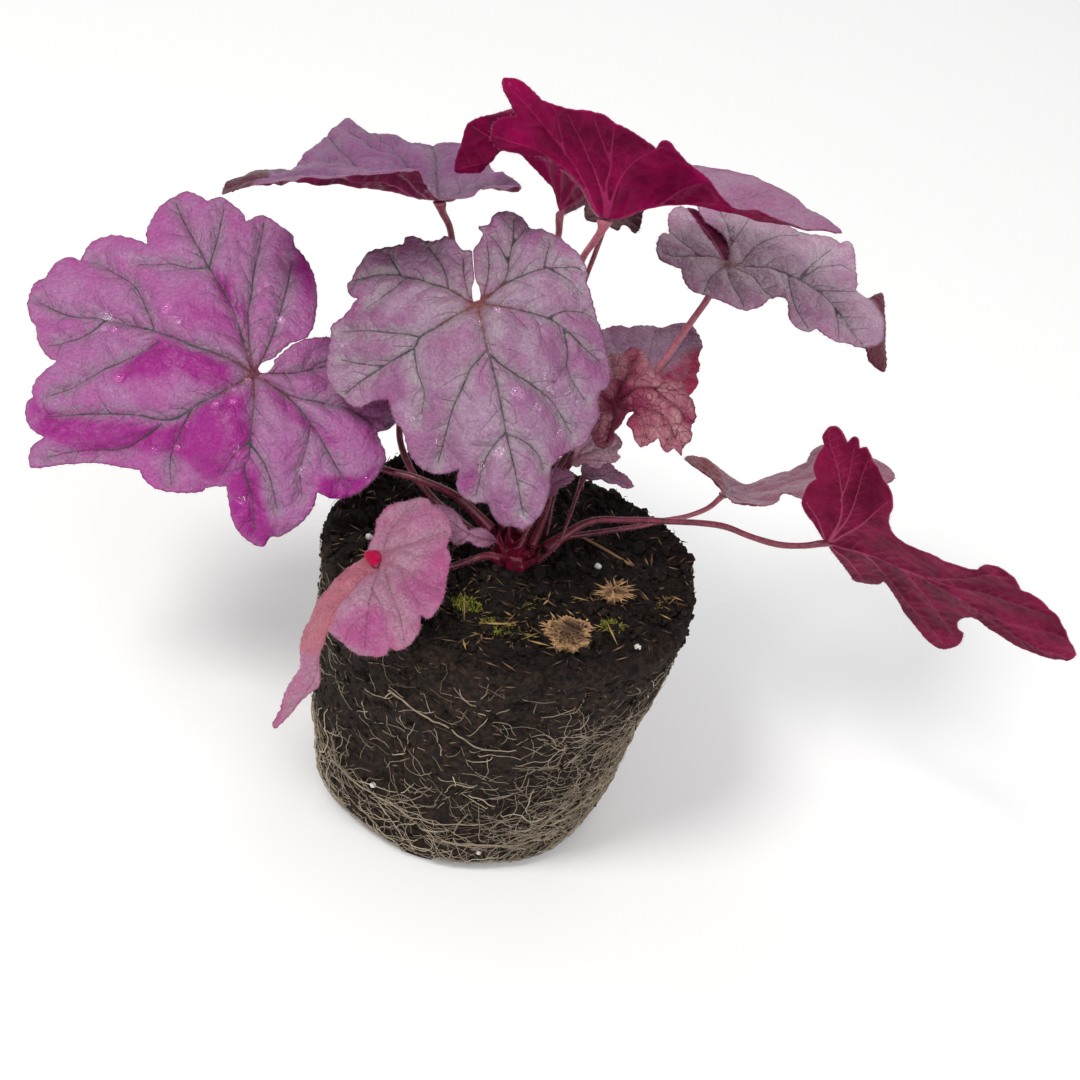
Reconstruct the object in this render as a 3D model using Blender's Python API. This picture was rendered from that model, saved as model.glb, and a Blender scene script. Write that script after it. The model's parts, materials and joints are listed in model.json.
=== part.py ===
"""A heuchera (coral bells) just out of its nursery pot.

A firm root ball, still in the shape of the pot, stands on its own flat base.
A short woody crown sits on the soil, and from it rise the leaf stalks, each
with one lobed blade: large open blades in front, folded and half-turned ones
behind and to the right, and small new ones close to the crown.  Bark chips,
white grit, moss and a dead stalk lie on the soil, and a few roots run round
the outside of the root ball.

Lengths are worked out in millimetres and written in metres.  +Z is up, the
origin is the middle of the root ball's flat base, and -Y is the front.
"""
import math
import random
from math import cos, pi, radians, sin

import bmesh
import bpy
import numpy as np
from mathutils import Vector
from mathutils.geometry import delaunay_2d_cdt

# ---------------------------------------------------------------- driving dimensions, mm
MM = 0.001
BLADE_T = 0.6          # leaf blade thickness
BLADE_STEP = 11.0      # spacing of the points that a blade is laid out with
YOUNG_STEP = 5.0       # the same on the small new leaves
STALK_POINTS = 13      # points along a stalk
STALK_STOP = 2.2       # a stalk ends this far short of the middle of its blade
BALL_SIDES = 56
FOOT_R = 30.0          # flat middle of the root ball's base
NUBS = 8               # small feet round it, where the soil filled the pot's drain holes
NUB_RISE = 2.6         # how far the base stands clear between them
CROWN_R, CROWN_H = 7.9, 6.5
GAP = 0.35             # clearance between neighbouring pieces
ROOT_R = 0.5

# ---------------------------------------------------------------- layout view
# Blades and stalks are laid out as seen in one fixed three-quarter view: two
# picture coordinates (in a 1080 x 1080 frame) and a depth in mm towards the
# viewer, measured from the crown.  world() turns such a triple into mm.
BALL_H = 92.0                      # root ball, base to soil surface
VIEW_TILT = radians(34.0)          # the view looks down by this much
VIEW_ROLL = radians(16.0)
FOCAL = 1875.0                     # in picture units
VIEW_DIST = 600.0                  # mm from the eye to the crown
CROWN_AT = (512.0, 556.0)
_UP0 = np.array([0.0, sin(VIEW_TILT), cos(VIEW_TILT)])
FWD = np.array([0.0, cos(VIEW_TILT), -sin(VIEW_TILT)])
RIGHT = cos(VIEW_ROLL) * np.array([1.0, 0, 0]) + sin(VIEW_ROLL) * _UP0
UPV = -sin(VIEW_ROLL) * np.array([1.0, 0, 0]) + cos(VIEW_ROLL) * _UP0
CROWN = np.array([0.0, 0.0, BALL_H])
EYE = CROWN - (((CROWN_AT[0] - 540) / FOCAL) * VIEW_DIST * RIGHT
               - ((CROWN_AT[1] - 540) / FOCAL) * VIEW_DIST * UPV + VIEW_DIST * FWD)


def world(px, py, d):
    px, py, d = (np.asarray(a, float) for a in (px, py, d))
    z = VIEW_DIST - d
    return (EYE + z[..., None] * FWD + ((px - 540) / FOCAL * z)[..., None] * RIGHT
            - ((py - 540) / FOCAL * z)[..., None] * UPV)


def seen(p):
    q = np.asarray(p, float) - EYE
    z = q @ FWD
    return 540 + FOCAL * (q @ RIGHT) / z, 540 - FOCAL * (q @ UPV) / z, VIEW_DIST - z


# ---------------------------------------------------------------- small tools
def _kernel(r2):
    return np.where(r2 > 1e-12, 0.5 * r2 * np.log(np.maximum(r2, 1e-300)), 0.0)


class Warp:
    """A thin-plate spline from 2D points to vectors."""

    def __init__(self, src, dst, relax=0.002):
        src, dst = np.asarray(src, float), np.asarray(dst, float)
        self.c, self.s = src.mean(0), max(src.std(), 1e-6)
        p = (src - self.c) / self.s
        n = len(p)
        a = np.zeros((n + 3, n + 3))
        a[:n, :n] = _kernel(((p[:, None] - p[None]) ** 2).sum(-1)) + relax * np.eye(n)
        a[:n, n] = a[n, :n] = 1
        a[:n, n + 1:] = p
        a[n + 1:, :n] = p.T
        b = np.zeros((n + 3, dst.shape[1]))
        b[:n] = dst
        self.w, self.p = np.linalg.solve(a, b), p

    def __call__(self, q):
        q = (np.asarray(q, float) - self.c) / self.s
        k = _kernel(((q[:, None] - self.p[None]) ** 2).sum(-1))
        return np.hstack([k, np.ones((len(q), 1)), q]) @ self.w


def spline(points, per=6, closed=False):
    """Catmull-Rom through points of any dimension; per samples a span."""
    p = np.asarray(points, float)
    n = len(p)
    out = []
    for i in range(n if closed else n - 1):
        if closed:
            a, b, c, d = p[(i - 1) % n], p[i], p[(i + 1) % n], p[(i + 2) % n]
        else:
            b, c = p[i], p[i + 1]
            a = p[i - 1] if i else 2 * b - c
            d = p[i + 2] if i + 2 < n else 2 * c - b
        for t in np.arange(per) / per:
            out.append(0.5 * ((2 * b) + (c - a) * t + (2 * a - 5 * b + 4 * c - d) * t * t
                              + (3 * b - a - 3 * c + d) * t ** 3))
    if not closed:
        out.append(p[-1])
    return np.array(out)


def margin(points, per):
    """The closed edge of a blade: smooth between corners, which carry a third value 1."""
    pts = [(q[0], q[1]) for q in points]
    sharp = [len(q) > 2 and q[2] == 1 for q in points]
    n = len(pts)
    out = []
    for i in range(n):
        b, c = np.array(pts[i], float), np.array(pts[(i + 1) % n], float)
        a = 2 * b - c if sharp[i] else np.array(pts[i - 1], float)
        d = 2 * c - b if sharp[(i + 1) % n] else np.array(pts[(i + 2) % n], float)
        if sharp[i]:
            a = b + (b - c) * 0.3 + (c - d) * 0.35
        if sharp[(i + 1) % n]:
            d = c + (c - b) * 0.3 + (b - a) * 0.35
        k = max(1, int(per)) if per >= 1 else 1
        for t in np.arange(k) / k:
            out.append(0.5 * ((2 * b) + (c - a) * t + (2 * a - 5 * b + 4 * c - d) * t * t
                              + (3 * b - a - 3 * c + d) * t ** 3))
    return np.array(out)


def inside(poly, q, block=2000):
    """Whether each q lies inside a closed polygon."""
    x0, y0 = np.asarray(poly, float).T
    x1, y1 = np.roll(x0, -1), np.roll(y0, -1)
    slope = (x1 - x0) / np.where(y1 == y0, 1.0, y1 - y0)
    hit = np.zeros(len(q), bool)
    for i in range(0, len(q), block):
        x, y = q[i:i + block, 0, None], q[i:i + block, 1, None]
        cross = ((y0 > y) != (y1 > y)) & (x < slope * (y - y0) + x0)
        hit[i:i + block] = cross.sum(1) % 2 == 1
    return hit


def seg_dist(q, a, b):
    """Distance from each q to each segment a-b (any dimension), and how far along."""
    ab = b - a
    l2 = np.maximum((ab ** 2).sum(-1), 1e-12)
    t = np.clip(((q[:, None] - a[None]) * ab[None]).sum(-1) / l2[None], 0, 1)
    near = a[None] + t[..., None] * ab[None]
    return np.sqrt(((q[:, None] - near) ** 2).sum(-1)), t


def gap_to(q, a, b):
    """Distance from each q to each segment a-b, in any dimension."""
    c = q.mean(0)
    q, a, b = q - c, a - c, b - c
    ab = b - a
    l2 = np.maximum((ab ** 2).sum(1), 1e-12)
    along = q @ ab.T - (a * ab).sum(1)
    t = np.clip(along / l2, 0, 1)
    d2 = (a ** 2).sum(1) + (q ** 2).sum(1)[:, None] - 2 * (q @ a.T)
    return np.sqrt(np.maximum(d2 - t * (2 * along - t * l2), 0))


def min_dist(q, a, b, block=1000):
    out = np.empty(len(q))
    for i in range(0, len(q), block):
        out[i:i + block] = gap_to(q[i:i + block], a, b).min(1)
    return out


# ---------------------------------------------------------------- blades
def lay_out(leaf):
    """A leaf that faces the view: its pattern is its outline there, and its depth a
    thin-plate sheet through a few points."""
    pts = [tuple(q) for q in leaf["depth"]]
    src = [(q[0], -q[1]) for q in pts]
    dst = [q[:3] for q in pts]
    for u_, v_, px, py, d in leaf.get("also", ()):
        src.append((u_, -v_))
        dst.append((px, py, d))
    leaf["warp"] = Warp(src, dst)
    leaf["edge"] = [(q[0], -q[1]) + tuple(q[2:]) for q in leaf["out"]]
    leaf["veins"] = [([(x, -y) for x, y in line], w) for line, w in leaf.get("lines", ())]
    leaf["origin"] = (leaf["base"][0], -leaf["base"][1])


def lay(leaf, uv):
    """Flat pattern points to mm."""
    q = leaf["warp"](np.asarray(uv, float))
    return world(q[:, 0], q[:, 1], q[:, 2])


def pitch(leaf):
    """mm of blade for one unit of the flat pattern, along each of its axes."""
    o = np.array(leaf["origin"])
    c = np.array([(q[0], q[1]) for q in leaf["edge"]]).mean(0) * 0.6 + o * 0.4
    e = 1.0
    p = lay(leaf, [c, c + (e, 0), c + (0, e)])
    return np.linalg.norm(p[1] - p[0]) / e, np.linalg.norm(p[2] - p[0]) / e


def grow(leaf, step, per, veins=True, thin=False):
    """Triangulates a blade's middle surface: (pattern points, triangles, mm points)."""
    pts = leaf["edge"]
    if thin:
        pts = [q for i, q in enumerate(pts) if len(q) > 2 or i % 2 == 0]
    poly = margin(pts, per)
    keep = np.hypot(*(poly - np.roll(poly, 1, 0)).T) > 1e-4
    poly = poly[keep]
    su, sv = pitch(leaf)
    cell = (step / su, step / sv)
    lo, hi = poly.min(0), poly.max(0)
    nu, nv = int((hi[0] - lo[0]) / cell[0]) + 2, int((hi[1] - lo[1]) / (cell[1] * 0.87)) + 2
    gu, gv = np.meshgrid(np.arange(nu), np.arange(nv))
    g = np.stack([lo[0] + (gu + 0.5 * (gv % 2)) * cell[0], lo[1] + gv * cell[1] * 0.87], -1).reshape(-1, 2)
    g = g[inside(poly, g)]
    scale = np.array([su, sv])
    ring_a, ring_b = poly * scale, np.roll(poly, -1, 0) * scale
    g = g[min_dist(g * scale, ring_a, ring_b) > step * 0.62]
    lines = []
    if veins:
        for line, w in leaf["veins"]:
            s = spline(line, 5) if len(line) > 2 else spline(line, 8)
            seg = np.hypot(*((s[1:] - s[:-1]) * scale).T)
            at = np.concatenate([[0], np.cumsum(seg)])
            k = max(2, int(at[-1] / (step * 0.9)) + 1)
            t = np.linspace(0, at[-1], k)
            s = np.stack([np.interp(t, at, s[:, 0]), np.interp(t, at, s[:, 1])], -1)
            ok = inside(poly, s) & (min_dist(s * scale, ring_a, ring_b) > step * 0.35)
            run = []
            for p, good in zip(s, ok):
                if good:
                    run.append(p)
                elif len(run) > 1:
                    lines.append(np.array(run))
                    run = []
                else:
                    run = []
            if len(run) > 1:
                lines.append(np.array(run))
        if lines:
            va = np.concatenate([l[:-1] for l in lines]) * scale
            vb = np.concatenate([l[1:] for l in lines]) * scale
            g = g[min_dist(g * scale, va, vb) > step * 0.45]
    verts = [tuple(p) for p in poly]
    edges = [(i, (i + 1) % len(poly)) for i in range(len(poly))]
    for l in lines:
        k = len(verts)
        verts += [tuple(p) for p in l]
        edges += [(k + i, k + i + 1) for i in range(len(l) - 1)]
    verts += [tuple(p) for p in g]
    v, e, f = delaunay_2d_cdt([Vector(p) for p in verts], edges, [], 1, 1e-5, False)[:3]
    uv = np.array([tuple(p) for p in v])
    tri = np.array([t for t in f if len(t) == 3], int)
    mid = uv[tri].mean(1)
    tri = tri[inside(poly, mid)]
    a = uv[tri]
    area = ((a[:, 1, 0] - a[:, 0, 0]) * (a[:, 2, 1] - a[:, 0, 1])
            - (a[:, 1, 1] - a[:, 0, 1]) * (a[:, 2, 0] - a[:, 0, 0]))
    tri[area < 0] = tri[area < 0][:, ::-1]
    tri = tri[np.abs(area) > 1e-9]
    used = np.unique(tri)
    back = np.full(len(uv), -1)
    back[used] = np.arange(len(used))
    uv, tri = uv[used], back[tri]
    return uv, tri, lay(leaf, uv)


def normals(p, tri):
    fn = np.cross(p[tri[:, 1]] - p[tri[:, 0]], p[tri[:, 2]] - p[tri[:, 0]])
    n = np.zeros_like(p)
    for k in range(3):
        np.add.at(n, tri[:, k], fn)
    return n / np.maximum(np.linalg.norm(n, axis=1, keepdims=True), 1e-12)


# ---------------------------------------------------------------- root ball
def lift(phi):
    """How far the soil's rim stands above its middle."""
    return 3.5 * np.cos(phi - 0.35) + 5.0 * np.exp(-((np.angle(np.exp(1j * (phi - 2.25)))) / 0.55) ** 2)


def ball_radius(phi, k):
    """Outer radius of the root ball at height share k, by angle."""
    r = 48.5 + 11.5 * k ** 0.9
    r = r + 1.2 * np.cos(2 * phi + 0.6) * k + 3.2 * k * np.exp(-((np.angle(np.exp(1j * (phi - 0.55)))) / 0.35) ** 2)
    return r + 0.7 * np.cos(5 * phi + 1.0) * k * (1 - k) * 2


def soil(phi, k):
    """Height of the soil surface at share k of the way from the middle to the rim."""
    return BALL_H + lift(phi) * k ** 1.6


def drop(px, py, z):
    """Where the view line through a picture point meets the level z."""
    a = world(px, py, 0.0)
    ray = a - EYE
    return EYE + ray * (z - EYE[2]) / ray[2]


# ---------------------------------------------------------------- the plant
# out is the edge as it faces the view (a third value 1 is a notch), depth
# the sheet it lies on, lines its main veins with their weight.
# also lists points of a flap that folds back: where they lie in the pattern, then in the view.
LEAVES = {
    "leaf_1": dict(
        seed=1, base=(253, 374),
        out=[(271, 361, 1), (288, 346), (304, 339.5), (313, 321), (316, 294), (311, 275), (304, 262),
             (294, 250, 1), (292, 238), (284, 230), (268, 218), (257, 216), (246, 224, 1), (242, 214),
             (233, 206), (220, 199), (208, 204, 1), (201, 199), (188, 194), (177, 198), (166, 204),
             (158, 211), (150, 223), (147, 235), (149, 246, 1), (139, 242), (118, 238), (107, 240),
             (91, 247), (81, 262, 1), (70, 260), (56, 268), (48, 281, 1), (38, 286), (32, 302), (31, 318),
             (37, 329, 1), (39, 343), (48, 357), (58, 362, 1), (50, 367), (40, 377), (35, 390),
             (36, 397, 1), (29, 402), (28, 417), (34, 431), (46, 439, 1), (35, 447), (31, 463), (37, 470),
             (67, 465), (94, 463), (118, 466), (142, 469, 1), (147, 481), (161, 491), (185, 494),
             (201, 492), (206, 487, 1), (218, 486), (228, 486, 1), (229, 500), (233, 522), (243, 536),
             (256, 544), (264, 543), (270, 535, 1), (281, 535), (300, 522), (313, 506), (317, 492, 1),
             (332, 498), (351, 495), (370, 481), (380, 468), (383, 455), (376, 433, 1), (389, 429),
             (395, 417), (393, 398), (386, 376), (370, 356), (350, 343), (332, 338.5), (305.5, 340.8),
             (289, 348), (272.5, 362.5, 1), (273, 367), (266, 373), (258, 371), (262, 363)],
        depth=[(253, 374, 24), (201, 200, 4), (262, 224, 4), (305, 262, 7), (316, 300, 11), (168, 204, 2),
               (149, 246, 9), (118, 240, 5), (60, 268, 7), (33, 305, 12), (55, 362, 24), (30, 410, 20),
               (36, 468, 27), (100, 463, 25), (142, 469, 21), (190, 493, 25), (206, 487, 20), (233, 520, 24),
               (262, 543, 17), (283, 533, 17), (313, 505, 21), (350, 494, 18), (380, 468, 15),
               (380, 428, 16), (394, 410, 11), (335, 345, 10), (180, 330, 22), (120, 330, 16),
               (130, 410, 28), (230, 460, 29), (310, 440, 23), (240, 290, 17)],
        lines=[([(253, 374), (233, 310), (209, 267), (185, 224), (176, 204)], 1.0),
               ([(209, 267), (214, 250), (220, 228), (224, 210)], .5),
               ([(208, 267), (190, 268), (174, 264), (156, 266), (139, 266)], .45),
               ([(253, 374), (248, 321), (252, 290), (254, 272), (262, 235), (264, 222)], .9),
               ([(253, 374), (268, 347), (284, 299), (292, 262)], .7),
               ([(253, 374), (230, 358), (193, 345), (155, 331), (107, 321), (70, 315), (40, 304)], 1.0),
               ([(155, 331), (145, 306), (134, 286), (115, 274), (94, 262)], .55),
               ([(107, 321), (88, 334), (66, 342), (48, 345)], .45),
               ([(158, 342), (131, 358), (99, 372), (72, 388), (50, 396)], .5),
               ([(253, 374), (228, 388), (198, 404), (171, 420), (134, 415), (90, 414), (48, 417)], 1.0),
               ([(161, 425), (140, 440), (120, 449), (78, 451), (48, 458)], .55),
               ([(190, 412), (176, 440), (170, 462), (172, 484)], .5),
               ([(253, 374), (254, 401), (251, 430), (249, 455), (244, 471), (252, 497), (254, 528)], 1.0),
               ([(251, 445), (262, 460), (270, 478), (277, 508)], .5),
               ([(250, 440), (232, 458), (222, 474)], .4),
               ([(253, 374), (284, 393), (308, 420), (326, 448), (340, 474), (348, 488)], .9),
               ([(310, 424), (306, 448), (300, 470), (302, 496)], .45),
               ([(253, 374), (295, 396), (348, 409), (378, 430), (388, 424)], .75),
               ([(253, 374), (295, 372), (329, 366), (366, 372)], .7)]),
    "leaf_2": dict(
        seed=2, base=(477.4, 306),
        out=[(474.6, 253, 1), (483, 239), (479, 231), (489, 229), (495, 219), (506, 215.7), (515, 216),
             (524, 222), (533, 233), (544, 233, 1), (558, 238), (571, 248), (581, 259), (587, 273),
             (586, 284, 1), (591, 297), (598, 324), (605, 346), (609, 369), (607, 386), (598, 393, 1),
             (596, 404), (597, 415), (591, 429), (585, 442), (567, 451), (555, 458, 1), (549, 469),
             (547, 489), (543, 505), (535, 520), (524, 528), (513, 525), (502, 523), (493, 514),
             (489, 502, 1), (475, 502), (464, 494), (460, 482), (462, 467, 1), (453, 471), (442, 473),
             (430, 471), (417, 462), (409, 449), (405, 431, 1), (397, 422), (394, 410), (391, 400, 1),
             (375, 402), (357, 408), (343, 398), (335, 389), (330, 373), (330, 355), (333, 341, 1),
             (333, 328), (339, 322), (348, 315), (360, 300.5, 1), (352, 297), (348, 286), (355, 275),
             (368, 259), (386, 250), (404, 247, 1), (407, 239), (415, 237), (428, 242), (439, 243, 1),
             (446, 240), (453, 242), (462, 250), (471, 253, 1), (472.6, 266), (474, 280), (471.8, 290),
             (473, 300), (476.4, 304, 1), (479.5, 299), (480, 290), (476, 280), (474.8, 266)],
        depth=[(477, 306, 40), (515, 217, 20), (480, 233, 22), (474, 253, 27), (544, 234, 25), (575, 252, 31), (586, 280, 34),
               (608, 369, 28), (600, 410, 30), (572, 448, 30), (547, 489, 39), (524, 528, 37), (492, 512, 36),
               (462, 470, 34), (430, 470, 30), (404, 432, 34), (391, 402, 28), (345, 400, 25),
               (331, 360, 21), (350, 288, 20), (386, 250, 18), (407, 240, 19), (440, 243, 24),
               (430, 350, 38), (400, 320, 33), (540, 370, 41), (500, 420, 46), (515, 490, 44),
               (440, 290, 34), (530, 290, 36), (560, 330, 37)],
        lines=[([(477, 306), (480, 315), (486, 344), (493, 369), (502, 409), (506, 433), (512, 458), (518, 485), (523, 516)], 1.0),
               ([(506, 433), (495, 444), (486, 458), (480, 482), (476, 496)], .5),
               ([(506, 434), (522, 440), (536, 453), (543, 470)], .5),
               ([(487, 350), (479, 359), (471, 369), (462, 389), (453, 409), (446, 433), (438, 462)], .7),
               ([(488, 352), (498, 362), (511, 371), (533, 386), (553, 402), (562, 418), (572, 434)], .75),
               ([(477, 306), (466, 310), (444, 322), (419, 337), (413, 348), (398, 357), (384, 366), (355, 386), (346, 394)], .95),
               ([(419, 337), (405, 334), (393, 333), (368, 331), (342, 332)], .5),
               ([(414, 350), (417, 369), (422, 382), (424, 395), (420, 418)], .45),
               ([(384, 366), (362, 364), (342, 360)], .35),
               ([(477, 306), (466, 299), (448, 288), (430, 283), (406, 276), (388, 275), (368, 278), (354, 280)], .8),
               ([(406, 276), (396, 287), (384, 296), (368, 309)], .4),
               ([(402, 276), (394, 264), (388, 254)], .35),
               ([(448, 288), (446, 276), (440, 262), (428, 247)], .5),
               ([(477, 306), (468, 293), (464, 275), (463, 257)], .55),
               ([(477, 306), (486, 286), (489, 264), (487, 244)], .5),
               ([(477, 306), (492, 292), (506, 277), (509, 259), (513, 241), (514, 222)], .75),
               ([(508, 262), (500, 248), (491, 238)], .4),
               ([(512, 246), (520, 238), (526, 229)], .3),
               ([(477, 306), (484, 297), (504, 284), (524, 275), (544, 268), (569, 266), (583, 271)], .8),
               ([(544, 268), (546, 257), (550, 243)], .4),
               ([(548, 268), (560, 274), (570, 281), (582, 294)], .4),
               ([(477, 306), (489, 305), (511, 307), (533, 313), (551, 319), (567, 331), (580, 344), (600, 362)], .85),
               ([(548, 318), (556, 314), (567, 311), (585, 313), (594, 320)], .4),
               ([(563, 329), (567, 351), (568, 369), (576, 386), (584, 400)], .5)]),
    "leaf_3": dict(
        seed=3, base=(440, 203), fold=True,
        out=[(222, 194), (232, 184), (253, 173), (269, 169), (294, 167, 1), (306, 156), (319, 146), (335, 131),
             (349, 121), (358, 129, 1), (369, 135), (393, 139), (411, 146, 1), (430, 147), (457, 148), (476, 152),
             (487, 163, 1), (494, 172), (505, 178), (517, 183), (521, 189), (510, 198), (496, 195), (481, 189, 1),
             (471, 197), (456, 200), (447, 203), (440, 206, 1), (437, 220), (428, 238), (410, 250), (388, 248, 1),
             (368, 247), (345, 240), (322, 230, 1), (300, 222), (276, 212), (250, 204, 1), (236, 200)],
        depth=[(440, 203, 25), (418, 196, 30), (395, 190, 34), (361, 185, 38), (329, 180, 41), (276, 183, 46),
               (222, 194, 50), (253, 173, 28), (294, 167, 8), (349, 121, -24), (411, 146, -20), (457, 148, -14),
               (487, 164, 2), (521, 189, 36), (496, 195, 42), (471, 197, 36), (456, 200, 30), (395, 160, -2),
               (340, 158, 2), (440, 172, 6), (300, 177, 34), (480, 180, 18)],
        also=[(437, 220, 430, 189, 42), (428, 238, 419, 178, 55), (410, 250, 404, 171, 62), (388, 248, 388, 172, 65),
              (368, 247, 367, 175, 66), (345, 240, 345, 178.5, 65), (322, 230, 318, 178.5, 62), (300, 222, 298, 181, 60),
              (276, 212, 276, 184.5, 57), (250, 204, 250, 188, 54), (395, 215, 392, 181, 50), (345, 208, 345, 182, 52)],
        lines=[([(440, 203), (420, 182), (404, 160), (388, 146), (369, 136)], .9),
               ([(440, 203), (405, 184), (360, 168), (320, 162), (275, 172)], .9),
               ([(440, 203), (395, 192), (340, 181), (280, 184), (232, 193)], 1.0),
               ([(440, 203), (436, 180), (436, 160), (432, 148)], .7),
               ([(440, 203), (470, 184), (500, 185), (518, 188)], .8),
               ([(404, 160), (380, 152), (350, 132)], .5), ([(360, 168), (340, 150), (330, 138)], .45),
               ([(440, 203), (420, 222), (402, 240)], .8), ([(440, 203), (390, 212), (350, 232)], .8),
               ([(380, 190), (340, 200), (300, 216)], .6)]),
    "leaf_4": dict(
        seed=4, base=(559, 212), flip=True,
        out=[(469, 123), (480, 117), (492, 114), (510, 109, 1), (530, 105), (552, 108), (568, 114, 1), (586, 124),
             (600, 140), (605, 152, 1), (609, 166), (602, 190), (590, 203, 1), (576, 210), (562, 217, 1), (557, 204), (551, 187),
             (541, 175), (530, 163), (519, 154), (503, 152), (494, 159), (481, 174, 1), (467, 174), (455, 172),
             (457, 158), (461, 147), (463, 139, 1), (465, 130)],
        depth=[(559, 212, 22), (469, 123, 50), (455, 172, 40), (481, 174, 36), (492, 115, 48), (519, 154, 38),
               (541, 175, 31), (530, 106, 30), (586, 124, 6), (609, 166, -4), (602, 190, 0), (576, 210, 14),
               (530, 140, 36), (570, 165, 16), (551, 190, 27), (500, 140, 46)],
        lines=[([(559, 212), (540, 180), (510, 150), (472, 126)], .9), ([(559, 212), (540, 182), (505, 160), (460, 168)], .8),
               ([(559, 212), (546, 170), (528, 130), (512, 112)], .8), ([(559, 212), (560, 170), (560, 114)], .7),
               ([(559, 212), (576, 180), (592, 136)], .7), ([(559, 212), (582, 196), (604, 170)], .6)]),
    "leaf_5": dict(
        seed=5, base=(605, 222), flip=True, fold=True,
        out=[(842, 234), (823, 230), (794, 222), (761, 212, 1), (735, 204), (721, 192), (708, 180, 1), (689, 167), (677, 155),
             (668, 143), (660, 144), (656, 150, 1), (640, 138), (622, 126, 1), (598, 115), (574, 110, 1), (555, 104),
             (542, 100, 1), (530, 88), (518, 79), (503, 78), (503, 89), (508, 99), (516, 116, 1), (503, 117), (495, 121),
             (491, 131), (491, 141), (499, 151), (520, 154, 1), (542, 160), (560, 172), (579, 189), (590, 208), (600, 224, 1),
             (606, 238), (612, 258), (626, 280, 1), (645, 296), (668, 304), (692, 306, 1), (719, 303), (743, 296),
             (761, 287, 1), (778, 280), (793, 269), (806, 258, 1), (824, 247)],
        depth=[(605, 222, 45), (628, 214, 48), (654, 207, 50), (690, 204, 53), (720, 212, 53), (760, 225, 52), (800, 232, 50),
               (842, 234, 47), (794, 222, 54), (761, 212, 60), (735, 204, 66), (708, 180, 70), (668, 143, 76),
               (656, 150, 75), (622, 126, 78), (574, 110, 75), (518, 79, 64), (503, 79, 62), (516, 116, 62),
               (491, 136, 58), (520, 154, 57), (560, 172, 52), (590, 208, 47), (640, 180, 62), (590, 160, 62),
               (690, 185, 66), (548, 130, 66)],
        also=[(606, 238, 607, 212, 38), (612, 258, 616, 196, 30), (626, 280, 632, 182, 22), (645, 296, 650, 172, 16),
              (668, 304, 668, 167, 13), (692, 306, 692, 166, 11), (719, 303, 718, 171, 10), (743, 296, 743, 177, 12),
              (761, 287, 761, 184, 15), (793, 269, 791, 197, 24), (824, 247, 824, 217, 36), (680, 255, 684, 187, 30),
              (740, 255, 742, 198, 31), (790, 245, 790, 212, 38)],
        lines=[([(605, 222), (628, 213), (654, 206), (690, 204), (730, 214), (780, 228), (836, 233)], 1.0),
               ([(605, 222), (609, 205), (607, 181), (611, 167), (613, 146), (615, 126)], .9),
               ([(605, 222), (604, 190), (585, 146), (569, 114)], .8), ([(611, 160), (604, 142), (595, 120)], .5),
               ([(605, 222), (618, 180), (636, 160), (664, 147)], .85), ([(605, 222), (585, 180), (550, 130), (508, 84)], .8),
               ([(605, 222), (580, 182), (540, 150), (496, 136)], .7), ([(654, 207), (680, 190), (704, 182)], .6),
               ([(690, 204), (720, 200), (745, 209)], .5), ([(565, 152), (562, 134), (556, 108)], .45),
               ([(605, 222), (622, 250), (648, 288)], .8), ([(605, 222), (650, 240), (700, 290), (718, 300)], .9),
               ([(670, 240), (730, 250), (770, 276)], .7), ([(654, 236), (672, 262), (684, 298)], .5),
               ([(720, 240), (762, 244), (806, 252)], .5)]),
    "leaf_6": dict(
        seed=6, base=(727, 264),
        out=[(725, 262, 1), (712, 247), (697, 226), (686, 214), (675, 212), (668, 218), (667, 227),
             (669, 235, 1), (661, 236), (656, 247), (658, 258), (668, 266), (681, 269, 1), (683, 281),
             (692, 291), (705, 296), (717, 302, 1), (733, 310), (746, 311), (760, 308), (770, 299, 1),
             (779, 298), (787, 304), (788, 320), (796, 329), (807, 333), (815, 330, 1), (822, 337),
             (835, 343), (846, 343, 1), (856, 347), (864, 349), (868, 361), (877, 371), (881, 367),
             (882, 344), (881, 318), (880, 296), (868, 299), (856, 291, 1), (855, 275), (852, 253),
             (847, 242), (839, 248, 1), (830, 243), (820, 241), (809, 240, 1), (798, 235), (785, 227),
             (766, 218), (748, 206, 1), (730, 198), (712, 195), (698, 199), (695, 208), (704, 222),
             (721, 235), (728.5, 248), (728, 259, 1)],
        depth=[(727, 264, 0), (675, 212, -17), (667, 240, -4), (658, 256, 1), (684, 281, 8), (705, 295, 11),
               (733, 310, 14), (760, 308, 11), (770, 299, 8), (788, 318, 11), (807, 333, 11),
               (840, 343, 8), (864, 348, 5), (876, 325, 0), (880, 345, -7), (877, 370, -8), (881, 300, -10),
               (856, 291, -6), (852, 253, -22), (820, 242, -23), (798, 236, -22), (766, 219, -24),
               (712, 196, -24), (696, 205, -20), (720, 236, -9), (712, 247, -7), (790, 275, 0),
               (755, 245, -9), (820, 300, 4)],
        lines=[([(727, 265), (755, 266), (785, 274), (816, 290), (835, 307), (862, 344)], 1.0),
               ([(788, 277), (792, 299), (799, 314), (808, 328)], .55),
               ([(816, 290), (836, 291), (857, 292), (868, 300)], .5),
               ([(834, 306), (838, 322), (838, 340)], .4),
               ([(727, 265), (740, 262), (755, 247), (777, 237), (798, 237)], .7),
               ([(798, 281), (820, 268), (840, 265), (852, 272)], .6),
               ([(800, 277), (816, 262), (830, 252)], .4),
               ([(727, 265), (730, 280), (738, 294), (744, 308)], .7),
               ([(727, 265), (752, 276), (764, 290), (776, 300)], .5),
               ([(727, 265), (712, 276), (704, 292)], .6),
               ([(727, 265), (718, 258), (700, 256), (675, 257), (662, 252)], .7),
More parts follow.
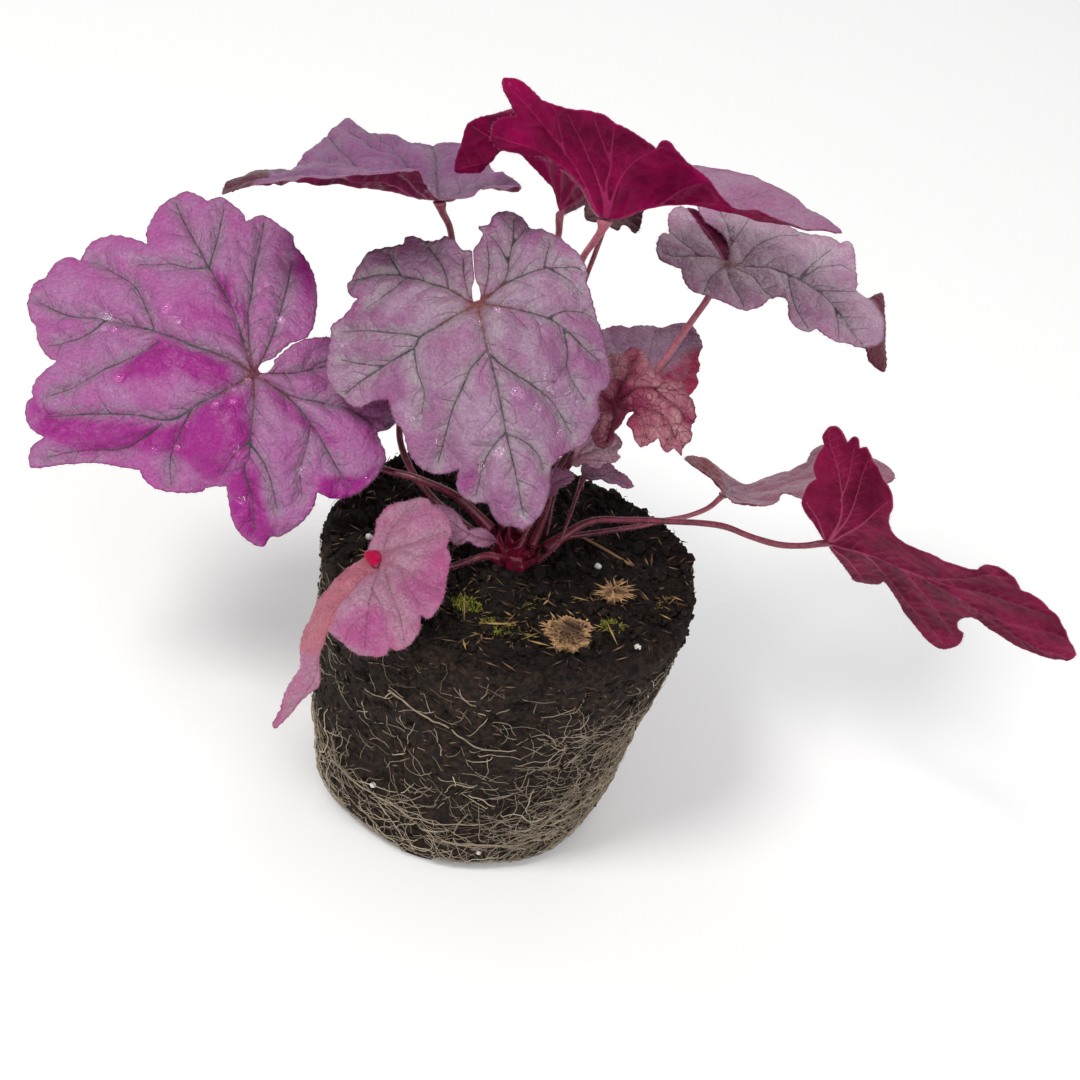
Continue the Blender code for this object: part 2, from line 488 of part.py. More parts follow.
               ([(700, 256), (686, 246), (672, 234)], .4),
               ([(727, 265), (730, 240), (724, 218), (712, 200)], .6),
               ([(728, 250), (742, 230), (752, 214)], .5)]),
    "leaf_7": dict(
        seed=7, base=(724, 494),
        out=[(684, 461), (689, 457), (703, 459), (713, 465, 1), (722, 472), (734, 480), (746, 485), (762, 481, 1), (778, 475),
             (793, 470), (807, 463, 1), (814, 452), (829, 447), (845, 450, 1), (862, 455), (880, 462), (893, 472), (894, 480),
             (884, 486, 1), (865, 490), (845, 494), (825, 497, 1), (806, 501), (791, 495, 1), (782, 496), (775, 503),
             (762, 508), (747, 508, 1), (736, 506), (728, 499), (723, 495, 1), (720, 489), (714, 483), (707, 478, 1), (699, 473),
             (690, 467)],
        depth=[(724, 494, -15), (703, 459, -42), (722, 472, -48), (746, 485, -52), (778, 475, -55), (807, 463, -57),
               (829, 447, -58), (862, 455, -54), (893, 475, -42), (684, 460, -26), (699, 473, -14), (714, 483, -13),
               (747, 508, 12), (775, 503, 14), (806, 501, 10), (845, 494, -8), (865, 490, -20), (760, 495, -20),
               (820, 475, -32), (706, 470, -26)],
        lines=[([(724, 494), (760, 492), (810, 478), (880, 474)], 1.0), ([(724, 494), (746, 490), (790, 478), (822, 455)], .8),
               ([(724, 494), (750, 499), (776, 500)], .8), ([(724, 494), (736, 499), (756, 506)], .7),
               ([(724, 494), (730, 486), (748, 487)], .6), ([(724, 494), (714, 478), (704, 463)], .8),
               ([(724, 494), (708, 474), (688, 461)], .6), ([(770, 490), (790, 492), (806, 498)], .6)]),
    "leaf_8": dict(
        seed=8, base=(827, 543), flip=True,
        out=[(827, 543, 1), (820, 534), (813, 524), (804, 513), (801, 504), (804, 493), (809, 484), (816, 479, 1), (813, 468),
             (817, 455), (823, 446), (822, 437), (826, 430), (831, 426), (838, 428), (843, 436), (846, 443, 1), (851, 438),
             (856, 440), (858, 449, 1), (865, 448), (869, 454), (872, 461, 1), (878, 468), (883, 478), (890, 489), (893, 499),
             (893, 508), (889, 517), (888, 526), (892, 536), (901, 543), (915, 549), (930, 554), (943, 561), (955, 565),
             (966, 569), (976, 571, 1), (984, 566), (995, 567), (1004, 572), (1012, 578), (1018, 586), (1020, 592, 1),
             (1030, 596), (1041, 603), (1050, 611, 1), (1057, 618), (1062, 627), (1067, 636), (1070, 643, 1), (1074, 649),
             (1075, 657), (1068, 661), (1058, 660), (1046, 658, 1), (1034, 653), (1022, 648), (1010, 641), (997, 632, 1),
             (988, 626), (976, 620), (966, 618), (958, 622), (958, 629), (963, 634), (961, 642), (955, 647), (944, 649, 1),
             (936, 647), (925, 638), (914, 626), (905, 614), (898, 602), (890, 588), (884, 581, 1), (878, 585), (869, 586),
             (860, 584), (852, 579), (843, 567), (834, 553)],
        depth=[(827, 543, 0), (801, 504, 16), (816, 479, 26), (824, 440, 32), (838, 428, 38), (858, 449, 42),
               (872, 461, 44), (893, 500, 44), (888, 524, 33), (901, 543, 29), (930, 554, 36), (955, 565, 42),
               (985, 566, 50), (1012, 578, 50), (1050, 611, 42), (1074, 657, 26), (1046, 658, 14), (1022, 648, 6),
               (997, 632, -4), (966, 618, -14), (960, 642, -36), (936, 647, -40), (914, 626, -36), (884, 581, -32),
               (869, 586, -42), (852, 579, -34), (834, 553, -11), (864, 551, 4), (914, 573, 12), (955, 594, 17),
               (995, 621, 20), (1035, 645, 21), (842, 500, 18), (860, 500, 28)],
        lines=[([(827, 543), (864, 551), (914, 573), (955, 594), (995, 621), (1035, 645), (1068, 657)], 1.0),
               ([(900, 566), (944, 583), (981, 591), (1022, 605), (1046, 613)], .8),
               ([(930, 577), (960, 578), (990, 574), (1006, 577)], .6),
               ([(827, 543), (842, 514), (840, 474), (829, 436), (831, 429)], .9),
               ([(827, 543), (850, 515), (862, 480), (868, 460)], .7), ([(827, 543), (860, 525), (878, 510), (890, 500)], .8),
               ([(841, 500), (850, 476), (854, 450)], .45), ([(827, 543), (818, 520), (806, 502)], .6),
               ([(864, 551), (892, 580), (920, 615), (944, 642)], .8), ([(905, 569), (930, 600), (955, 636)], .6),
               ([(827, 543), (845, 556), (864, 580)], .7), ([(955, 594), (980, 620), (1008, 636)], .5),
               ([(975, 606), (1010, 622), (1050, 632), (1064, 636)], .5)]),
    "leaf_9": dict(
        seed=9, base=(382, 558),
        out=[(366, 556, 1), (376, 536), (378, 521), (388, 509), (402, 504), (417, 499), (429, 501), (432, 506, 1),
             (442, 512), (450, 523), (452, 534), (447, 549, 1), (451, 560), (447, 579), (444, 598),
             (439, 609), (429, 619), (421, 615, 1), (420, 630), (412, 643), (405, 649), (398, 651),
             (390, 648, 1), (388, 654), (380, 657), (369, 656), (359, 655), (348, 647), (339, 636),
             (331, 630, 1), (327, 636), (324, 652), (321, 671), (318, 686), (307, 695, 1), (297, 703),
             (289, 716), (280, 728), (276, 725), (279, 712), (282, 700), (291, 684), (302, 668, 1), (303, 653),
             (304, 639), (310, 623), (321, 604), (330, 590), (339, 580), (350, 568)],
        depth=[(382, 558, 30), (417, 500, 18), (380, 520, 22), (450, 530, 25), (447, 579, 35), (432, 618, 45),
               (400, 650, 50), (360, 655, 43), (335, 633, 41), (324, 660, 38), (300, 700, 31),
               (278, 727, 25), (303, 650, 29), (321, 604, 31), (345, 575, 34), (365, 556, 27), (395, 600, 44),
               (350, 615, 44), (332, 620, 40)],
        lines=[([(382, 558), (391, 550), (413, 542), (430, 537), (448, 532)], .9),
               ([(382, 558), (388, 563), (406, 569), (417, 579), (440, 590)], .9),
               ([(382, 558), (388, 535), (400, 518), (415, 506)], .8),
               ([(382, 558), (390, 590), (400, 615), (404, 640)], .9),
               ([(382, 558), (372, 590), (366, 620), (364, 648)], .9),
               ([(382, 558), (356, 584), (340, 606), (326, 640), (312, 680), (290, 710)], .9),
               ([(400, 566), (406, 584), (420, 604)], .4), ([(372, 590), (384, 612), (386, 640)], .4),
               ([(366, 612), (350, 628), (346, 642)], .4), ([(356, 584), (336, 600), (316, 622)], .4)]),
    "leaf_10": dict(
        seed=10, base=(640, 392),
        out=[(598, 336), (606, 329), (618, 326), (629, 328, 1), (640, 325), (652, 325), (662, 328, 1), (675, 325),
             (690, 325), (697, 334), (702, 347), (698, 358, 1), (700, 367), (696, 376, 1), (698, 384),
             (692, 394), (682, 404, 1), (668, 412), (650, 416), (640, 402, 1), (630, 410), (612, 400), (602, 380), (596, 356)],
        depth=[(640, 392, -18), (600, 332, -31), (650, 326, -38), (692, 326, -40), (702, 347, -33), (684, 398, -20),
               (650, 415, -15), (604, 380, -17), (650, 360, -25)],
        lines=[([(640, 392), (648, 362), (655, 330)], .9), ([(640, 392), (622, 362), (610, 334)], .8),
               ([(640, 392), (664, 368), (690, 334)], .8), ([(640, 392), (668, 384), (694, 372)], .7),
               ([(640, 392), (618, 386), (602, 372)], .6)]),
    "leaf_11": dict(
        seed=11, base=(613, 404), crinkle=1.5,
        out=[(604, 363), (612, 358), (622, 358, 1), (632, 353), (645, 357), (651, 368, 1), (662, 375), (671, 373),
             (680, 380), (683, 394, 1), (690, 406), (693, 419), (688, 428, 1), (689, 440), (680, 449),
             (678, 457), (671, 449, 1), (665, 453), (660, 449), (657, 439, 1), (650, 444), (641, 448),
             (635, 440), (634, 433, 1), (629, 426), (632, 411), (627, 411, 1), (623, 429), (617, 434, 1),
             (615, 444), (608, 450), (597, 447), (590, 432, 1), (586, 415), (588, 396), (594, 376)],
        depth=[(613, 404, 8), (632, 354, -4), (608, 360, -2), (680, 381, 3), (693, 419, 7), (678, 456, 13), (641, 447, 17),
               (608, 450, 14), (588, 405, 4), (650, 395, 15), (660, 425, 16), (632, 412, 12)],
        lines=[([(613, 404), (630, 392), (652, 386), (676, 390)], 1), ([(613, 404), (622, 384), (634, 360)], .8),
               ([(613, 404), (640, 406), (664, 416), (676, 440)], .9), ([(613, 404), (640, 416), (646, 438)], .7),
               ([(652, 386), (672, 402), (686, 416)], .6), ([(613, 404), (614, 420), (608, 442)], .6),
               ([(613, 404), (600, 396), (596, 384)], .5)]),
    "leaf_12": dict(
        seed=12, base=(573, 460),
        out=[(571, 463, 1), (574, 450), (578, 441), (586, 436, 1), (592, 430), (602, 429), (609, 434, 1), (616, 436),
             (622, 445), (617, 452, 1), (620, 458), (613, 463), (605, 462, 1), (600, 468), (590, 467), (584, 463, 1),
             (578, 468), (573, 466)],
        depth=[(573, 460, 5), (602, 430, -3), (620, 446, -1), (614, 462, 4), (598, 467, 7), (578, 440, 3.5), (596, 448, 4)],
        lines=[([(573, 460), (590, 452), (616, 446)], .8), ([(573, 460), (586, 446), (600, 434)], .6),
               ([(573, 460), (590, 460), (606, 461)], .5)]),
    "leaf_13": dict(
        seed=13, base=(547, 493),
        out=[(545, 495, 1), (544, 484), (548, 473), (555, 467), (562, 470, 1), (569, 470), (575, 477), (571, 483, 1),
             (566, 486), (560, 486, 1), (558, 492), (552, 497)],
        depth=[(547, 493, 11), (555, 468, 8), (574, 477, 10), (558, 492, 14), (558, 480, 11)],
        lines=[([(547, 493), (558, 482), (571, 477)], .8), ([(547, 493), (550, 482), (556, 470)], .6)]),
    "leaf_14": dict(
        seed=14, base=(584, 476),
        out=[(582, 477, 1), (581, 468), (585, 461), (595, 461), (601, 465, 1), (610, 466), (617, 472, 1), (626, 477), (633, 488),
             (624, 490), (616, 486, 1), (608, 486), (601, 482, 1), (592, 482)],
        depth=[(584, 476, -2), (586, 462, -6), (611, 468, -6), (632, 488, 0), (610, 485, 2), (604, 476, -1)],
        lines=[([(584, 476), (606, 478), (629, 487)], .8), ([(584, 476), (592, 469), (598, 464)], .5),
               ([(600, 478), (610, 473), (616, 474)], .4)]),
    "leaf_15": dict(
        seed=15, base=(612, 214), crinkle=1.4,
        out=[(588, 200), (592, 190), (604, 186, 1), (616, 185), (628, 188), (636, 196, 1), (643, 203), (642, 216),
             (640, 228), (634, 234), (628, 228, 1), (622, 227), (617, 233), (611, 231, 1), (604, 226), (595, 225),
             (587, 221), (584, 211)],
        depth=[(612, 214, 20), (595, 190, 13), (628, 188, 11), (642, 212, 15), (634, 233, 22), (612, 231, 25),
               (588, 220, 22), (586, 205, 17)],
        lines=[([(612, 214), (622, 200), (630, 190)], .8), ([(612, 214), (600, 202), (594, 192)], .7),
               ([(612, 214), (626, 218), (638, 226)], .8), ([(612, 214), (614, 226)], .6),
               ([(612, 214), (598, 216), (588, 218)], .7)]),
    "leaf_16": dict(
        seed=16, base=(495, 541),
        out=[(497, 542, 1), (494, 536), (486, 530), (478, 528), (469, 530, 1), (464, 524), (458, 514), (450, 507),
             (441, 504), (433, 506), (434, 514), (440, 522, 1), (443, 530), (449, 539), (456, 545),
             (463, 544), (468, 541, 1), (476, 546), (486, 547)],
        depth=[(495, 541, 12), (434, 507, 13), (460, 516, 12), (455, 544, 15), (478, 529, 11), (485, 546, 14), (460, 532, 14)],
        lines=[([(495, 541), (474, 536), (452, 522), (438, 509)], .9), ([(474, 536), (466, 532)], .4),
               ([(470, 534), (462, 540), (456, 543)], .5), ([(480, 537), (476, 543)], .3)]),
}

# each stalk: its leaf, where it leaves the crown (mm from the soil at the crown), the points
# of its route in the view, and its radii at the crown and at the leaf
STALKS = {
    "stalk_1": ("leaf_1", (-9.2, 0.8, 7.0), [(457, 497, 9), (418, 479, 9), (381, 468, 7), (330, 437, 8), (286, 403, 13), (259, 380, 20)], 2.3, 1.25),
    "stalk_2": ("leaf_2", (-7.6, -4.6, 4.8), [(467, 526, 4), (440, 505, 1), (424, 488, 0), (411, 470, 0), (400, 440, 1), (400, 404, 3), (404, 376, 8), (415, 352, 17), (448, 319, 30), (472, 308, 37)], 1.25, 1.15),
    "stalk_3": ("leaf_3", (-4.4, 2.2, 7.6), [(486, 430, -6), (465, 310, 4), (453, 246, 14), (449, 225, 19), (443, 212, 23)], 1.9, 1.05),
    "stalk_4": ("leaf_4", (-1.6, 6.4, 7.2), [(522, 430, -9), (544, 300, 5), (557, 242, 14), (559, 220, 20)], 1.8, 1.0),
    "stalk_5": ("leaf_5", (0.6, 1.8, 8.0), [(541, 430, 5), (567, 310, 22), (581, 262, 26.5), (594, 241, 36), (602, 229, 42)], 1.9, 1.1),
    "stalk_6": ("leaf_6", (5.2, 3.8, 7.2), [(551, 471, -6), (570, 456, -7), (590, 440, -8), (625, 405, -10), (658, 368, -10), (690, 323, -8), (707, 299, -5), (723, 270, -2)], 2.1, 1.1),
    "stalk_7": ("leaf_7", (9.4, 3.8, 4.8), [(561, 538, -3), (588, 534, -5), (614, 530, -6), (640, 526, -8), (665, 520, -10), (687, 516, -12), (708, 508, -13.5), (721, 497, -15)], 1.5, .85),
    "stalk_8": ("leaf_8", (9.6, -1.2, 7.2), [(588, 522, 3), (627, 520, 2), (666, 521, 2), (700, 523, 1.5), (727, 527, 1), (754, 538, .5), (780, 545, 0), (805, 546, 0), (822, 543.5, 0)], 2.2, 1.05),
    "stalk_9": ("leaf_9", (-3.4, -9.3, 4.0), [(487, 556, 11), (466, 562, 12), (448, 567, 14), (420, 566, 19), (392, 560, 26)], 1.5, 1.0),
    "stalk_10": ("leaf_10", (5.6, 9.4, 5.4), [(556, 480, -17), (596, 432, -25), (634, 396, -19.5)], 1.5, .9),
    "stalk_11": ("leaf_11", (5.2, -3.2, 7.9), [(546, 512, 3), (556, 474, -.5), (586, 425, 2), (608, 407, 5)], 1.4, .9),
    "stalk_12": ("leaf_12", (8.8, 7.9, 5.0), [(555, 494, -4), (570, 465, 3)], .8, .6),
    "stalk_13": ("leaf_13", (1.4, -5.8, 7.2), [(534, 516, 9), (545, 496, 10)], .8, .6),
    "stalk_14": ("leaf_14", (8.2, -6.6, 4.8), [(556, 546, 10), (567, 522, 9.5), (575, 500, 4), (582, 480, -1.5)], .9, .6),
    "stalk_15": ("leaf_15", (2.6, 8.4, 6.4), [(545, 420, -14), (572, 320, 2), (594, 255, 12), (608, 218, 18)], 1.2, .8),
}


def prepare():
    for leaf in LEAVES.values():
        lay_out(leaf)


def route(name, per=8):
    """A stalk's middle line in mm, as a smooth dense curve, its radius and its length there."""
    leaf, start, pts, r0, r1 = STALKS[name]
    foot = lay(LEAVES[leaf], [LEAVES[leaf]["origin"]])[0]
    line = spline([np.array(start) + (0, 0, BALL_H)] + [world(*p) for p in pts] + [foot], per)
    seg = np.linalg.norm(line[1:] - line[:-1], axis=1)
    at = np.concatenate([[0], np.cumsum(seg)])
    r = r0 + (r1 - r0) * (at / at[-1]) ** 0.7
    return line, r, at


# ---------------------------------------------------------------- objects
for old in list(bpy.data.objects):
    bpy.data.objects.remove(old, do_unlink=True)

FINISHES = {
    "leaf_rose": ((0.36, 0.10, 0.26, 1), 0.45),
    "leaf_silver": ((0.38, 0.22, 0.34, 1), 0.50),
    "leaf_wine": ((0.16, 0.02, 0.07, 1), 0.40),
    "leaf_bronze": ((0.13, 0.06, 0.05, 1), 0.50),
    "stalk_maroon": ((0.17, 0.02, 0.05, 1), 0.40),
    "crown_crimson": ((0.35, 0.03, 0.06, 1), 0.55),
    "soil_dark": ((0.035, 0.025, 0.02, 1), 0.95),
    "bark_brown": ((0.20, 0.12, 0.08, 1), 0.85),
    "grit_white": ((0.75, 0.73, 0.70, 1), 0.80),
    "moss_green": ((0.16, 0.20, 0.04, 1), 0.95),
    "root_tan": ((0.50, 0.38, 0.24, 1), 0.75),
}

# every piece hangs from one empty at the middle of the base
plant = bpy.data.objects.new("heuchera", None)
bpy.context.scene.collection.objects.link(plant)


def finish(slot):
    mat = bpy.data.materials.get(slot)
    if mat is None:
        mat = bpy.data.materials.new(slot)
        mat.use_nodes = True
        colour, rough = FINISHES[slot]
        shader = mat.node_tree.nodes["Principled BSDF"]
        shader.inputs["Base Color"].default_value = colour
        shader.inputs["Roughness"].default_value = rough
        shader.inputs["Metallic"].default_value = 0.0
    return mat


def place(name, data, slot, at):
    """Puts one piece into the plant, its own origin at a point in mm."""
    data.materials.append(finish(slot))
    obj = bpy.data.objects.new(name, data)
    obj.location = Vector([float(c) for c in at]) * MM
    obj.parent = plant
    bpy.context.scene.collection.objects.link(obj)
    return obj


def metres(p, at):
    return Vector([float(c) for c in np.asarray(p, float) - np.asarray(at, float)]) * MM


def settle(bm, name, slot, at, smooth=True):
    """Turns a bmesh into a piece whose faces point out."""
    bmesh.ops.recalc_face_normals(bm, faces=bm.faces)
    mesh = bpy.data.meshes.new(name)
    bm.to_mesh(mesh)
    bm.free()
    if smooth:
        mesh.shade_smooth()
    return place(name, mesh, slot, at)


def blade(name, leaf, slot, step):
    """A leaf blade: its middle surface as a mesh, given its thickness by a modifier."""
    uv, tri, mid = grow(leaf, step, 1, veins=False)
    at = lay(leaf, [leaf["origin"]])[0]
    bm = bmesh.new()
    verts = [bm.verts.new(metres(p, at)) for p in mid]
    for a, b, c in tri:
        bm.faces.new((verts[a], verts[b], verts[c]))
    mesh = bpy.data.meshes.new(name)
    bm.to_mesh(mesh)
    bm.free()
    mesh.shade_smooth()
    obj = place(name, mesh, slot, at)
    skin = obj.modifiers.new("thickness", "SOLIDIFY")
    skin.thickness = BLADE_T * MM
    skin.offset = 0.0
    skin.use_rim = True
    return obj


def strand(name, path, radii, slot, round_steps):
    """A round stalk or root: a curve with a bevel, thinner towards its end."""
    at = path[0]
    data = bpy.data.curves.new(name, "CURVE")
    data.dimensions = "3D"
    data.bevel_depth = MM
    data.bevel_resolution = round_steps
    data.use_fill_caps = True
    line = data.splines.new("POLY")
    line.points.add(len(path) - 1)
    for point, p, r in zip(line.points, path, radii):
        point.co = (*metres(p, at), 1.0)
        point.radius = float(r)
    line.use_smooth = True
    return place(name, data, slot, at)


def turned(name, rings, low, high, slot):
    """A turned body: rings of equal count from the bottom up, closed at both ends."""
    bm = bmesh.new()
    loops = [[bm.verts.new(metres(p, low)) for p in ring] for ring in rings]
    for one, two in zip(loops, loops[1:]):
        edges = [bm.edges.get(pair) or bm.edges.new(pair)
                 for loop in (one, two) for pair in zip(loop, loop[1:] + loop[:1])]
        bmesh.ops.bridge_loops(bm, edges=edges)
    for loop, end in ((loops[0], low), (loops[-1], high)):
        tip = bm.verts.new(metres(end, low))
        for pair in zip(loop, loop[1:] + loop[:1]):
            bm.faces.new((*pair, tip))
    return settle(bm, name, slot, low)


def grain(name, at, radii, seed, slot):
    """A rough grain or tuft: a small sphere with its corners pulled in unevenly."""
    rng = random.Random(seed)
    bm = bmesh.new()
    bmesh.ops.create_icosphere(bm, subdivisions=1, radius=1.0)
    for v in bm.verts:
        k = rng.uniform(0.82, 1.0) * MM
        v.co = Vector((v.co.x * radii[0] * k, v.co.y * radii[1] * k, v.co.z * radii[2] * k))
    return settle(bm, name, slot, at, smooth=slot != "grit_white")


def on_soil(px, py, h):
    """The point h above the soil that shows at a picture point."""
    z = BALL_H
    for _ in range(6):
        p = drop(px, py, z + h)
        phi = math.atan2(p[1], p[0])
        z = soil(phi, min(1.0, np.hypot(p[0], p[1]) / ball_radius(phi, 1.0)))
    return p


def chip(name, outline, front, back, thick):
    """A bark chip: its outline as seen, front edge low and back edge raised, extruded down."""
    ys = [q[1] for q in outline]
    lo, hi = min(ys), max(ys)
    ring = np.array([on_soil(x, y, front + (back - front) * (hi - y) / (hi - lo)) for x, y in outline])
    mid = ring.mean(0)
    up = sum(np.cross(a - mid, b - mid) for a, b in zip(ring, np.roll(ring, -1, 0)))
    up = up / np.linalg.norm(up) * (1 if up[2] > 0 else -1)
    ring = ring - np.outer((ring - mid) @ up, up)
    bm = bmesh.new()
    face = bm.faces.new([bm.verts.new(metres(p, mid)) for p in ring])
    grown = bmesh.ops.extrude_face_region(bm, geom=[face])["geom"]
    bmesh.ops.translate(bm, verts=[v for v in grown if isinstance(v, bmesh.types.BMVert)],
                        vec=Vector([float(c) for c in -up * thick * MM]))
    return settle(bm, name, "bark_brown", mid, smooth=False)


# ---- leaf blades
prepare()
LEAF_SLOTS = {"leaf_1": "leaf_rose", "leaf_2": "leaf_silver", "leaf_3": "leaf_rose", "leaf_4": "leaf_wine",
              "leaf_5": "leaf_wine", "leaf_6": "leaf_silver", "leaf_7": "leaf_rose", "leaf_8": "leaf_wine",
              "leaf_9": "leaf_rose", "leaf_10": "leaf_silver", "leaf_11": "leaf_bronze", "leaf_12": "leaf_rose",
              "leaf_13": "leaf_rose", "leaf_14": "leaf_rose", "leaf_15": "leaf_bronze", "leaf_16": "leaf_rose"}
YOUNG = ("leaf_12", "leaf_13", "leaf_14", "leaf_15", "leaf_16")
for name, leaf in LEAVES.items():
    blade(name, leaf, LEAF_SLOTS[name], YOUNG_STEP if name in YOUNG else BLADE_STEP)

# ---- leaf stalks
for name in STALKS:
    line, radii, at = route(name)
    stop = at[-1] - STALK_STOP
    marks = np.linspace(0, stop, STALK_POINTS if stop > 50 else 7)
    path = np.stack([np.interp(marks, at, line[:, k]) for k in range(3)], -1)
    strand(name, path, np.interp(marks, at, radii), "stalk_maroon", 2)

# ---- crown
rings = []
for share, rise in ((0.93, 0.0), (1.0, 0.24), (1.0, 0.52), (0.9, 0.78), (0.66, 0.95), (0.34, 1.0)):
    ring = []
    for j in range(20):
        a = 2 * pi * j / 20
        r = CROWN_R * share * (1 + 0.04 * sin(3 * a + 5 * rise))
        ring.append((r * cos(a), r * sin(a), BALL_H + GAP + (CROWN_H - GAP) * rise))
    rings.append(ring)
turned("crown", rings, (0, 0, BALL_H + GAP), (0, 0, BALL_H + CROWN_H), "crown_crimson")


# ---- root ball
def nub(phi):
    """1 on one of the small feet round the base, 0 between them."""
    wave = cos(NUBS * phi + 0.6)
    return min(1.0, max(0.0, (wave - 0.35) / 0.3))


def wall_bump(phi, z):
    return 0.45 * sin(3 * phi + 0.11 * z) + 0.35 * sin(7 * phi - 0.17 * z + 1.0)


def soil_bump(x, y):
    return 0.45 * sin(0.33 * x + 1.0) * cos(0.29 * y) + 0.3 * sin(0.21 * x - 0.4 * y)


angles = [2 * pi * j / BALL_SIDES for j in range(BALL_SIDES)]


def ball_ring(radius, height):
    return [(radius(a) * cos(a), radius(a) * sin(a), height(a)) for a in angles]


rings = [ball_ring(lambda a: FOOT_R * 0.5, lambda a: 0.0), ball_ring(lambda a: FOOT_R, lambda a: 0.0)]
for r in (FOOT_R + 3, FOOT_R + 10, FOOT_R + 14.5):
    rings.append(ball_ring(lambda a: r, lambda a: NUB_RISE * (1 - nub(a))))
rings.append(ball_ring(lambda a: ball_radius(a, 0.0) - 1.4, lambda a: 1.2 + NUB_RISE * (1 - nub(a))))
for k in (0.06, 0.15, 0.26, 0.38, 0.5, 0.62, 0.74, 0.85, 0.94):
    rings.append(ball_ring(lambda a: ball_radius(a, k) + wall_bump(a, k * (BALL_H + lift(a) * k)),
                           lambda a: k * (BALL_H + lift(a) * k)))
for inset, fall in ((0.7, 2.8), (2.4, 0.9), (5.5, 0.0)):
    rings.append(ball_ring(lambda a: ball_radius(a, 1.0) - inset,
                           lambda a: soil(a, 1 - inset / ball_radius(a, 1.0)) - fall))
for k in (0.78, 0.6, 0.42, 0.25, 0.17):
    rings.append([(x, y, soil(a, k) + soil_bump(x, y) * min(1, max(0, (k - 0.17) / 0.2)) - 0.05)
                  for a in angles
                  for x, y in [(k * ball_radius(a, 1.0) * cos(a), k * ball_radius(a, 1.0) * sin(a))]])
turned("root_ball", rings, (0, 0, 0), (0, 0, BALL_H - 0.05), "soil_dark")

# ---- what lies on the soil
chip("bark_chip_large", [(549, 622), (560, 613), (577, 617), (593, 628), (590, 642), (575, 652), (556, 648), (547, 635)],
     2.9, 5.2, 1.8)
chip("bark_chip_small", [(598, 590), (612, 580), (628, 584), (629, 597), (614, 605), (600, 601)], 2.6, 4.2, 1.4)
for name, px, py, size, seed in (("grit_1", 369, 537, 1.35, 3), ("grit_2", 598, 566, 1.25, 5), ("grit_3", 638, 647, 1.2, 8)):
    grain(name, on_soil(px, py, size + 1.0), (size, size * 0.85, size * 0.8), seed, "grit_white")
for name, px, py, wide, seed in (("moss_1", 466, 606, 4.6, 11), ("moss_2", 494, 628, 4.8, 12), ("moss_3", 612, 628, 3.6, 13)):
    grain(name, on_soil(px, py, 3.0), (wide, wide * 0.9, 1.9), seed, "moss_green")
path = [on_soil(px, py, h) for px, py, h in ((582, 537, 1.9), (593, 543, 1.8), (604, 549, 1.9), (616, 556, 2.0), (628, 563, 1.8))]
strand("dry_stalk", path, (0.40, 0.52, 0.48, 0.45, 0.38), "bark_brown", 1)

# ---- roots on the outside of the root ball: the angle and height where each starts, how far
# round it runs and how much it climbs
SURFACE_ROOTS = [(-2.45, 18, 1.15, 6), (-1.5, 12, 0.95, 5), (-0.72, 24, 0.9, 26), (0.55, 14, 1.1, -4), (1.75, 20, 1.0, 12),
                 (2.9, 12, 0.8, 10), (-2.0, 66, 0.75, -5), (0.45, 60, 0.6, -14)]
for i, (start, height, sweep, climb) in enumerate(SURFACE_ROOTS, 1):
    path = []
    for j in range(15):
        t = j / 14
        a = start + sweep * t
        z = height + climb * t + 2.2 * sin(5.0 * t + i) + 0.8 * sin(13 * t + 2 * i)
        k = z / (BALL_H + lift(a) * z / BALL_H)
        r = ball_radius(a, k) + wall_bump(a, z) + GAP + ROOT_R + 0.2
        path.append((r * cos(a), r * sin(a), z))
    strand("root_%d" % i, path, [ROOT_R * (1 - 0.35 * j / 14) for j in range(15)], "root_tan", 1)
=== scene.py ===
"""The looks of a heuchera with a bare root ball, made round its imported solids.

Blades are laid out again on a fine mesh, with their veins as creases, and get a
top and an underside; stalks flare into them; the root ball is carved as crumbly
soil with a net of fine roots; lengths are worked out in millimetres.
"""

import json
import math
import random
from math import cos, pi, radians, sin

import bmesh
import bpy
import numpy as np
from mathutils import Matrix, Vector
from mathutils.geometry import delaunay_2d_cdt

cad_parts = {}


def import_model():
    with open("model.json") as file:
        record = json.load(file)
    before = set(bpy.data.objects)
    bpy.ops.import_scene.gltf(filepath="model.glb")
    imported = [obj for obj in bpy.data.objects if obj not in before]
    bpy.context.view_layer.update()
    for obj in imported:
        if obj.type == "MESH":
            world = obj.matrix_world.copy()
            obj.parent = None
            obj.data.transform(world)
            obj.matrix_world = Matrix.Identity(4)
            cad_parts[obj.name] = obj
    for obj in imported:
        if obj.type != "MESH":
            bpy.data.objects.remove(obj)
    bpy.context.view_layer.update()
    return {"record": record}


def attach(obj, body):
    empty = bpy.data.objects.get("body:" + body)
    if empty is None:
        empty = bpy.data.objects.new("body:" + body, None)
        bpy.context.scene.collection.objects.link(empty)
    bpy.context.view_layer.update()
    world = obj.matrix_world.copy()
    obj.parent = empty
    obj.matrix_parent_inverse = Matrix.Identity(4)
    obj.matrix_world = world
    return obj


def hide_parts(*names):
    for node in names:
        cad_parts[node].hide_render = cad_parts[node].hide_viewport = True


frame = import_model()

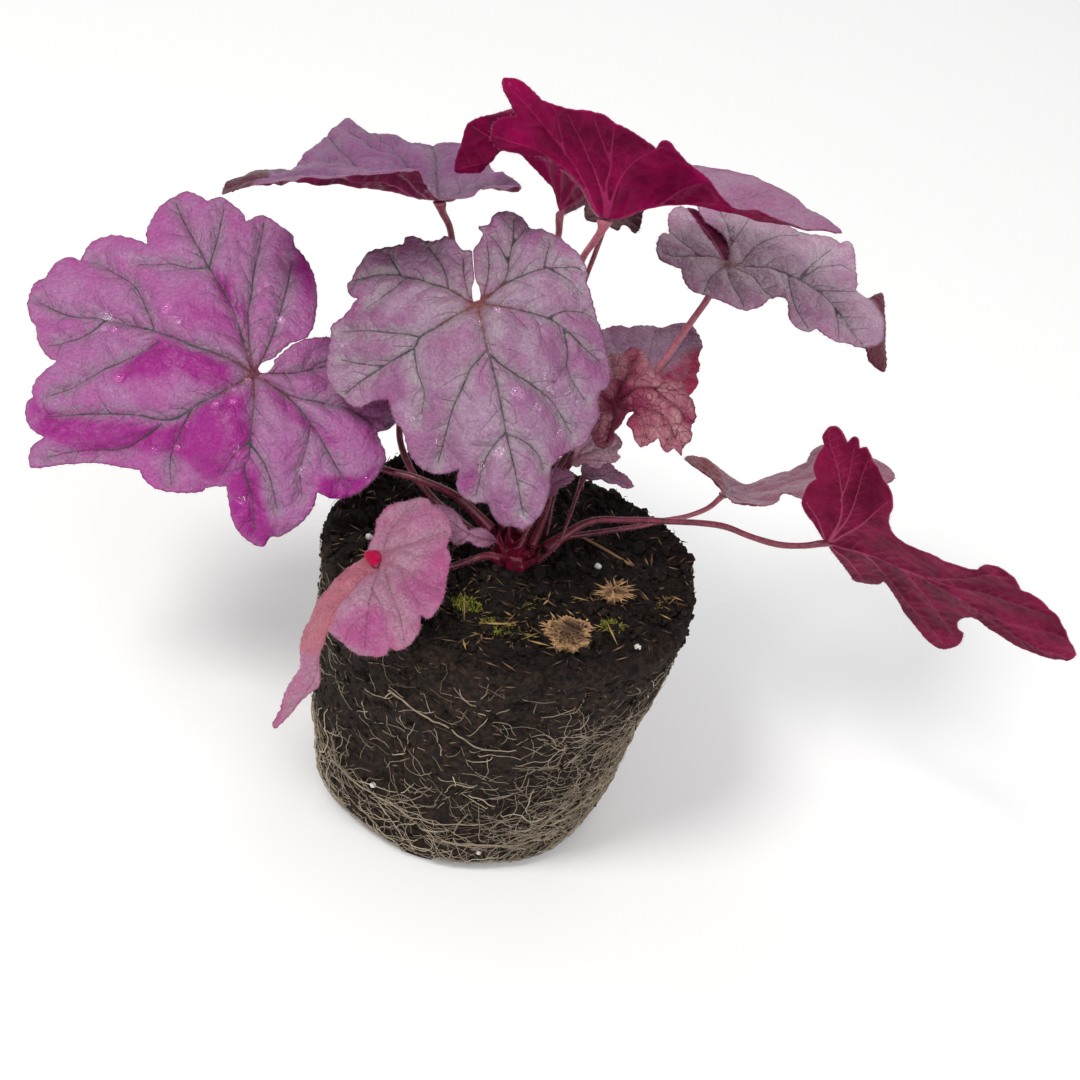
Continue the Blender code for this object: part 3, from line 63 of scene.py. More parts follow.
# ---------------------------------------------------------------- layout view
# Blades and stalks are laid out as seen in one fixed three-quarter view: two
# picture coordinates (in a 1080 x 1080 frame) and a depth in mm towards the
# viewer, measured from the crown.  world() turns such a triple into mm.
BALL_H = 92.0                      # root ball, base to soil surface
VIEW_TILT = radians(34.0)          # the view looks down by this much
VIEW_ROLL = radians(16.0)
FOCAL = 1875.0                     # in picture units
VIEW_DIST = 600.0                  # mm from the eye to the crown
CROWN_AT = (512.0, 556.0)
_UP0 = np.array([0.0, sin(VIEW_TILT), cos(VIEW_TILT)])
FWD = np.array([0.0, cos(VIEW_TILT), -sin(VIEW_TILT)])
RIGHT = cos(VIEW_ROLL) * np.array([1.0, 0, 0]) + sin(VIEW_ROLL) * _UP0
UPV = -sin(VIEW_ROLL) * np.array([1.0, 0, 0]) + cos(VIEW_ROLL) * _UP0
CROWN = np.array([0.0, 0.0, BALL_H])
EYE = CROWN - (((CROWN_AT[0] - 540) / FOCAL) * VIEW_DIST * RIGHT
               - ((CROWN_AT[1] - 540) / FOCAL) * VIEW_DIST * UPV + VIEW_DIST * FWD)


def world(px, py, d):
    px, py, d = (np.asarray(a, float) for a in (px, py, d))
    z = VIEW_DIST - d
    return (EYE + z[..., None] * FWD + ((px - 540) / FOCAL * z)[..., None] * RIGHT
            - ((py - 540) / FOCAL * z)[..., None] * UPV)


def seen(p):
    q = np.asarray(p, float) - EYE
    z = q @ FWD
    return 540 + FOCAL * (q @ RIGHT) / z, 540 - FOCAL * (q @ UPV) / z, VIEW_DIST - z


# ---------------------------------------------------------------- small tools
def _kernel(r2):
    return np.where(r2 > 1e-12, 0.5 * r2 * np.log(np.maximum(r2, 1e-300)), 0.0)


class Warp:
    """A thin-plate spline from 2D points to vectors."""

    def __init__(self, src, dst, relax=0.002):
        src, dst = np.asarray(src, float), np.asarray(dst, float)
        self.c, self.s = src.mean(0), max(src.std(), 1e-6)
        p = (src - self.c) / self.s
        n = len(p)
        a = np.zeros((n + 3, n + 3))
        a[:n, :n] = _kernel(((p[:, None] - p[None]) ** 2).sum(-1)) + relax * np.eye(n)
        a[:n, n] = a[n, :n] = 1
        a[:n, n + 1:] = p
        a[n + 1:, :n] = p.T
        b = np.zeros((n + 3, dst.shape[1]))
        b[:n] = dst
        self.w, self.p = np.linalg.solve(a, b), p

    def __call__(self, q):
        q = (np.asarray(q, float) - self.c) / self.s
        k = _kernel(((q[:, None] - self.p[None]) ** 2).sum(-1))
        return np.hstack([k, np.ones((len(q), 1)), q]) @ self.w


def spline(points, per=6, closed=False):
    """Catmull-Rom through points of any dimension; per samples a span."""
    p = np.asarray(points, float)
    n = len(p)
    out = []
    for i in range(n if closed else n - 1):
        if closed:
            a, b, c, d = p[(i - 1) % n], p[i], p[(i + 1) % n], p[(i + 2) % n]
        else:
            b, c = p[i], p[i + 1]
            a = p[i - 1] if i else 2 * b - c
            d = p[i + 2] if i + 2 < n else 2 * c - b
        for t in np.arange(per) / per:
            out.append(0.5 * ((2 * b) + (c - a) * t + (2 * a - 5 * b + 4 * c - d) * t * t
                              + (3 * b - a - 3 * c + d) * t ** 3))
    if not closed:
        out.append(p[-1])
    return np.array(out)


def margin(points, per):
    """The closed edge of a blade: smooth between corners, which carry a third value 1."""
    pts = [(q[0], q[1]) for q in points]
    sharp = [len(q) > 2 and q[2] == 1 for q in points]
    n = len(pts)
    out = []
    for i in range(n):
        b, c = np.array(pts[i], float), np.array(pts[(i + 1) % n], float)
        a = 2 * b - c if sharp[i] else np.array(pts[i - 1], float)
        d = 2 * c - b if sharp[(i + 1) % n] else np.array(pts[(i + 2) % n], float)
        if sharp[i]:
            a = b + (b - c) * 0.3 + (c - d) * 0.35
        if sharp[(i + 1) % n]:
            d = c + (c - b) * 0.3 + (b - a) * 0.35
        k = max(1, int(per)) if per >= 1 else 1
        for t in np.arange(k) / k:
            out.append(0.5 * ((2 * b) + (c - a) * t + (2 * a - 5 * b + 4 * c - d) * t * t
                              + (3 * b - a - 3 * c + d) * t ** 3))
    return np.array(out)


def inside(poly, q, block=2000):
    """Whether each q lies inside a closed polygon."""
    x0, y0 = np.asarray(poly, float).T
    x1, y1 = np.roll(x0, -1), np.roll(y0, -1)
    slope = (x1 - x0) / np.where(y1 == y0, 1.0, y1 - y0)
    hit = np.zeros(len(q), bool)
    for i in range(0, len(q), block):
        x, y = q[i:i + block, 0, None], q[i:i + block, 1, None]
        cross = ((y0 > y) != (y1 > y)) & (x < slope * (y - y0) + x0)
        hit[i:i + block] = cross.sum(1) % 2 == 1
    return hit


def seg_dist(q, a, b):
    """Distance from each q to each segment a-b (any dimension), and how far along."""
    ab = b - a
    l2 = np.maximum((ab ** 2).sum(-1), 1e-12)
    t = np.clip(((q[:, None] - a[None]) * ab[None]).sum(-1) / l2[None], 0, 1)
    near = a[None] + t[..., None] * ab[None]
    return np.sqrt(((q[:, None] - near) ** 2).sum(-1)), t


def gap_to(q, a, b):
    """Distance from each q to each segment a-b, in any dimension."""
    c = q.mean(0)
    q, a, b = q - c, a - c, b - c
    ab = b - a
    l2 = np.maximum((ab ** 2).sum(1), 1e-12)
    along = q @ ab.T - (a * ab).sum(1)
    t = np.clip(along / l2, 0, 1)
    d2 = (a ** 2).sum(1) + (q ** 2).sum(1)[:, None] - 2 * (q @ a.T)
    return np.sqrt(np.maximum(d2 - t * (2 * along - t * l2), 0))


def min_dist(q, a, b, block=1000):
    out = np.empty(len(q))
    for i in range(0, len(q), block):
        out[i:i + block] = gap_to(q[i:i + block], a, b).min(1)
    return out


# ---------------------------------------------------------------- blades
def lay_out(leaf):
    """A leaf that faces the view: its pattern is its outline there, and its depth a
    thin-plate sheet through a few points."""
    pts = [tuple(q) for q in leaf["depth"]]
    src = [(q[0], -q[1]) for q in pts]
    dst = [q[:3] for q in pts]
    for u_, v_, px, py, d in leaf.get("also", ()):
        src.append((u_, -v_))
        dst.append((px, py, d))
    leaf["warp"] = Warp(src, dst)
    leaf["edge"] = [(q[0], -q[1]) + tuple(q[2:]) for q in leaf["out"]]
    leaf["veins"] = [([(x, -y) for x, y in line], w) for line, w in leaf.get("lines", ())]
    leaf["origin"] = (leaf["base"][0], -leaf["base"][1])


def lay(leaf, uv):
    """Flat pattern points to mm."""
    q = leaf["warp"](np.asarray(uv, float))
    return world(q[:, 0], q[:, 1], q[:, 2])


def pitch(leaf):
    """mm of blade for one unit of the flat pattern, along each of its axes."""
    o = np.array(leaf["origin"])
    c = np.array([(q[0], q[1]) for q in leaf["edge"]]).mean(0) * 0.6 + o * 0.4
    e = 1.0
    p = lay(leaf, [c, c + (e, 0), c + (0, e)])
    return np.linalg.norm(p[1] - p[0]) / e, np.linalg.norm(p[2] - p[0]) / e


def grow(leaf, step, per, veins=True, thin=False):
    """Triangulates a blade's middle surface: (pattern points, triangles, mm points)."""
    pts = leaf["edge"]
    if thin:
        pts = [q for i, q in enumerate(pts) if len(q) > 2 or i % 2 == 0]
    poly = margin(pts, per)
    keep = np.hypot(*(poly - np.roll(poly, 1, 0)).T) > 1e-4
    poly = poly[keep]
    su, sv = pitch(leaf)
    cell = (step / su, step / sv)
    lo, hi = poly.min(0), poly.max(0)
    nu, nv = int((hi[0] - lo[0]) / cell[0]) + 2, int((hi[1] - lo[1]) / (cell[1] * 0.87)) + 2
    gu, gv = np.meshgrid(np.arange(nu), np.arange(nv))
    g = np.stack([lo[0] + (gu + 0.5 * (gv % 2)) * cell[0], lo[1] + gv * cell[1] * 0.87], -1).reshape(-1, 2)
    g = g[inside(poly, g)]
    scale = np.array([su, sv])
    ring_a, ring_b = poly * scale, np.roll(poly, -1, 0) * scale
    g = g[min_dist(g * scale, ring_a, ring_b) > step * 0.62]
    lines = []
    if veins:
        for line, w in leaf["veins"]:
            s = spline(line, 5) if len(line) > 2 else spline(line, 8)
            seg = np.hypot(*((s[1:] - s[:-1]) * scale).T)
            at = np.concatenate([[0], np.cumsum(seg)])
            k = max(2, int(at[-1] / (step * 0.9)) + 1)
            t = np.linspace(0, at[-1], k)
            s = np.stack([np.interp(t, at, s[:, 0]), np.interp(t, at, s[:, 1])], -1)
            ok = inside(poly, s) & (min_dist(s * scale, ring_a, ring_b) > step * 0.35)
            run = []
            for p, good in zip(s, ok):
                if good:
                    run.append(p)
                elif len(run) > 1:
                    lines.append(np.array(run))
                    run = []
                else:
                    run = []
            if len(run) > 1:
                lines.append(np.array(run))
        if lines:
            va = np.concatenate([l[:-1] for l in lines]) * scale
            vb = np.concatenate([l[1:] for l in lines]) * scale
            g = g[min_dist(g * scale, va, vb) > step * 0.45]
    verts = [tuple(p) for p in poly]
    edges = [(i, (i + 1) % len(poly)) for i in range(len(poly))]
    for l in lines:
        k = len(verts)
        verts += [tuple(p) for p in l]
        edges += [(k + i, k + i + 1) for i in range(len(l) - 1)]
    verts += [tuple(p) for p in g]
    v, e, f = delaunay_2d_cdt([Vector(p) for p in verts], edges, [], 1, 1e-5, False)[:3]
    uv = np.array([tuple(p) for p in v])
    tri = np.array([t for t in f if len(t) == 3], int)
    mid = uv[tri].mean(1)
    tri = tri[inside(poly, mid)]
    a = uv[tri]
    area = ((a[:, 1, 0] - a[:, 0, 0]) * (a[:, 2, 1] - a[:, 0, 1])
            - (a[:, 1, 1] - a[:, 0, 1]) * (a[:, 2, 0] - a[:, 0, 0]))
    tri[area < 0] = tri[area < 0][:, ::-1]
    tri = tri[np.abs(area) > 1e-9]
    used = np.unique(tri)
    back = np.full(len(uv), -1)
    back[used] = np.arange(len(used))
    uv, tri = uv[used], back[tri]
    return uv, tri, lay(leaf, uv)


def normals(p, tri):
    fn = np.cross(p[tri[:, 1]] - p[tri[:, 0]], p[tri[:, 2]] - p[tri[:, 0]])
    n = np.zeros_like(p)
    for k in range(3):
        np.add.at(n, tri[:, k], fn)
    return n / np.maximum(np.linalg.norm(n, axis=1, keepdims=True), 1e-12)


# ---------------------------------------------------------------- root ball
def lift(phi):
    """How far the soil's rim stands above its middle."""
    return 3.5 * np.cos(phi - 0.35) + 5.0 * np.exp(-((np.angle(np.exp(1j * (phi - 2.25)))) / 0.55) ** 2)


def ball_radius(phi, k):
    """Outer radius of the root ball at height share k, by angle."""
    r = 48.5 + 11.5 * k ** 0.9
    r = r + 1.2 * np.cos(2 * phi + 0.6) * k + 3.2 * k * np.exp(-((np.angle(np.exp(1j * (phi - 0.55)))) / 0.35) ** 2)
    return r + 0.7 * np.cos(5 * phi + 1.0) * k * (1 - k) * 2


def soil(phi, k):
    """Height of the soil surface at share k of the way from the middle to the rim."""
    return BALL_H + lift(phi) * k ** 1.6


def drop(px, py, z):
    """Where the view line through a picture point meets the level z."""
    a = world(px, py, 0.0)
    ray = a - EYE
    return EYE + ray * (z - EYE[2]) / ray[2]


# ---------------------------------------------------------------- the plant
# out is the edge as it faces the view (a third value 1 is a notch), depth
# the sheet it lies on, lines its main veins with their weight.
# also lists points of a flap that folds back: where they lie in the pattern, then in the view.
LEAVES = {
    "leaf_1": dict(
        seed=1, base=(253, 374),
        out=[(271, 361, 1), (288, 346), (304, 339.5), (313, 321), (316, 294), (311, 275), (304, 262),
             (294, 250, 1), (292, 238), (284, 230), (268, 218), (257, 216), (246, 224, 1), (242, 214),
             (233, 206), (220, 199), (208, 204, 1), (201, 199), (188, 194), (177, 198), (166, 204),
             (158, 211), (150, 223), (147, 235), (149, 246, 1), (139, 242), (118, 238), (107, 240),
             (91, 247), (81, 262, 1), (70, 260), (56, 268), (48, 281, 1), (38, 286), (32, 302), (31, 318),
             (37, 329, 1), (39, 343), (48, 357), (58, 362, 1), (50, 367), (40, 377), (35, 390),
             (36, 397, 1), (29, 402), (28, 417), (34, 431), (46, 439, 1), (35, 447), (31, 463), (37, 470),
             (67, 465), (94, 463), (118, 466), (142, 469, 1), (147, 481), (161, 491), (185, 494),
             (201, 492), (206, 487, 1), (218, 486), (228, 486, 1), (229, 500), (233, 522), (243, 536),
             (256, 544), (264, 543), (270, 535, 1), (281, 535), (300, 522), (313, 506), (317, 492, 1),
             (332, 498), (351, 495), (370, 481), (380, 468), (383, 455), (376, 433, 1), (389, 429),
             (395, 417), (393, 398), (386, 376), (370, 356), (350, 343), (332, 338.5), (305.5, 340.8),
             (289, 348), (272.5, 362.5, 1), (273, 367), (266, 373), (258, 371), (262, 363)],
        depth=[(253, 374, 24), (201, 200, 4), (262, 224, 4), (305, 262, 7), (316, 300, 11), (168, 204, 2),
               (149, 246, 9), (118, 240, 5), (60, 268, 7), (33, 305, 12), (55, 362, 24), (30, 410, 20),
               (36, 468, 27), (100, 463, 25), (142, 469, 21), (190, 493, 25), (206, 487, 20), (233, 520, 24),
               (262, 543, 17), (283, 533, 17), (313, 505, 21), (350, 494, 18), (380, 468, 15),
               (380, 428, 16), (394, 410, 11), (335, 345, 10), (180, 330, 22), (120, 330, 16),
               (130, 410, 28), (230, 460, 29), (310, 440, 23), (240, 290, 17)],
        lines=[([(253, 374), (233, 310), (209, 267), (185, 224), (176, 204)], 1.0),
               ([(209, 267), (214, 250), (220, 228), (224, 210)], .5),
               ([(208, 267), (190, 268), (174, 264), (156, 266), (139, 266)], .45),
               ([(253, 374), (248, 321), (252, 290), (254, 272), (262, 235), (264, 222)], .9),
               ([(253, 374), (268, 347), (284, 299), (292, 262)], .7),
               ([(253, 374), (230, 358), (193, 345), (155, 331), (107, 321), (70, 315), (40, 304)], 1.0),
               ([(155, 331), (145, 306), (134, 286), (115, 274), (94, 262)], .55),
               ([(107, 321), (88, 334), (66, 342), (48, 345)], .45),
               ([(158, 342), (131, 358), (99, 372), (72, 388), (50, 396)], .5),
               ([(253, 374), (228, 388), (198, 404), (171, 420), (134, 415), (90, 414), (48, 417)], 1.0),
               ([(161, 425), (140, 440), (120, 449), (78, 451), (48, 458)], .55),
               ([(190, 412), (176, 440), (170, 462), (172, 484)], .5),
               ([(253, 374), (254, 401), (251, 430), (249, 455), (244, 471), (252, 497), (254, 528)], 1.0),
               ([(251, 445), (262, 460), (270, 478), (277, 508)], .5),
               ([(250, 440), (232, 458), (222, 474)], .4),
               ([(253, 374), (284, 393), (308, 420), (326, 448), (340, 474), (348, 488)], .9),
               ([(310, 424), (306, 448), (300, 470), (302, 496)], .45),
               ([(253, 374), (295, 396), (348, 409), (378, 430), (388, 424)], .75),
               ([(253, 374), (295, 372), (329, 366), (366, 372)], .7)]),
    "leaf_2": dict(
        seed=2, base=(477.4, 306),
        out=[(474.6, 253, 1), (483, 239), (479, 231), (489, 229), (495, 219), (506, 215.7), (515, 216),
             (524, 222), (533, 233), (544, 233, 1), (558, 238), (571, 248), (581, 259), (587, 273),
             (586, 284, 1), (591, 297), (598, 324), (605, 346), (609, 369), (607, 386), (598, 393, 1),
             (596, 404), (597, 415), (591, 429), (585, 442), (567, 451), (555, 458, 1), (549, 469),
             (547, 489), (543, 505), (535, 520), (524, 528), (513, 525), (502, 523), (493, 514),
             (489, 502, 1), (475, 502), (464, 494), (460, 482), (462, 467, 1), (453, 471), (442, 473),
             (430, 471), (417, 462), (409, 449), (405, 431, 1), (397, 422), (394, 410), (391, 400, 1),
             (375, 402), (357, 408), (343, 398), (335, 389), (330, 373), (330, 355), (333, 341, 1),
             (333, 328), (339, 322), (348, 315), (360, 300.5, 1), (352, 297), (348, 286), (355, 275),
             (368, 259), (386, 250), (404, 247, 1), (407, 239), (415, 237), (428, 242), (439, 243, 1),
             (446, 240), (453, 242), (462, 250), (471, 253, 1), (472.6, 266), (474, 280), (471.8, 290),
             (473, 300), (476.4, 304, 1), (479.5, 299), (480, 290), (476, 280), (474.8, 266)],
        depth=[(477, 306, 40), (515, 217, 20), (480, 233, 22), (474, 253, 27), (544, 234, 25), (575, 252, 31), (586, 280, 34),
               (608, 369, 28), (600, 410, 30), (572, 448, 30), (547, 489, 39), (524, 528, 37), (492, 512, 36),
               (462, 470, 34), (430, 470, 30), (404, 432, 34), (391, 402, 28), (345, 400, 25),
               (331, 360, 21), (350, 288, 20), (386, 250, 18), (407, 240, 19), (440, 243, 24),
               (430, 350, 38), (400, 320, 33), (540, 370, 41), (500, 420, 46), (515, 490, 44),
               (440, 290, 34), (530, 290, 36), (560, 330, 37)],
        lines=[([(477, 306), (480, 315), (486, 344), (493, 369), (502, 409), (506, 433), (512, 458), (518, 485), (523, 516)], 1.0),
               ([(506, 433), (495, 444), (486, 458), (480, 482), (476, 496)], .5),
               ([(506, 434), (522, 440), (536, 453), (543, 470)], .5),
               ([(487, 350), (479, 359), (471, 369), (462, 389), (453, 409), (446, 433), (438, 462)], .7),
               ([(488, 352), (498, 362), (511, 371), (533, 386), (553, 402), (562, 418), (572, 434)], .75),
               ([(477, 306), (466, 310), (444, 322), (419, 337), (413, 348), (398, 357), (384, 366), (355, 386), (346, 394)], .95),
               ([(419, 337), (405, 334), (393, 333), (368, 331), (342, 332)], .5),
               ([(414, 350), (417, 369), (422, 382), (424, 395), (420, 418)], .45),
               ([(384, 366), (362, 364), (342, 360)], .35),
               ([(477, 306), (466, 299), (448, 288), (430, 283), (406, 276), (388, 275), (368, 278), (354, 280)], .8),
               ([(406, 276), (396, 287), (384, 296), (368, 309)], .4),
               ([(402, 276), (394, 264), (388, 254)], .35),
               ([(448, 288), (446, 276), (440, 262), (428, 247)], .5),
               ([(477, 306), (468, 293), (464, 275), (463, 257)], .55),
               ([(477, 306), (486, 286), (489, 264), (487, 244)], .5),
               ([(477, 306), (492, 292), (506, 277), (509, 259), (513, 241), (514, 222)], .75),
               ([(508, 262), (500, 248), (491, 238)], .4),
               ([(512, 246), (520, 238), (526, 229)], .3),
               ([(477, 306), (484, 297), (504, 284), (524, 275), (544, 268), (569, 266), (583, 271)], .8),
               ([(544, 268), (546, 257), (550, 243)], .4),
               ([(548, 268), (560, 274), (570, 281), (582, 294)], .4),
               ([(477, 306), (489, 305), (511, 307), (533, 313), (551, 319), (567, 331), (580, 344), (600, 362)], .85),
               ([(548, 318), (556, 314), (567, 311), (585, 313), (594, 320)], .4),
               ([(563, 329), (567, 351), (568, 369), (576, 386), (584, 400)], .5)]),
    "leaf_3": dict(
        seed=3, base=(440, 203), fold=True,
        out=[(222, 194), (232, 184), (253, 173), (269, 169), (294, 167, 1), (306, 156), (319, 146), (335, 131),
             (349, 121), (358, 129, 1), (369, 135), (393, 139), (411, 146, 1), (430, 147), (457, 148), (476, 152),
             (487, 163, 1), (494, 172), (505, 178), (517, 183), (521, 189), (510, 198), (496, 195), (481, 189, 1),
             (471, 197), (456, 200), (447, 203), (440, 206, 1), (437, 220), (428, 238), (410, 250), (388, 248, 1),
             (368, 247), (345, 240), (322, 230, 1), (300, 222), (276, 212), (250, 204, 1), (236, 200)],
        depth=[(440, 203, 25), (418, 196, 30), (395, 190, 34), (361, 185, 38), (329, 180, 41), (276, 183, 46),
               (222, 194, 50), (253, 173, 28), (294, 167, 8), (349, 121, -24), (411, 146, -20), (457, 148, -14),
               (487, 164, 2), (521, 189, 36), (496, 195, 42), (471, 197, 36), (456, 200, 30), (395, 160, -2),
               (340, 158, 2), (440, 172, 6), (300, 177, 34), (480, 180, 18)],
        also=[(437, 220, 430, 189, 42), (428, 238, 419, 178, 55), (410, 250, 404, 171, 62), (388, 248, 388, 172, 65),
              (368, 247, 367, 175, 66), (345, 240, 345, 178.5, 65), (322, 230, 318, 178.5, 62), (300, 222, 298, 181, 60),
              (276, 212, 276, 184.5, 57), (250, 204, 250, 188, 54), (395, 215, 392, 181, 50), (345, 208, 345, 182, 52)],
        lines=[([(440, 203), (420, 182), (404, 160), (388, 146), (369, 136)], .9),
               ([(440, 203), (405, 184), (360, 168), (320, 162), (275, 172)], .9),
               ([(440, 203), (395, 192), (340, 181), (280, 184), (232, 193)], 1.0),
               ([(440, 203), (436, 180), (436, 160), (432, 148)], .7),
               ([(440, 203), (470, 184), (500, 185), (518, 188)], .8),
               ([(404, 160), (380, 152), (350, 132)], .5), ([(360, 168), (340, 150), (330, 138)], .45),
               ([(440, 203), (420, 222), (402, 240)], .8), ([(440, 203), (390, 212), (350, 232)], .8),
               ([(380, 190), (340, 200), (300, 216)], .6)]),
    "leaf_4": dict(
        seed=4, base=(559, 212), flip=True,
        out=[(469, 123), (480, 117), (492, 114), (510, 109, 1), (530, 105), (552, 108), (568, 114, 1), (586, 124),
             (600, 140), (605, 152, 1), (609, 166), (602, 190), (590, 203, 1), (576, 210), (562, 217, 1), (557, 204), (551, 187),
             (541, 175), (530, 163), (519, 154), (503, 152), (494, 159), (481, 174, 1), (467, 174), (455, 172),
             (457, 158), (461, 147), (463, 139, 1), (465, 130)],
        depth=[(559, 212, 22), (469, 123, 50), (455, 172, 40), (481, 174, 36), (492, 115, 48), (519, 154, 38),
               (541, 175, 31), (530, 106, 30), (586, 124, 6), (609, 166, -4), (602, 190, 0), (576, 210, 14),
               (530, 140, 36), (570, 165, 16), (551, 190, 27), (500, 140, 46)],
        lines=[([(559, 212), (540, 180), (510, 150), (472, 126)], .9), ([(559, 212), (540, 182), (505, 160), (460, 168)], .8),
               ([(559, 212), (546, 170), (528, 130), (512, 112)], .8), ([(559, 212), (560, 170), (560, 114)], .7),
               ([(559, 212), (576, 180), (592, 136)], .7), ([(559, 212), (582, 196), (604, 170)], .6)]),
    "leaf_5": dict(
        seed=5, base=(605, 222), flip=True, fold=True,
        out=[(842, 234), (823, 230), (794, 222), (761, 212, 1), (735, 204), (721, 192), (708, 180, 1), (689, 167), (677, 155),
             (668, 143), (660, 144), (656, 150, 1), (640, 138), (622, 126, 1), (598, 115), (574, 110, 1), (555, 104),
             (542, 100, 1), (530, 88), (518, 79), (503, 78), (503, 89), (508, 99), (516, 116, 1), (503, 117), (495, 121),
             (491, 131), (491, 141), (499, 151), (520, 154, 1), (542, 160), (560, 172), (579, 189), (590, 208), (600, 224, 1),
             (606, 238), (612, 258), (626, 280, 1), (645, 296), (668, 304), (692, 306, 1), (719, 303), (743, 296),
             (761, 287, 1), (778, 280), (793, 269), (806, 258, 1), (824, 247)],
        depth=[(605, 222, 45), (628, 214, 48), (654, 207, 50), (690, 204, 53), (720, 212, 53), (760, 225, 52), (800, 232, 50),
               (842, 234, 47), (794, 222, 54), (761, 212, 60), (735, 204, 66), (708, 180, 70), (668, 143, 76),
               (656, 150, 75), (622, 126, 78), (574, 110, 75), (518, 79, 64), (503, 79, 62), (516, 116, 62),
               (491, 136, 58), (520, 154, 57), (560, 172, 52), (590, 208, 47), (640, 180, 62), (590, 160, 62),
               (690, 185, 66), (548, 130, 66)],
        also=[(606, 238, 607, 212, 38), (612, 258, 616, 196, 30), (626, 280, 632, 182, 22), (645, 296, 650, 172, 16),
              (668, 304, 668, 167, 13), (692, 306, 692, 166, 11), (719, 303, 718, 171, 10), (743, 296, 743, 177, 12),
              (761, 287, 761, 184, 15), (793, 269, 791, 197, 24), (824, 247, 824, 217, 36), (680, 255, 684, 187, 30),
              (740, 255, 742, 198, 31), (790, 245, 790, 212, 38)],
        lines=[([(605, 222), (628, 213), (654, 206), (690, 204), (730, 214), (780, 228), (836, 233)], 1.0),
               ([(605, 222), (609, 205), (607, 181), (611, 167), (613, 146), (615, 126)], .9),
               ([(605, 222), (604, 190), (585, 146), (569, 114)], .8), ([(611, 160), (604, 142), (595, 120)], .5),
               ([(605, 222), (618, 180), (636, 160), (664, 147)], .85), ([(605, 222), (585, 180), (550, 130), (508, 84)], .8),
               ([(605, 222), (580, 182), (540, 150), (496, 136)], .7), ([(654, 207), (680, 190), (704, 182)], .6),
               ([(690, 204), (720, 200), (745, 209)], .5), ([(565, 152), (562, 134), (556, 108)], .45),
               ([(605, 222), (622, 250), (648, 288)], .8), ([(605, 222), (650, 240), (700, 290), (718, 300)], .9),
               ([(670, 240), (730, 250), (770, 276)], .7), ([(654, 236), (672, 262), (684, 298)], .5),
               ([(720, 240), (762, 244), (806, 252)], .5)]),
    "leaf_6": dict(
        seed=6, base=(727, 264),
        out=[(725, 262, 1), (712, 247), (697, 226), (686, 214), (675, 212), (668, 218), (667, 227),
             (669, 235, 1), (661, 236), (656, 247), (658, 258), (668, 266), (681, 269, 1), (683, 281),
             (692, 291), (705, 296), (717, 302, 1), (733, 310), (746, 311), (760, 308), (770, 299, 1),
             (779, 298), (787, 304), (788, 320), (796, 329), (807, 333), (815, 330, 1), (822, 337),
             (835, 343), (846, 343, 1), (856, 347), (864, 349), (868, 361), (877, 371), (881, 367),
             (882, 344), (881, 318), (880, 296), (868, 299), (856, 291, 1), (855, 275), (852, 253),
             (847, 242), (839, 248, 1), (830, 243), (820, 241), (809, 240, 1), (798, 235), (785, 227),
             (766, 218), (748, 206, 1), (730, 198), (712, 195), (698, 199), (695, 208), (704, 222),
             (721, 235), (728.5, 248), (728, 259, 1)],
        depth=[(727, 264, 0), (675, 212, -17), (667, 240, -4), (658, 256, 1), (684, 281, 8), (705, 295, 11),
               (733, 310, 14), (760, 308, 11), (770, 299, 8), (788, 318, 11), (807, 333, 11),
               (840, 343, 8), (864, 348, 5), (876, 325, 0), (880, 345, -7), (877, 370, -8), (881, 300, -10),
               (856, 291, -6), (852, 253, -22), (820, 242, -23), (798, 236, -22), (766, 219, -24),
               (712, 196, -24), (696, 205, -20), (720, 236, -9), (712, 247, -7), (790, 275, 0),
               (755, 245, -9), (820, 300, 4)],
        lines=[([(727, 265), (755, 266), (785, 274), (816, 290), (835, 307), (862, 344)], 1.0),
               ([(788, 277), (792, 299), (799, 314), (808, 328)], .55),
               ([(816, 290), (836, 291), (857, 292), (868, 300)], .5),
               ([(834, 306), (838, 322), (838, 340)], .4),
               ([(727, 265), (740, 262), (755, 247), (777, 237), (798, 237)], .7),
               ([(798, 281), (820, 268), (840, 265), (852, 272)], .6),
               ([(800, 277), (816, 262), (830, 252)], .4),
               ([(727, 265), (730, 280), (738, 294), (744, 308)], .7),
               ([(727, 265), (752, 276), (764, 290), (776, 300)], .5),
               ([(727, 265), (712, 276), (704, 292)], .6),
               ([(727, 265), (718, 258), (700, 256), (675, 257), (662, 252)], .7),
               ([(700, 256), (686, 246), (672, 234)], .4),
               ([(727, 265), (730, 240), (724, 218), (712, 200)], .6),
               ([(728, 250), (742, 230), (752, 214)], .5)]),
    "leaf_7": dict(
        seed=7, base=(724, 494),
        out=[(684, 461), (689, 457), (703, 459), (713, 465, 1), (722, 472), (734, 480), (746, 485), (762, 481, 1), (778, 475),
             (793, 470), (807, 463, 1), (814, 452), (829, 447), (845, 450, 1), (862, 455), (880, 462), (893, 472), (894, 480),
             (884, 486, 1), (865, 490), (845, 494), (825, 497, 1), (806, 501), (791, 495, 1), (782, 496), (775, 503),
             (762, 508), (747, 508, 1), (736, 506), (728, 499), (723, 495, 1), (720, 489), (714, 483), (707, 478, 1), (699, 473),
             (690, 467)],
        depth=[(724, 494, -15), (703, 459, -42), (722, 472, -48), (746, 485, -52), (778, 475, -55), (807, 463, -57),
               (829, 447, -58), (862, 455, -54), (893, 475, -42), (684, 460, -26), (699, 473, -14), (714, 483, -13),
               (747, 508, 12), (775, 503, 14), (806, 501, 10), (845, 494, -8), (865, 490, -20), (760, 495, -20),
               (820, 475, -32), (706, 470, -26)],
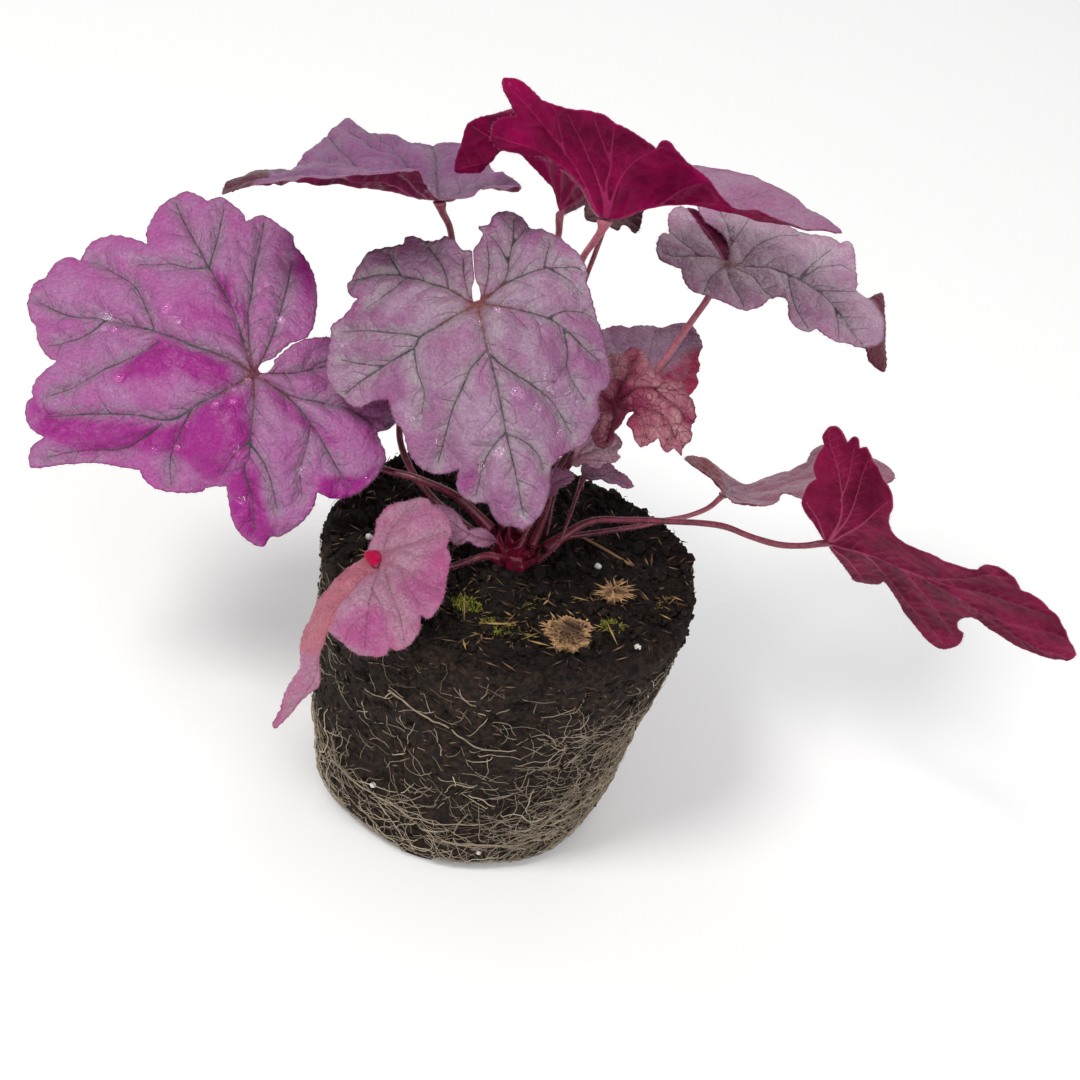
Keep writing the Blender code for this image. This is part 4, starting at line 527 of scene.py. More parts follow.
        lines=[([(724, 494), (760, 492), (810, 478), (880, 474)], 1.0), ([(724, 494), (746, 490), (790, 478), (822, 455)], .8),
               ([(724, 494), (750, 499), (776, 500)], .8), ([(724, 494), (736, 499), (756, 506)], .7),
               ([(724, 494), (730, 486), (748, 487)], .6), ([(724, 494), (714, 478), (704, 463)], .8),
               ([(724, 494), (708, 474), (688, 461)], .6), ([(770, 490), (790, 492), (806, 498)], .6)]),
    "leaf_8": dict(
        seed=8, base=(827, 543), flip=True,
        out=[(827, 543, 1), (820, 534), (813, 524), (804, 513), (801, 504), (804, 493), (809, 484), (816, 479, 1), (813, 468),
             (817, 455), (823, 446), (822, 437), (826, 430), (831, 426), (838, 428), (843, 436), (846, 443, 1), (851, 438),
             (856, 440), (858, 449, 1), (865, 448), (869, 454), (872, 461, 1), (878, 468), (883, 478), (890, 489), (893, 499),
             (893, 508), (889, 517), (888, 526), (892, 536), (901, 543), (915, 549), (930, 554), (943, 561), (955, 565),
             (966, 569), (976, 571, 1), (984, 566), (995, 567), (1004, 572), (1012, 578), (1018, 586), (1020, 592, 1),
             (1030, 596), (1041, 603), (1050, 611, 1), (1057, 618), (1062, 627), (1067, 636), (1070, 643, 1), (1074, 649),
             (1075, 657), (1068, 661), (1058, 660), (1046, 658, 1), (1034, 653), (1022, 648), (1010, 641), (997, 632, 1),
             (988, 626), (976, 620), (966, 618), (958, 622), (958, 629), (963, 634), (961, 642), (955, 647), (944, 649, 1),
             (936, 647), (925, 638), (914, 626), (905, 614), (898, 602), (890, 588), (884, 581, 1), (878, 585), (869, 586),
             (860, 584), (852, 579), (843, 567), (834, 553)],
        depth=[(827, 543, 0), (801, 504, 16), (816, 479, 26), (824, 440, 32), (838, 428, 38), (858, 449, 42),
               (872, 461, 44), (893, 500, 44), (888, 524, 33), (901, 543, 29), (930, 554, 36), (955, 565, 42),
               (985, 566, 50), (1012, 578, 50), (1050, 611, 42), (1074, 657, 26), (1046, 658, 14), (1022, 648, 6),
               (997, 632, -4), (966, 618, -14), (960, 642, -36), (936, 647, -40), (914, 626, -36), (884, 581, -32),
               (869, 586, -42), (852, 579, -34), (834, 553, -11), (864, 551, 4), (914, 573, 12), (955, 594, 17),
               (995, 621, 20), (1035, 645, 21), (842, 500, 18), (860, 500, 28)],
        lines=[([(827, 543), (864, 551), (914, 573), (955, 594), (995, 621), (1035, 645), (1068, 657)], 1.0),
               ([(900, 566), (944, 583), (981, 591), (1022, 605), (1046, 613)], .8),
               ([(930, 577), (960, 578), (990, 574), (1006, 577)], .6),
               ([(827, 543), (842, 514), (840, 474), (829, 436), (831, 429)], .9),
               ([(827, 543), (850, 515), (862, 480), (868, 460)], .7), ([(827, 543), (860, 525), (878, 510), (890, 500)], .8),
               ([(841, 500), (850, 476), (854, 450)], .45), ([(827, 543), (818, 520), (806, 502)], .6),
               ([(864, 551), (892, 580), (920, 615), (944, 642)], .8), ([(905, 569), (930, 600), (955, 636)], .6),
               ([(827, 543), (845, 556), (864, 580)], .7), ([(955, 594), (980, 620), (1008, 636)], .5),
               ([(975, 606), (1010, 622), (1050, 632), (1064, 636)], .5)]),
    "leaf_9": dict(
        seed=9, base=(382, 558),
        out=[(366, 556, 1), (376, 536), (378, 521), (388, 509), (402, 504), (417, 499), (429, 501), (432, 506, 1),
             (442, 512), (450, 523), (452, 534), (447, 549, 1), (451, 560), (447, 579), (444, 598),
             (439, 609), (429, 619), (421, 615, 1), (420, 630), (412, 643), (405, 649), (398, 651),
             (390, 648, 1), (388, 654), (380, 657), (369, 656), (359, 655), (348, 647), (339, 636),
             (331, 630, 1), (327, 636), (324, 652), (321, 671), (318, 686), (307, 695, 1), (297, 703),
             (289, 716), (280, 728), (276, 725), (279, 712), (282, 700), (291, 684), (302, 668, 1), (303, 653),
             (304, 639), (310, 623), (321, 604), (330, 590), (339, 580), (350, 568)],
        depth=[(382, 558, 30), (417, 500, 18), (380, 520, 22), (450, 530, 25), (447, 579, 35), (432, 618, 45),
               (400, 650, 50), (360, 655, 43), (335, 633, 41), (324, 660, 38), (300, 700, 31),
               (278, 727, 25), (303, 650, 29), (321, 604, 31), (345, 575, 34), (365, 556, 27), (395, 600, 44),
               (350, 615, 44), (332, 620, 40)],
        lines=[([(382, 558), (391, 550), (413, 542), (430, 537), (448, 532)], .9),
               ([(382, 558), (388, 563), (406, 569), (417, 579), (440, 590)], .9),
               ([(382, 558), (388, 535), (400, 518), (415, 506)], .8),
               ([(382, 558), (390, 590), (400, 615), (404, 640)], .9),
               ([(382, 558), (372, 590), (366, 620), (364, 648)], .9),
               ([(382, 558), (356, 584), (340, 606), (326, 640), (312, 680), (290, 710)], .9),
               ([(400, 566), (406, 584), (420, 604)], .4), ([(372, 590), (384, 612), (386, 640)], .4),
               ([(366, 612), (350, 628), (346, 642)], .4), ([(356, 584), (336, 600), (316, 622)], .4)]),
    "leaf_10": dict(
        seed=10, base=(640, 392),
        out=[(598, 336), (606, 329), (618, 326), (629, 328, 1), (640, 325), (652, 325), (662, 328, 1), (675, 325),
             (690, 325), (697, 334), (702, 347), (698, 358, 1), (700, 367), (696, 376, 1), (698, 384),
             (692, 394), (682, 404, 1), (668, 412), (650, 416), (640, 402, 1), (630, 410), (612, 400), (602, 380), (596, 356)],
        depth=[(640, 392, -18), (600, 332, -31), (650, 326, -38), (692, 326, -40), (702, 347, -33), (684, 398, -20),
               (650, 415, -15), (604, 380, -17), (650, 360, -25)],
        lines=[([(640, 392), (648, 362), (655, 330)], .9), ([(640, 392), (622, 362), (610, 334)], .8),
               ([(640, 392), (664, 368), (690, 334)], .8), ([(640, 392), (668, 384), (694, 372)], .7),
               ([(640, 392), (618, 386), (602, 372)], .6)]),
    "leaf_11": dict(
        seed=11, base=(613, 404), crinkle=1.5,
        out=[(604, 363), (612, 358), (622, 358, 1), (632, 353), (645, 357), (651, 368, 1), (662, 375), (671, 373),
             (680, 380), (683, 394, 1), (690, 406), (693, 419), (688, 428, 1), (689, 440), (680, 449),
             (678, 457), (671, 449, 1), (665, 453), (660, 449), (657, 439, 1), (650, 444), (641, 448),
             (635, 440), (634, 433, 1), (629, 426), (632, 411), (627, 411, 1), (623, 429), (617, 434, 1),
             (615, 444), (608, 450), (597, 447), (590, 432, 1), (586, 415), (588, 396), (594, 376)],
        depth=[(613, 404, 8), (632, 354, -4), (608, 360, -2), (680, 381, 3), (693, 419, 7), (678, 456, 13), (641, 447, 17),
               (608, 450, 14), (588, 405, 4), (650, 395, 15), (660, 425, 16), (632, 412, 12)],
        lines=[([(613, 404), (630, 392), (652, 386), (676, 390)], 1), ([(613, 404), (622, 384), (634, 360)], .8),
               ([(613, 404), (640, 406), (664, 416), (676, 440)], .9), ([(613, 404), (640, 416), (646, 438)], .7),
               ([(652, 386), (672, 402), (686, 416)], .6), ([(613, 404), (614, 420), (608, 442)], .6),
               ([(613, 404), (600, 396), (596, 384)], .5)]),
    "leaf_12": dict(
        seed=12, base=(573, 460),
        out=[(571, 463, 1), (574, 450), (578, 441), (586, 436, 1), (592, 430), (602, 429), (609, 434, 1), (616, 436),
             (622, 445), (617, 452, 1), (620, 458), (613, 463), (605, 462, 1), (600, 468), (590, 467), (584, 463, 1),
             (578, 468), (573, 466)],
        depth=[(573, 460, 5), (602, 430, -3), (620, 446, -1), (614, 462, 4), (598, 467, 7), (578, 440, 3.5), (596, 448, 4)],
        lines=[([(573, 460), (590, 452), (616, 446)], .8), ([(573, 460), (586, 446), (600, 434)], .6),
               ([(573, 460), (590, 460), (606, 461)], .5)]),
    "leaf_13": dict(
        seed=13, base=(547, 493),
        out=[(545, 495, 1), (544, 484), (548, 473), (555, 467), (562, 470, 1), (569, 470), (575, 477), (571, 483, 1),
             (566, 486), (560, 486, 1), (558, 492), (552, 497)],
        depth=[(547, 493, 11), (555, 468, 8), (574, 477, 10), (558, 492, 14), (558, 480, 11)],
        lines=[([(547, 493), (558, 482), (571, 477)], .8), ([(547, 493), (550, 482), (556, 470)], .6)]),
    "leaf_14": dict(
        seed=14, base=(584, 476),
        out=[(582, 477, 1), (581, 468), (585, 461), (595, 461), (601, 465, 1), (610, 466), (617, 472, 1), (626, 477), (633, 488),
             (624, 490), (616, 486, 1), (608, 486), (601, 482, 1), (592, 482)],
        depth=[(584, 476, -2), (586, 462, -6), (611, 468, -6), (632, 488, 0), (610, 485, 2), (604, 476, -1)],
        lines=[([(584, 476), (606, 478), (629, 487)], .8), ([(584, 476), (592, 469), (598, 464)], .5),
               ([(600, 478), (610, 473), (616, 474)], .4)]),
    "leaf_15": dict(
        seed=15, base=(612, 214), crinkle=1.4,
        out=[(588, 200), (592, 190), (604, 186, 1), (616, 185), (628, 188), (636, 196, 1), (643, 203), (642, 216),
             (640, 228), (634, 234), (628, 228, 1), (622, 227), (617, 233), (611, 231, 1), (604, 226), (595, 225),
             (587, 221), (584, 211)],
        depth=[(612, 214, 20), (595, 190, 13), (628, 188, 11), (642, 212, 15), (634, 233, 22), (612, 231, 25),
               (588, 220, 22), (586, 205, 17)],
        lines=[([(612, 214), (622, 200), (630, 190)], .8), ([(612, 214), (600, 202), (594, 192)], .7),
               ([(612, 214), (626, 218), (638, 226)], .8), ([(612, 214), (614, 226)], .6),
               ([(612, 214), (598, 216), (588, 218)], .7)]),
    "leaf_16": dict(
        seed=16, base=(495, 541),
        out=[(497, 542, 1), (494, 536), (486, 530), (478, 528), (469, 530, 1), (464, 524), (458, 514), (450, 507),
             (441, 504), (433, 506), (434, 514), (440, 522, 1), (443, 530), (449, 539), (456, 545),
             (463, 544), (468, 541, 1), (476, 546), (486, 547)],
        depth=[(495, 541, 12), (434, 507, 13), (460, 516, 12), (455, 544, 15), (478, 529, 11), (485, 546, 14), (460, 532, 14)],
        lines=[([(495, 541), (474, 536), (452, 522), (438, 509)], .9), ([(474, 536), (466, 532)], .4),
               ([(470, 534), (462, 540), (456, 543)], .5), ([(480, 537), (476, 543)], .3)]),
}

# each stalk: its leaf, where it leaves the crown (mm from the soil at the crown), the points
# of its route in the view, and its radii at the crown and at the leaf
STALKS = {
    "stalk_1": ("leaf_1", (-9.2, 0.8, 7.0), [(457, 497, 9), (418, 479, 9), (381, 468, 7), (330, 437, 8), (286, 403, 13), (259, 380, 20)], 2.3, 1.25),
    "stalk_2": ("leaf_2", (-7.6, -4.6, 4.8), [(467, 526, 4), (440, 505, 1), (424, 488, 0), (411, 470, 0), (400, 440, 1), (400, 404, 3), (404, 376, 8), (415, 352, 17), (448, 319, 30), (472, 308, 37)], 1.25, 1.15),
    "stalk_3": ("leaf_3", (-4.4, 2.2, 7.6), [(486, 430, -6), (465, 310, 4), (453, 246, 14), (449, 225, 19), (443, 212, 23)], 1.9, 1.05),
    "stalk_4": ("leaf_4", (-1.6, 6.4, 7.2), [(522, 430, -9), (544, 300, 5), (557, 242, 14), (559, 220, 20)], 1.8, 1.0),
    "stalk_5": ("leaf_5", (0.6, 1.8, 8.0), [(541, 430, 5), (567, 310, 22), (581, 262, 26.5), (594, 241, 36), (602, 229, 42)], 1.9, 1.1),
    "stalk_6": ("leaf_6", (5.2, 3.8, 7.2), [(551, 471, -6), (570, 456, -7), (590, 440, -8), (625, 405, -10), (658, 368, -10), (690, 323, -8), (707, 299, -5), (723, 270, -2)], 2.1, 1.1),
    "stalk_7": ("leaf_7", (9.4, 3.8, 4.8), [(561, 538, -3), (588, 534, -5), (614, 530, -6), (640, 526, -8), (665, 520, -10), (687, 516, -12), (708, 508, -13.5), (721, 497, -15)], 1.5, .85),
    "stalk_8": ("leaf_8", (9.6, -1.2, 7.2), [(588, 522, 3), (627, 520, 2), (666, 521, 2), (700, 523, 1.5), (727, 527, 1), (754, 538, .5), (780, 545, 0), (805, 546, 0), (822, 543.5, 0)], 2.2, 1.05),
    "stalk_9": ("leaf_9", (-3.4, -9.3, 4.0), [(487, 556, 11), (466, 562, 12), (448, 567, 14), (420, 566, 19), (392, 560, 26)], 1.5, 1.0),
    "stalk_10": ("leaf_10", (5.6, 9.4, 5.4), [(556, 480, -17), (596, 432, -25), (634, 396, -19.5)], 1.5, .9),
    "stalk_11": ("leaf_11", (5.2, -3.2, 7.9), [(546, 512, 3), (556, 474, -.5), (586, 425, 2), (608, 407, 5)], 1.4, .9),
    "stalk_12": ("leaf_12", (8.8, 7.9, 5.0), [(555, 494, -4), (570, 465, 3)], .8, .6),
    "stalk_13": ("leaf_13", (1.4, -5.8, 7.2), [(534, 516, 9), (545, 496, 10)], .8, .6),
    "stalk_14": ("leaf_14", (8.2, -6.6, 4.8), [(556, 546, 10), (567, 522, 9.5), (575, 500, 4), (582, 480, -1.5)], .9, .6),
    "stalk_15": ("leaf_15", (2.6, 8.4, 6.4), [(545, 420, -14), (572, 320, 2), (594, 255, 12), (608, 218, 18)], 1.2, .8),
}


def prepare():
    for leaf in LEAVES.values():
        lay_out(leaf)


def route(name, per=8):
    """A stalk's middle line in mm, as a smooth dense curve, its radius and its length there."""
    leaf, start, pts, r0, r1 = STALKS[name]
    foot = lay(LEAVES[leaf], [LEAVES[leaf]["origin"]])[0]
    line = spline([np.array(start) + (0, 0, BALL_H)] + [world(*p) for p in pts] + [foot], per)
    seg = np.linalg.norm(line[1:] - line[:-1], axis=1)
    at = np.concatenate([[0], np.cumsum(seg)])
    r = r0 + (r1 - r0) * (at / at[-1]) ** 0.7
    return line, r, at


# ---------------------------------------------------------------- noise
def _hash(i, j, k, seed):
    h = (i.astype(np.int64) * 374761393 + j.astype(np.int64) * 668265263
         + k.astype(np.int64) * 2147483647 + seed * 1274126177) & 0xFFFFFFFF
    h = ((h ^ (h >> 13)) * 1274126177) & 0xFFFFFFFF
    h = ((h ^ (h >> 16)) * 2246822519) & 0xFFFFFFFF
    return ((h ^ (h >> 15)) & 0xFFFFFF) / float(0xFFFFFF)


def smooth_noise(p, seed=0):
    """Value noise in -1..1 at points p, one feature per unit."""
    f = np.floor(p)
    t = p - f
    t = t * t * t * (t * (t * 6 - 15) + 10)
    f = f.astype(np.int64)
    out = 0
    for dx in (0, 1):
        for dy in (0, 1):
            for dz in (0, 1):
                w = ((t[:, 0] if dx else 1 - t[:, 0]) * (t[:, 1] if dy else 1 - t[:, 1])
                     * (t[:, 2] if dz else 1 - t[:, 2]))
                out = out + w * _hash(f[:, 0] + dx, f[:, 1] + dy, f[:, 2] + dz, seed)
    return out * 2 - 1


def fbm(p, octaves=4, seed=0, gain=0.5):
    out, amp, total = 0, 1.0, 0
    for i in range(octaves):
        out = out + amp * smooth_noise(p * 2 ** i + 17.3 * i, seed + i)
        total += amp
        amp *= gain
    return out / total


def cells(p, seed=0):
    """Distances to the nearest and second nearest of one scattered point per unit cell."""
    f = np.floor(p).astype(np.int64)
    best = np.full(len(p), 9.0)
    second = np.full(len(p), 9.0)
    for dx in (-1, 0, 1):
        for dy in (-1, 0, 1):
            for dz in (-1, 0, 1):
                i, j, k = f[:, 0] + dx, f[:, 1] + dy, f[:, 2] + dz
                q = np.stack([i + _hash(i, j, k, seed), j + _hash(i, j, k, seed + 1), k + _hash(i, j, k, seed + 2)], -1)
                d = np.sqrt(((p - q) ** 2).sum(1))
                second = np.minimum(second, np.maximum(best, d))
                best = np.minimum(best, d)
    return best, second


def ease(a, b, x):
    t = np.clip((x - a) / (b - a), 0, 1)
    return t * t * (3 - 2 * t)


# ---------------------------------------------------------------- meshes
MM = 0.001


def solid(name, points, tris, mats, which=None, fields=None, smooth=True):
    """An object from points in mm and triangles."""
    points = np.asarray(points, np.float32) * MM
    tris = np.asarray(tris, np.int32)
    mesh = bpy.data.meshes.new(name)
    mesh.vertices.add(len(points))
    mesh.vertices.foreach_set("co", points.ravel())
    mesh.loops.add(len(tris) * 3)
    mesh.loops.foreach_set("vertex_index", tris.ravel())
    mesh.polygons.add(len(tris))
    mesh.polygons.foreach_set("loop_start", np.arange(0, len(tris) * 3, 3, dtype=np.int32))
    mesh.polygons.foreach_set("use_smooth", np.full(len(tris), smooth))
    for mat in mats:
        mesh.materials.append(mat)
    if which is not None:
        mesh.polygons.foreach_set("material_index", np.asarray(which, np.int32))
    for key, values in (fields or {}).items():
        attr = mesh.attributes.new(key, "FLOAT", "POINT")
        attr.data.foreach_set("value", np.asarray(values, np.float32))
    mesh.update(calc_edges=True)
    mesh.validate()
    obj = bpy.data.objects.new(name, mesh)
    bpy.context.scene.collection.objects.link(obj)
    return obj


class Pile:
    """Gathers small closed shapes into one piece."""

    def __init__(self):
        self.p, self.t, self.f, self.n = [], [], {}, 0

    def add(self, points, tris, **fields):
        self.p.append(np.asarray(points, float))
        self.t.append(np.asarray(tris, int) + self.n)
        for key, value in fields.items():
            self.f.setdefault(key, []).append(np.broadcast_to(value, len(points)))
        self.n += len(points)

    def piece(self, name, mats, smooth=True):
        return solid(name, np.vstack(self.p), np.vstack(self.t), mats, smooth=smooth,
                     fields={k: np.concatenate(v) for k, v in self.f.items()})


def unit(v):
    v = np.asarray(v, float)
    return v / np.maximum(np.linalg.norm(v, axis=-1, keepdims=True), 1e-12)


def rod(line, radii, sides=8, flat=1.0, groove=0.0, start=None):
    """A closed rod along a line: (points, triangles)."""
    line = np.asarray(line, float)
    n = len(line)
    radii = np.broadcast_to(radii, n)
    flat = np.broadcast_to(flat, n)
    run = unit(np.gradient(line, axis=0))
    side = np.array(start if start is not None else np.cross(run[0], (0.13, 0.21, 1.0)), float)
    a = 2 * pi * np.arange(sides) / sides
    points = []
    for i in range(n):
        side = unit(side - run[i] * (side @ run[i]))
        up = np.cross(run[i], side)
        r = radii[i] * (1 - groove * np.exp(-(np.angle(np.exp(1j * (a - pi / 2))) / 0.35) ** 2))
        points.append(line[i] + (r * np.cos(a))[:, None] * side + (flat[i] * r * np.sin(a))[:, None] * up)
    points = np.vstack(points + [line[:1], line[-1:]])
    j = np.arange(sides)
    k = (j + 1) % sides
    tris = []
    for i in range(n - 1):
        tris.append(np.stack([i * sides + j, i * sides + k, (i + 1) * sides + k], -1))
        tris.append(np.stack([i * sides + j, (i + 1) * sides + k, (i + 1) * sides + j], -1))
    tris.append(np.stack([np.full(sides, n * sides), k, j], -1))
    tris.append(np.stack([np.full(sides, n * sides + 1), (n - 1) * sides + j, (n - 1) * sides + k], -1))
    return points, np.vstack(tris)


def sliver(a, b, wide, thick, up):
    """A thin flat splinter from a to b, pointed at both ends."""
    a, b = np.asarray(a, float), np.asarray(b, float)
    run = unit(b - a)
    side = unit(np.cross(run, up))
    up = np.cross(side, run)
    m = (a + b) / 2
    points = [a, m + side * wide, m + up * thick, m - side * wide, m - up * thick, b]
    tris = [(0, 1, 2), (0, 2, 3), (0, 3, 4), (0, 4, 1), (5, 2, 1), (5, 3, 2), (5, 4, 3), (5, 1, 4)]
    return points, tris


def ball_mesh(level):
    bm = bmesh.new()
    bmesh.ops.create_icosphere(bm, subdivisions=level, radius=1.0)
    v = np.array([tuple(q.co) for q in bm.verts])
    t = np.array([[q.index for q in f.verts] for f in bm.faces])
    bm.free()
    return v, t


def ride(obj, slot, *nodes):
    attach(obj, "root")
    if nodes:
        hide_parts(*nodes)
    return obj


# ---------------------------------------------------------------- materials
def lin(r, g, b):
    """A colour given as seen on screen, 0 to 255."""
    return tuple((c / 255 / 12.92) if c <= 10 else ((c / 255 + 0.055) / 1.055) ** 2.4 for c in (r, g, b)) + (1.0,)


class Graph:
    """Shorthand for building a node material."""

    def __init__(self, name, **fixed):
        self.mat = bpy.data.materials.new(name)
        self.mat.use_nodes = True
        self.t = self.mat.node_tree
        self.shader = self.t.nodes["Principled BSDF"]
        for key, value in fixed.items():
            self.shader.inputs[key.replace("_", " ")].default_value = value
        self.coords = self.t.nodes.new("ShaderNodeTexCoord").outputs["Object"]

    def node(self, kind, inputs=(), **props):
        n = self.t.nodes.new("ShaderNode" + kind)
        for key, value in props.items():
            setattr(n, key, value)
        for key, value in dict(inputs).items():
            if isinstance(value, bpy.types.NodeSocket):
                self.t.links.new(value, n.inputs[key])
            elif value is not None:
                n.inputs[key].default_value = value
        return n

    def attr(self, name):
        return self.node("Attribute", attribute_name=name).outputs["Fac"]

    def math(self, op, a, b=None, c=None, clamp=False):
        n = self.node("Math", operation=op, use_clamp=clamp)
        for i, v in enumerate((a, b, c)):
            if isinstance(v, bpy.types.NodeSocket):
                self.t.links.new(v, n.inputs[i])
            elif v is not None:
                n.inputs[i].default_value = v
        return n.outputs[0]

    def span(self, x, a, b, lo=0.0, hi=1.0):
        """Maps x smoothly from a..b to lo..hi."""
        n = self.node("MapRange", interpolation_type="SMOOTHSTEP")
        for key, v in (("Value", x), ("From Min", a), ("From Max", b), ("To Min", lo), ("To Max", hi)):
            if isinstance(v, bpy.types.NodeSocket):
                self.t.links.new(v, n.inputs[key])
            else:
                n.inputs[key].default_value = v
        return n.outputs["Result"]

    def mix(self, fac, a, b, mode="MIX"):
        n = self.node("Mix", data_type="RGBA", blend_type=mode)
        for key, v in ((0, fac), (6, a), (7, b)):
            if isinstance(v, bpy.types.NodeSocket):
                self.t.links.new(v, n.inputs[key])
            else:
                n.inputs[key].default_value = v
        return n.outputs[2]

    def noise(self, size, detail=3.0, rough=0.55, warp=0.0, stretch=None):
        """Noise with features about size mm across."""
        at = self.coords
        if stretch:
            at = self.node("Mapping", {"Vector": at, "Scale": stretch}).outputs[0]
        n = self.node("TexNoise", {"Vector": at, "Scale": 1000.0 / size, "Detail": detail, "Roughness": rough,
                                   "Distortion": warp})
        return n.outputs["Fac"]

    def net(self, size, seed=0.0, warp=0.0):
        """Distance from the walls of cells about size mm across, in cells."""
        at = self.coords
        if warp:
            wob = self.node("TexNoise", {"Vector": at, "Scale": 1000.0 / (size * 1.3), "Detail": 2.0})
            off = self.node("VectorMath", {0: wob.outputs["Color"], 1: (0.5, 0.5, 0.5)}, operation="SUBTRACT")
            off = self.node("VectorMath", {0: off.outputs[0], "Scale": warp * size * MM}, operation="SCALE")
            at = self.node("VectorMath", {0: at, 1: off.outputs[0]}, operation="ADD").outputs[0]
        if seed:
            at = self.node("VectorMath", {0: at, 1: (seed, seed * 0.7, -seed)}, operation="ADD").outputs[0]
        return self.node("TexVoronoi", {"Vector": at, "Scale": 1000.0 / size}, feature="DISTANCE_TO_EDGE").outputs["Distance"]

    def done(self, colour, rough=None, height=None, depth=0.1, strength=1.0):
        self.t.links.new(colour, self.shader.inputs["Base Color"])
        if rough is not None:
            self.t.links.new(rough, self.shader.inputs["Roughness"])
        if height is not None:
            bump = self.node("Bump", {"Height": height, "Strength": strength, "Distance": depth * MM})
            self.t.links.new(bump.outputs[0], self.shader.inputs["Normal"])
        return self.mat


def top_skin(name, rose, silver, flush, zone, vein, hub, rim, lines=1.0, net=0.25, spots=0.0, flap=None, veil=None):
    """The upper side of a blade."""
    g = Graph(name, Specular_IOR_Level=0.34, Sheen_Weight=0.06, Sheen_Roughness=0.45,
              Sheen_Tint=(1.0, 0.85, 0.95, 1.0), Coat_Weight=0.04, Coat_Roughness=0.25)
    vd, near, hubd, rimd, patch = (g.attr(k) for k in ("vein", "near", "hub", "rim", "patch"))
    feather = g.noise(1.1, 4.0, 0.7)
    broad = g.noise(16.0, 2.0, 0.5, 0.4)
    mid = g.noise(5.0, 4.0, 0.6)
    fine = g.noise(0.9, 3.0, 0.6)
    # the silver bloom comes in clouds, the flush towards the margins
    streaks = g.noise(3.0, 5.0, 0.7, 0.8)
    bloom = g.math("MULTIPLY", g.span(broad, 0.36, 0.62), g.span(streaks, 0.25, 0.7, 0.35, 1.0))
    colour = g.mix(bloom, rose, silver)
    colour = g.mix(g.span(streaks, 0.56, 0.74, 0.0, 0.45), colour, flush)
    edge = g.math("MULTIPLY", g.span(rimd, 7.0, 0.0), g.span(mid, 0.35, 0.65))
    colour = g.mix(g.math("MULTIPLY", edge, 0.55), colour, flush)
    if veil:
        haze = g.math("MULTIPLY", g.span(near, 4.5, 0.6), g.span(streaks, 0.38, 0.62, 0.1, 0.75))
        haze = g.math("MAXIMUM", haze, g.math("MULTIPLY", g.span(hubd, 24.0, 5.0), g.span(streaks, 0.3, 0.7, 0.2, 0.7)))
        colour = g.mix(haze, colour, veil)
    # saturated zones
    zoned = g.math("MULTIPLY", patch, g.span(mid, 0.22, 0.55, 0.55, 1.0), clamp=True)
    colour = g.mix(zoned, colour, zone)
    # fine net of the smallest veins
    cellw = g.net(3.6, warp=0.5)
    small = g.net(1.5, 3.0, warp=0.4)
    web = g.math("MULTIPLY", g.span(cellw, 0.055, 0.0), net)
    web = g.math("MAXIMUM", web, g.math("MULTIPLY", g.span(small, 0.07, 0.0), net * 0.45))
    colour = g.mix(web, colour, vein)
    # a dark bed along the veins, then the veins, feathered
    worn = g.math("ADD", vd, g.math("MULTIPLY", g.math("SUBTRACT", feather, 0.5), 4.0))
    halo = g.math("MULTIPLY", g.span(worn, 3.4, 0.6), g.span(mid, 0.3, 0.7, 0.10, 0.42))
    colour = g.mix(g.math("MULTIPLY", halo, lines), colour, vein)
    thin = g.math("ADD", vd, g.math("MULTIPLY", g.math("SUBTRACT", feather, 0.5), 1.6))
    line = g.math("MULTIPLY", g.span(thin, 1.3, 0.35), g.span(mid, 0.25, 0.65, 0.55, 0.97))
    small_ = g.math("ADD", g.attr("twig"), g.math("MULTIPLY", g.math("SUBTRACT", feather, 0.5), 1.2))
    small_ = g.math("MULTIPLY", g.span(small_, 1.5, 0.2), g.span(streaks, 0.35, 0.65, 0.30, 0.80))
    line = g.math("MULTIPLY", g.math("MAXIMUM", line, small_), lines)
    tone = g.mix(g.span(hubd, 20.0, 3.0), vein, hub)
    colour = g.mix(line, colour, tone)
    colour = g.mix(g.math("MULTIPLY", g.span(hubd, 6.0, 0.5), 0.6), colour, hub)
    colour = g.mix(g.math("MULTIPLY", g.span(rimd, 0.5, 0.0), 0.65), colour, rim)
    if spots:
        dots = g.node("TexVoronoi", {"Vector": g.coords, "Scale": 1000.0 / 6.0}).outputs["Distance"]
        colour = g.mix(g.math("MULTIPLY", g.span(dots, 0.10, 0.05), spots), colour, hub)
    if flap:
        colour = g.mix(g.attr("flap"), colour, flap)
    shade = g.math("MULTIPLY", g.span(fine, 0.3, 0.7, 0.86, 1.12), g.span(g.noise(0.45, 2.0, 0.6), 0.3, 0.7, 0.92, 1.07))
    bright = g.node("HueSaturation", {"Color": colour, "Value": shade})
    colour = bright.outputs["Color"]
    rough = g.span(mid, 0.2, 0.8, 0.40, 0.56)
    height = g.math("ADD", g.math("MULTIPLY", g.span(cellw, 0.0, 0.25), 0.7), g.math("MULTIPLY", g.span(small, 0.0, 0.25), 0.35))
    height = g.math("ADD", height, g.math("MULTIPLY", fine, 0.5))
    height = g.math("ADD", height, g.math("MULTIPLY", mid, 0.9))
    return g.done(colour, rough, height, 0.32, 0.95)


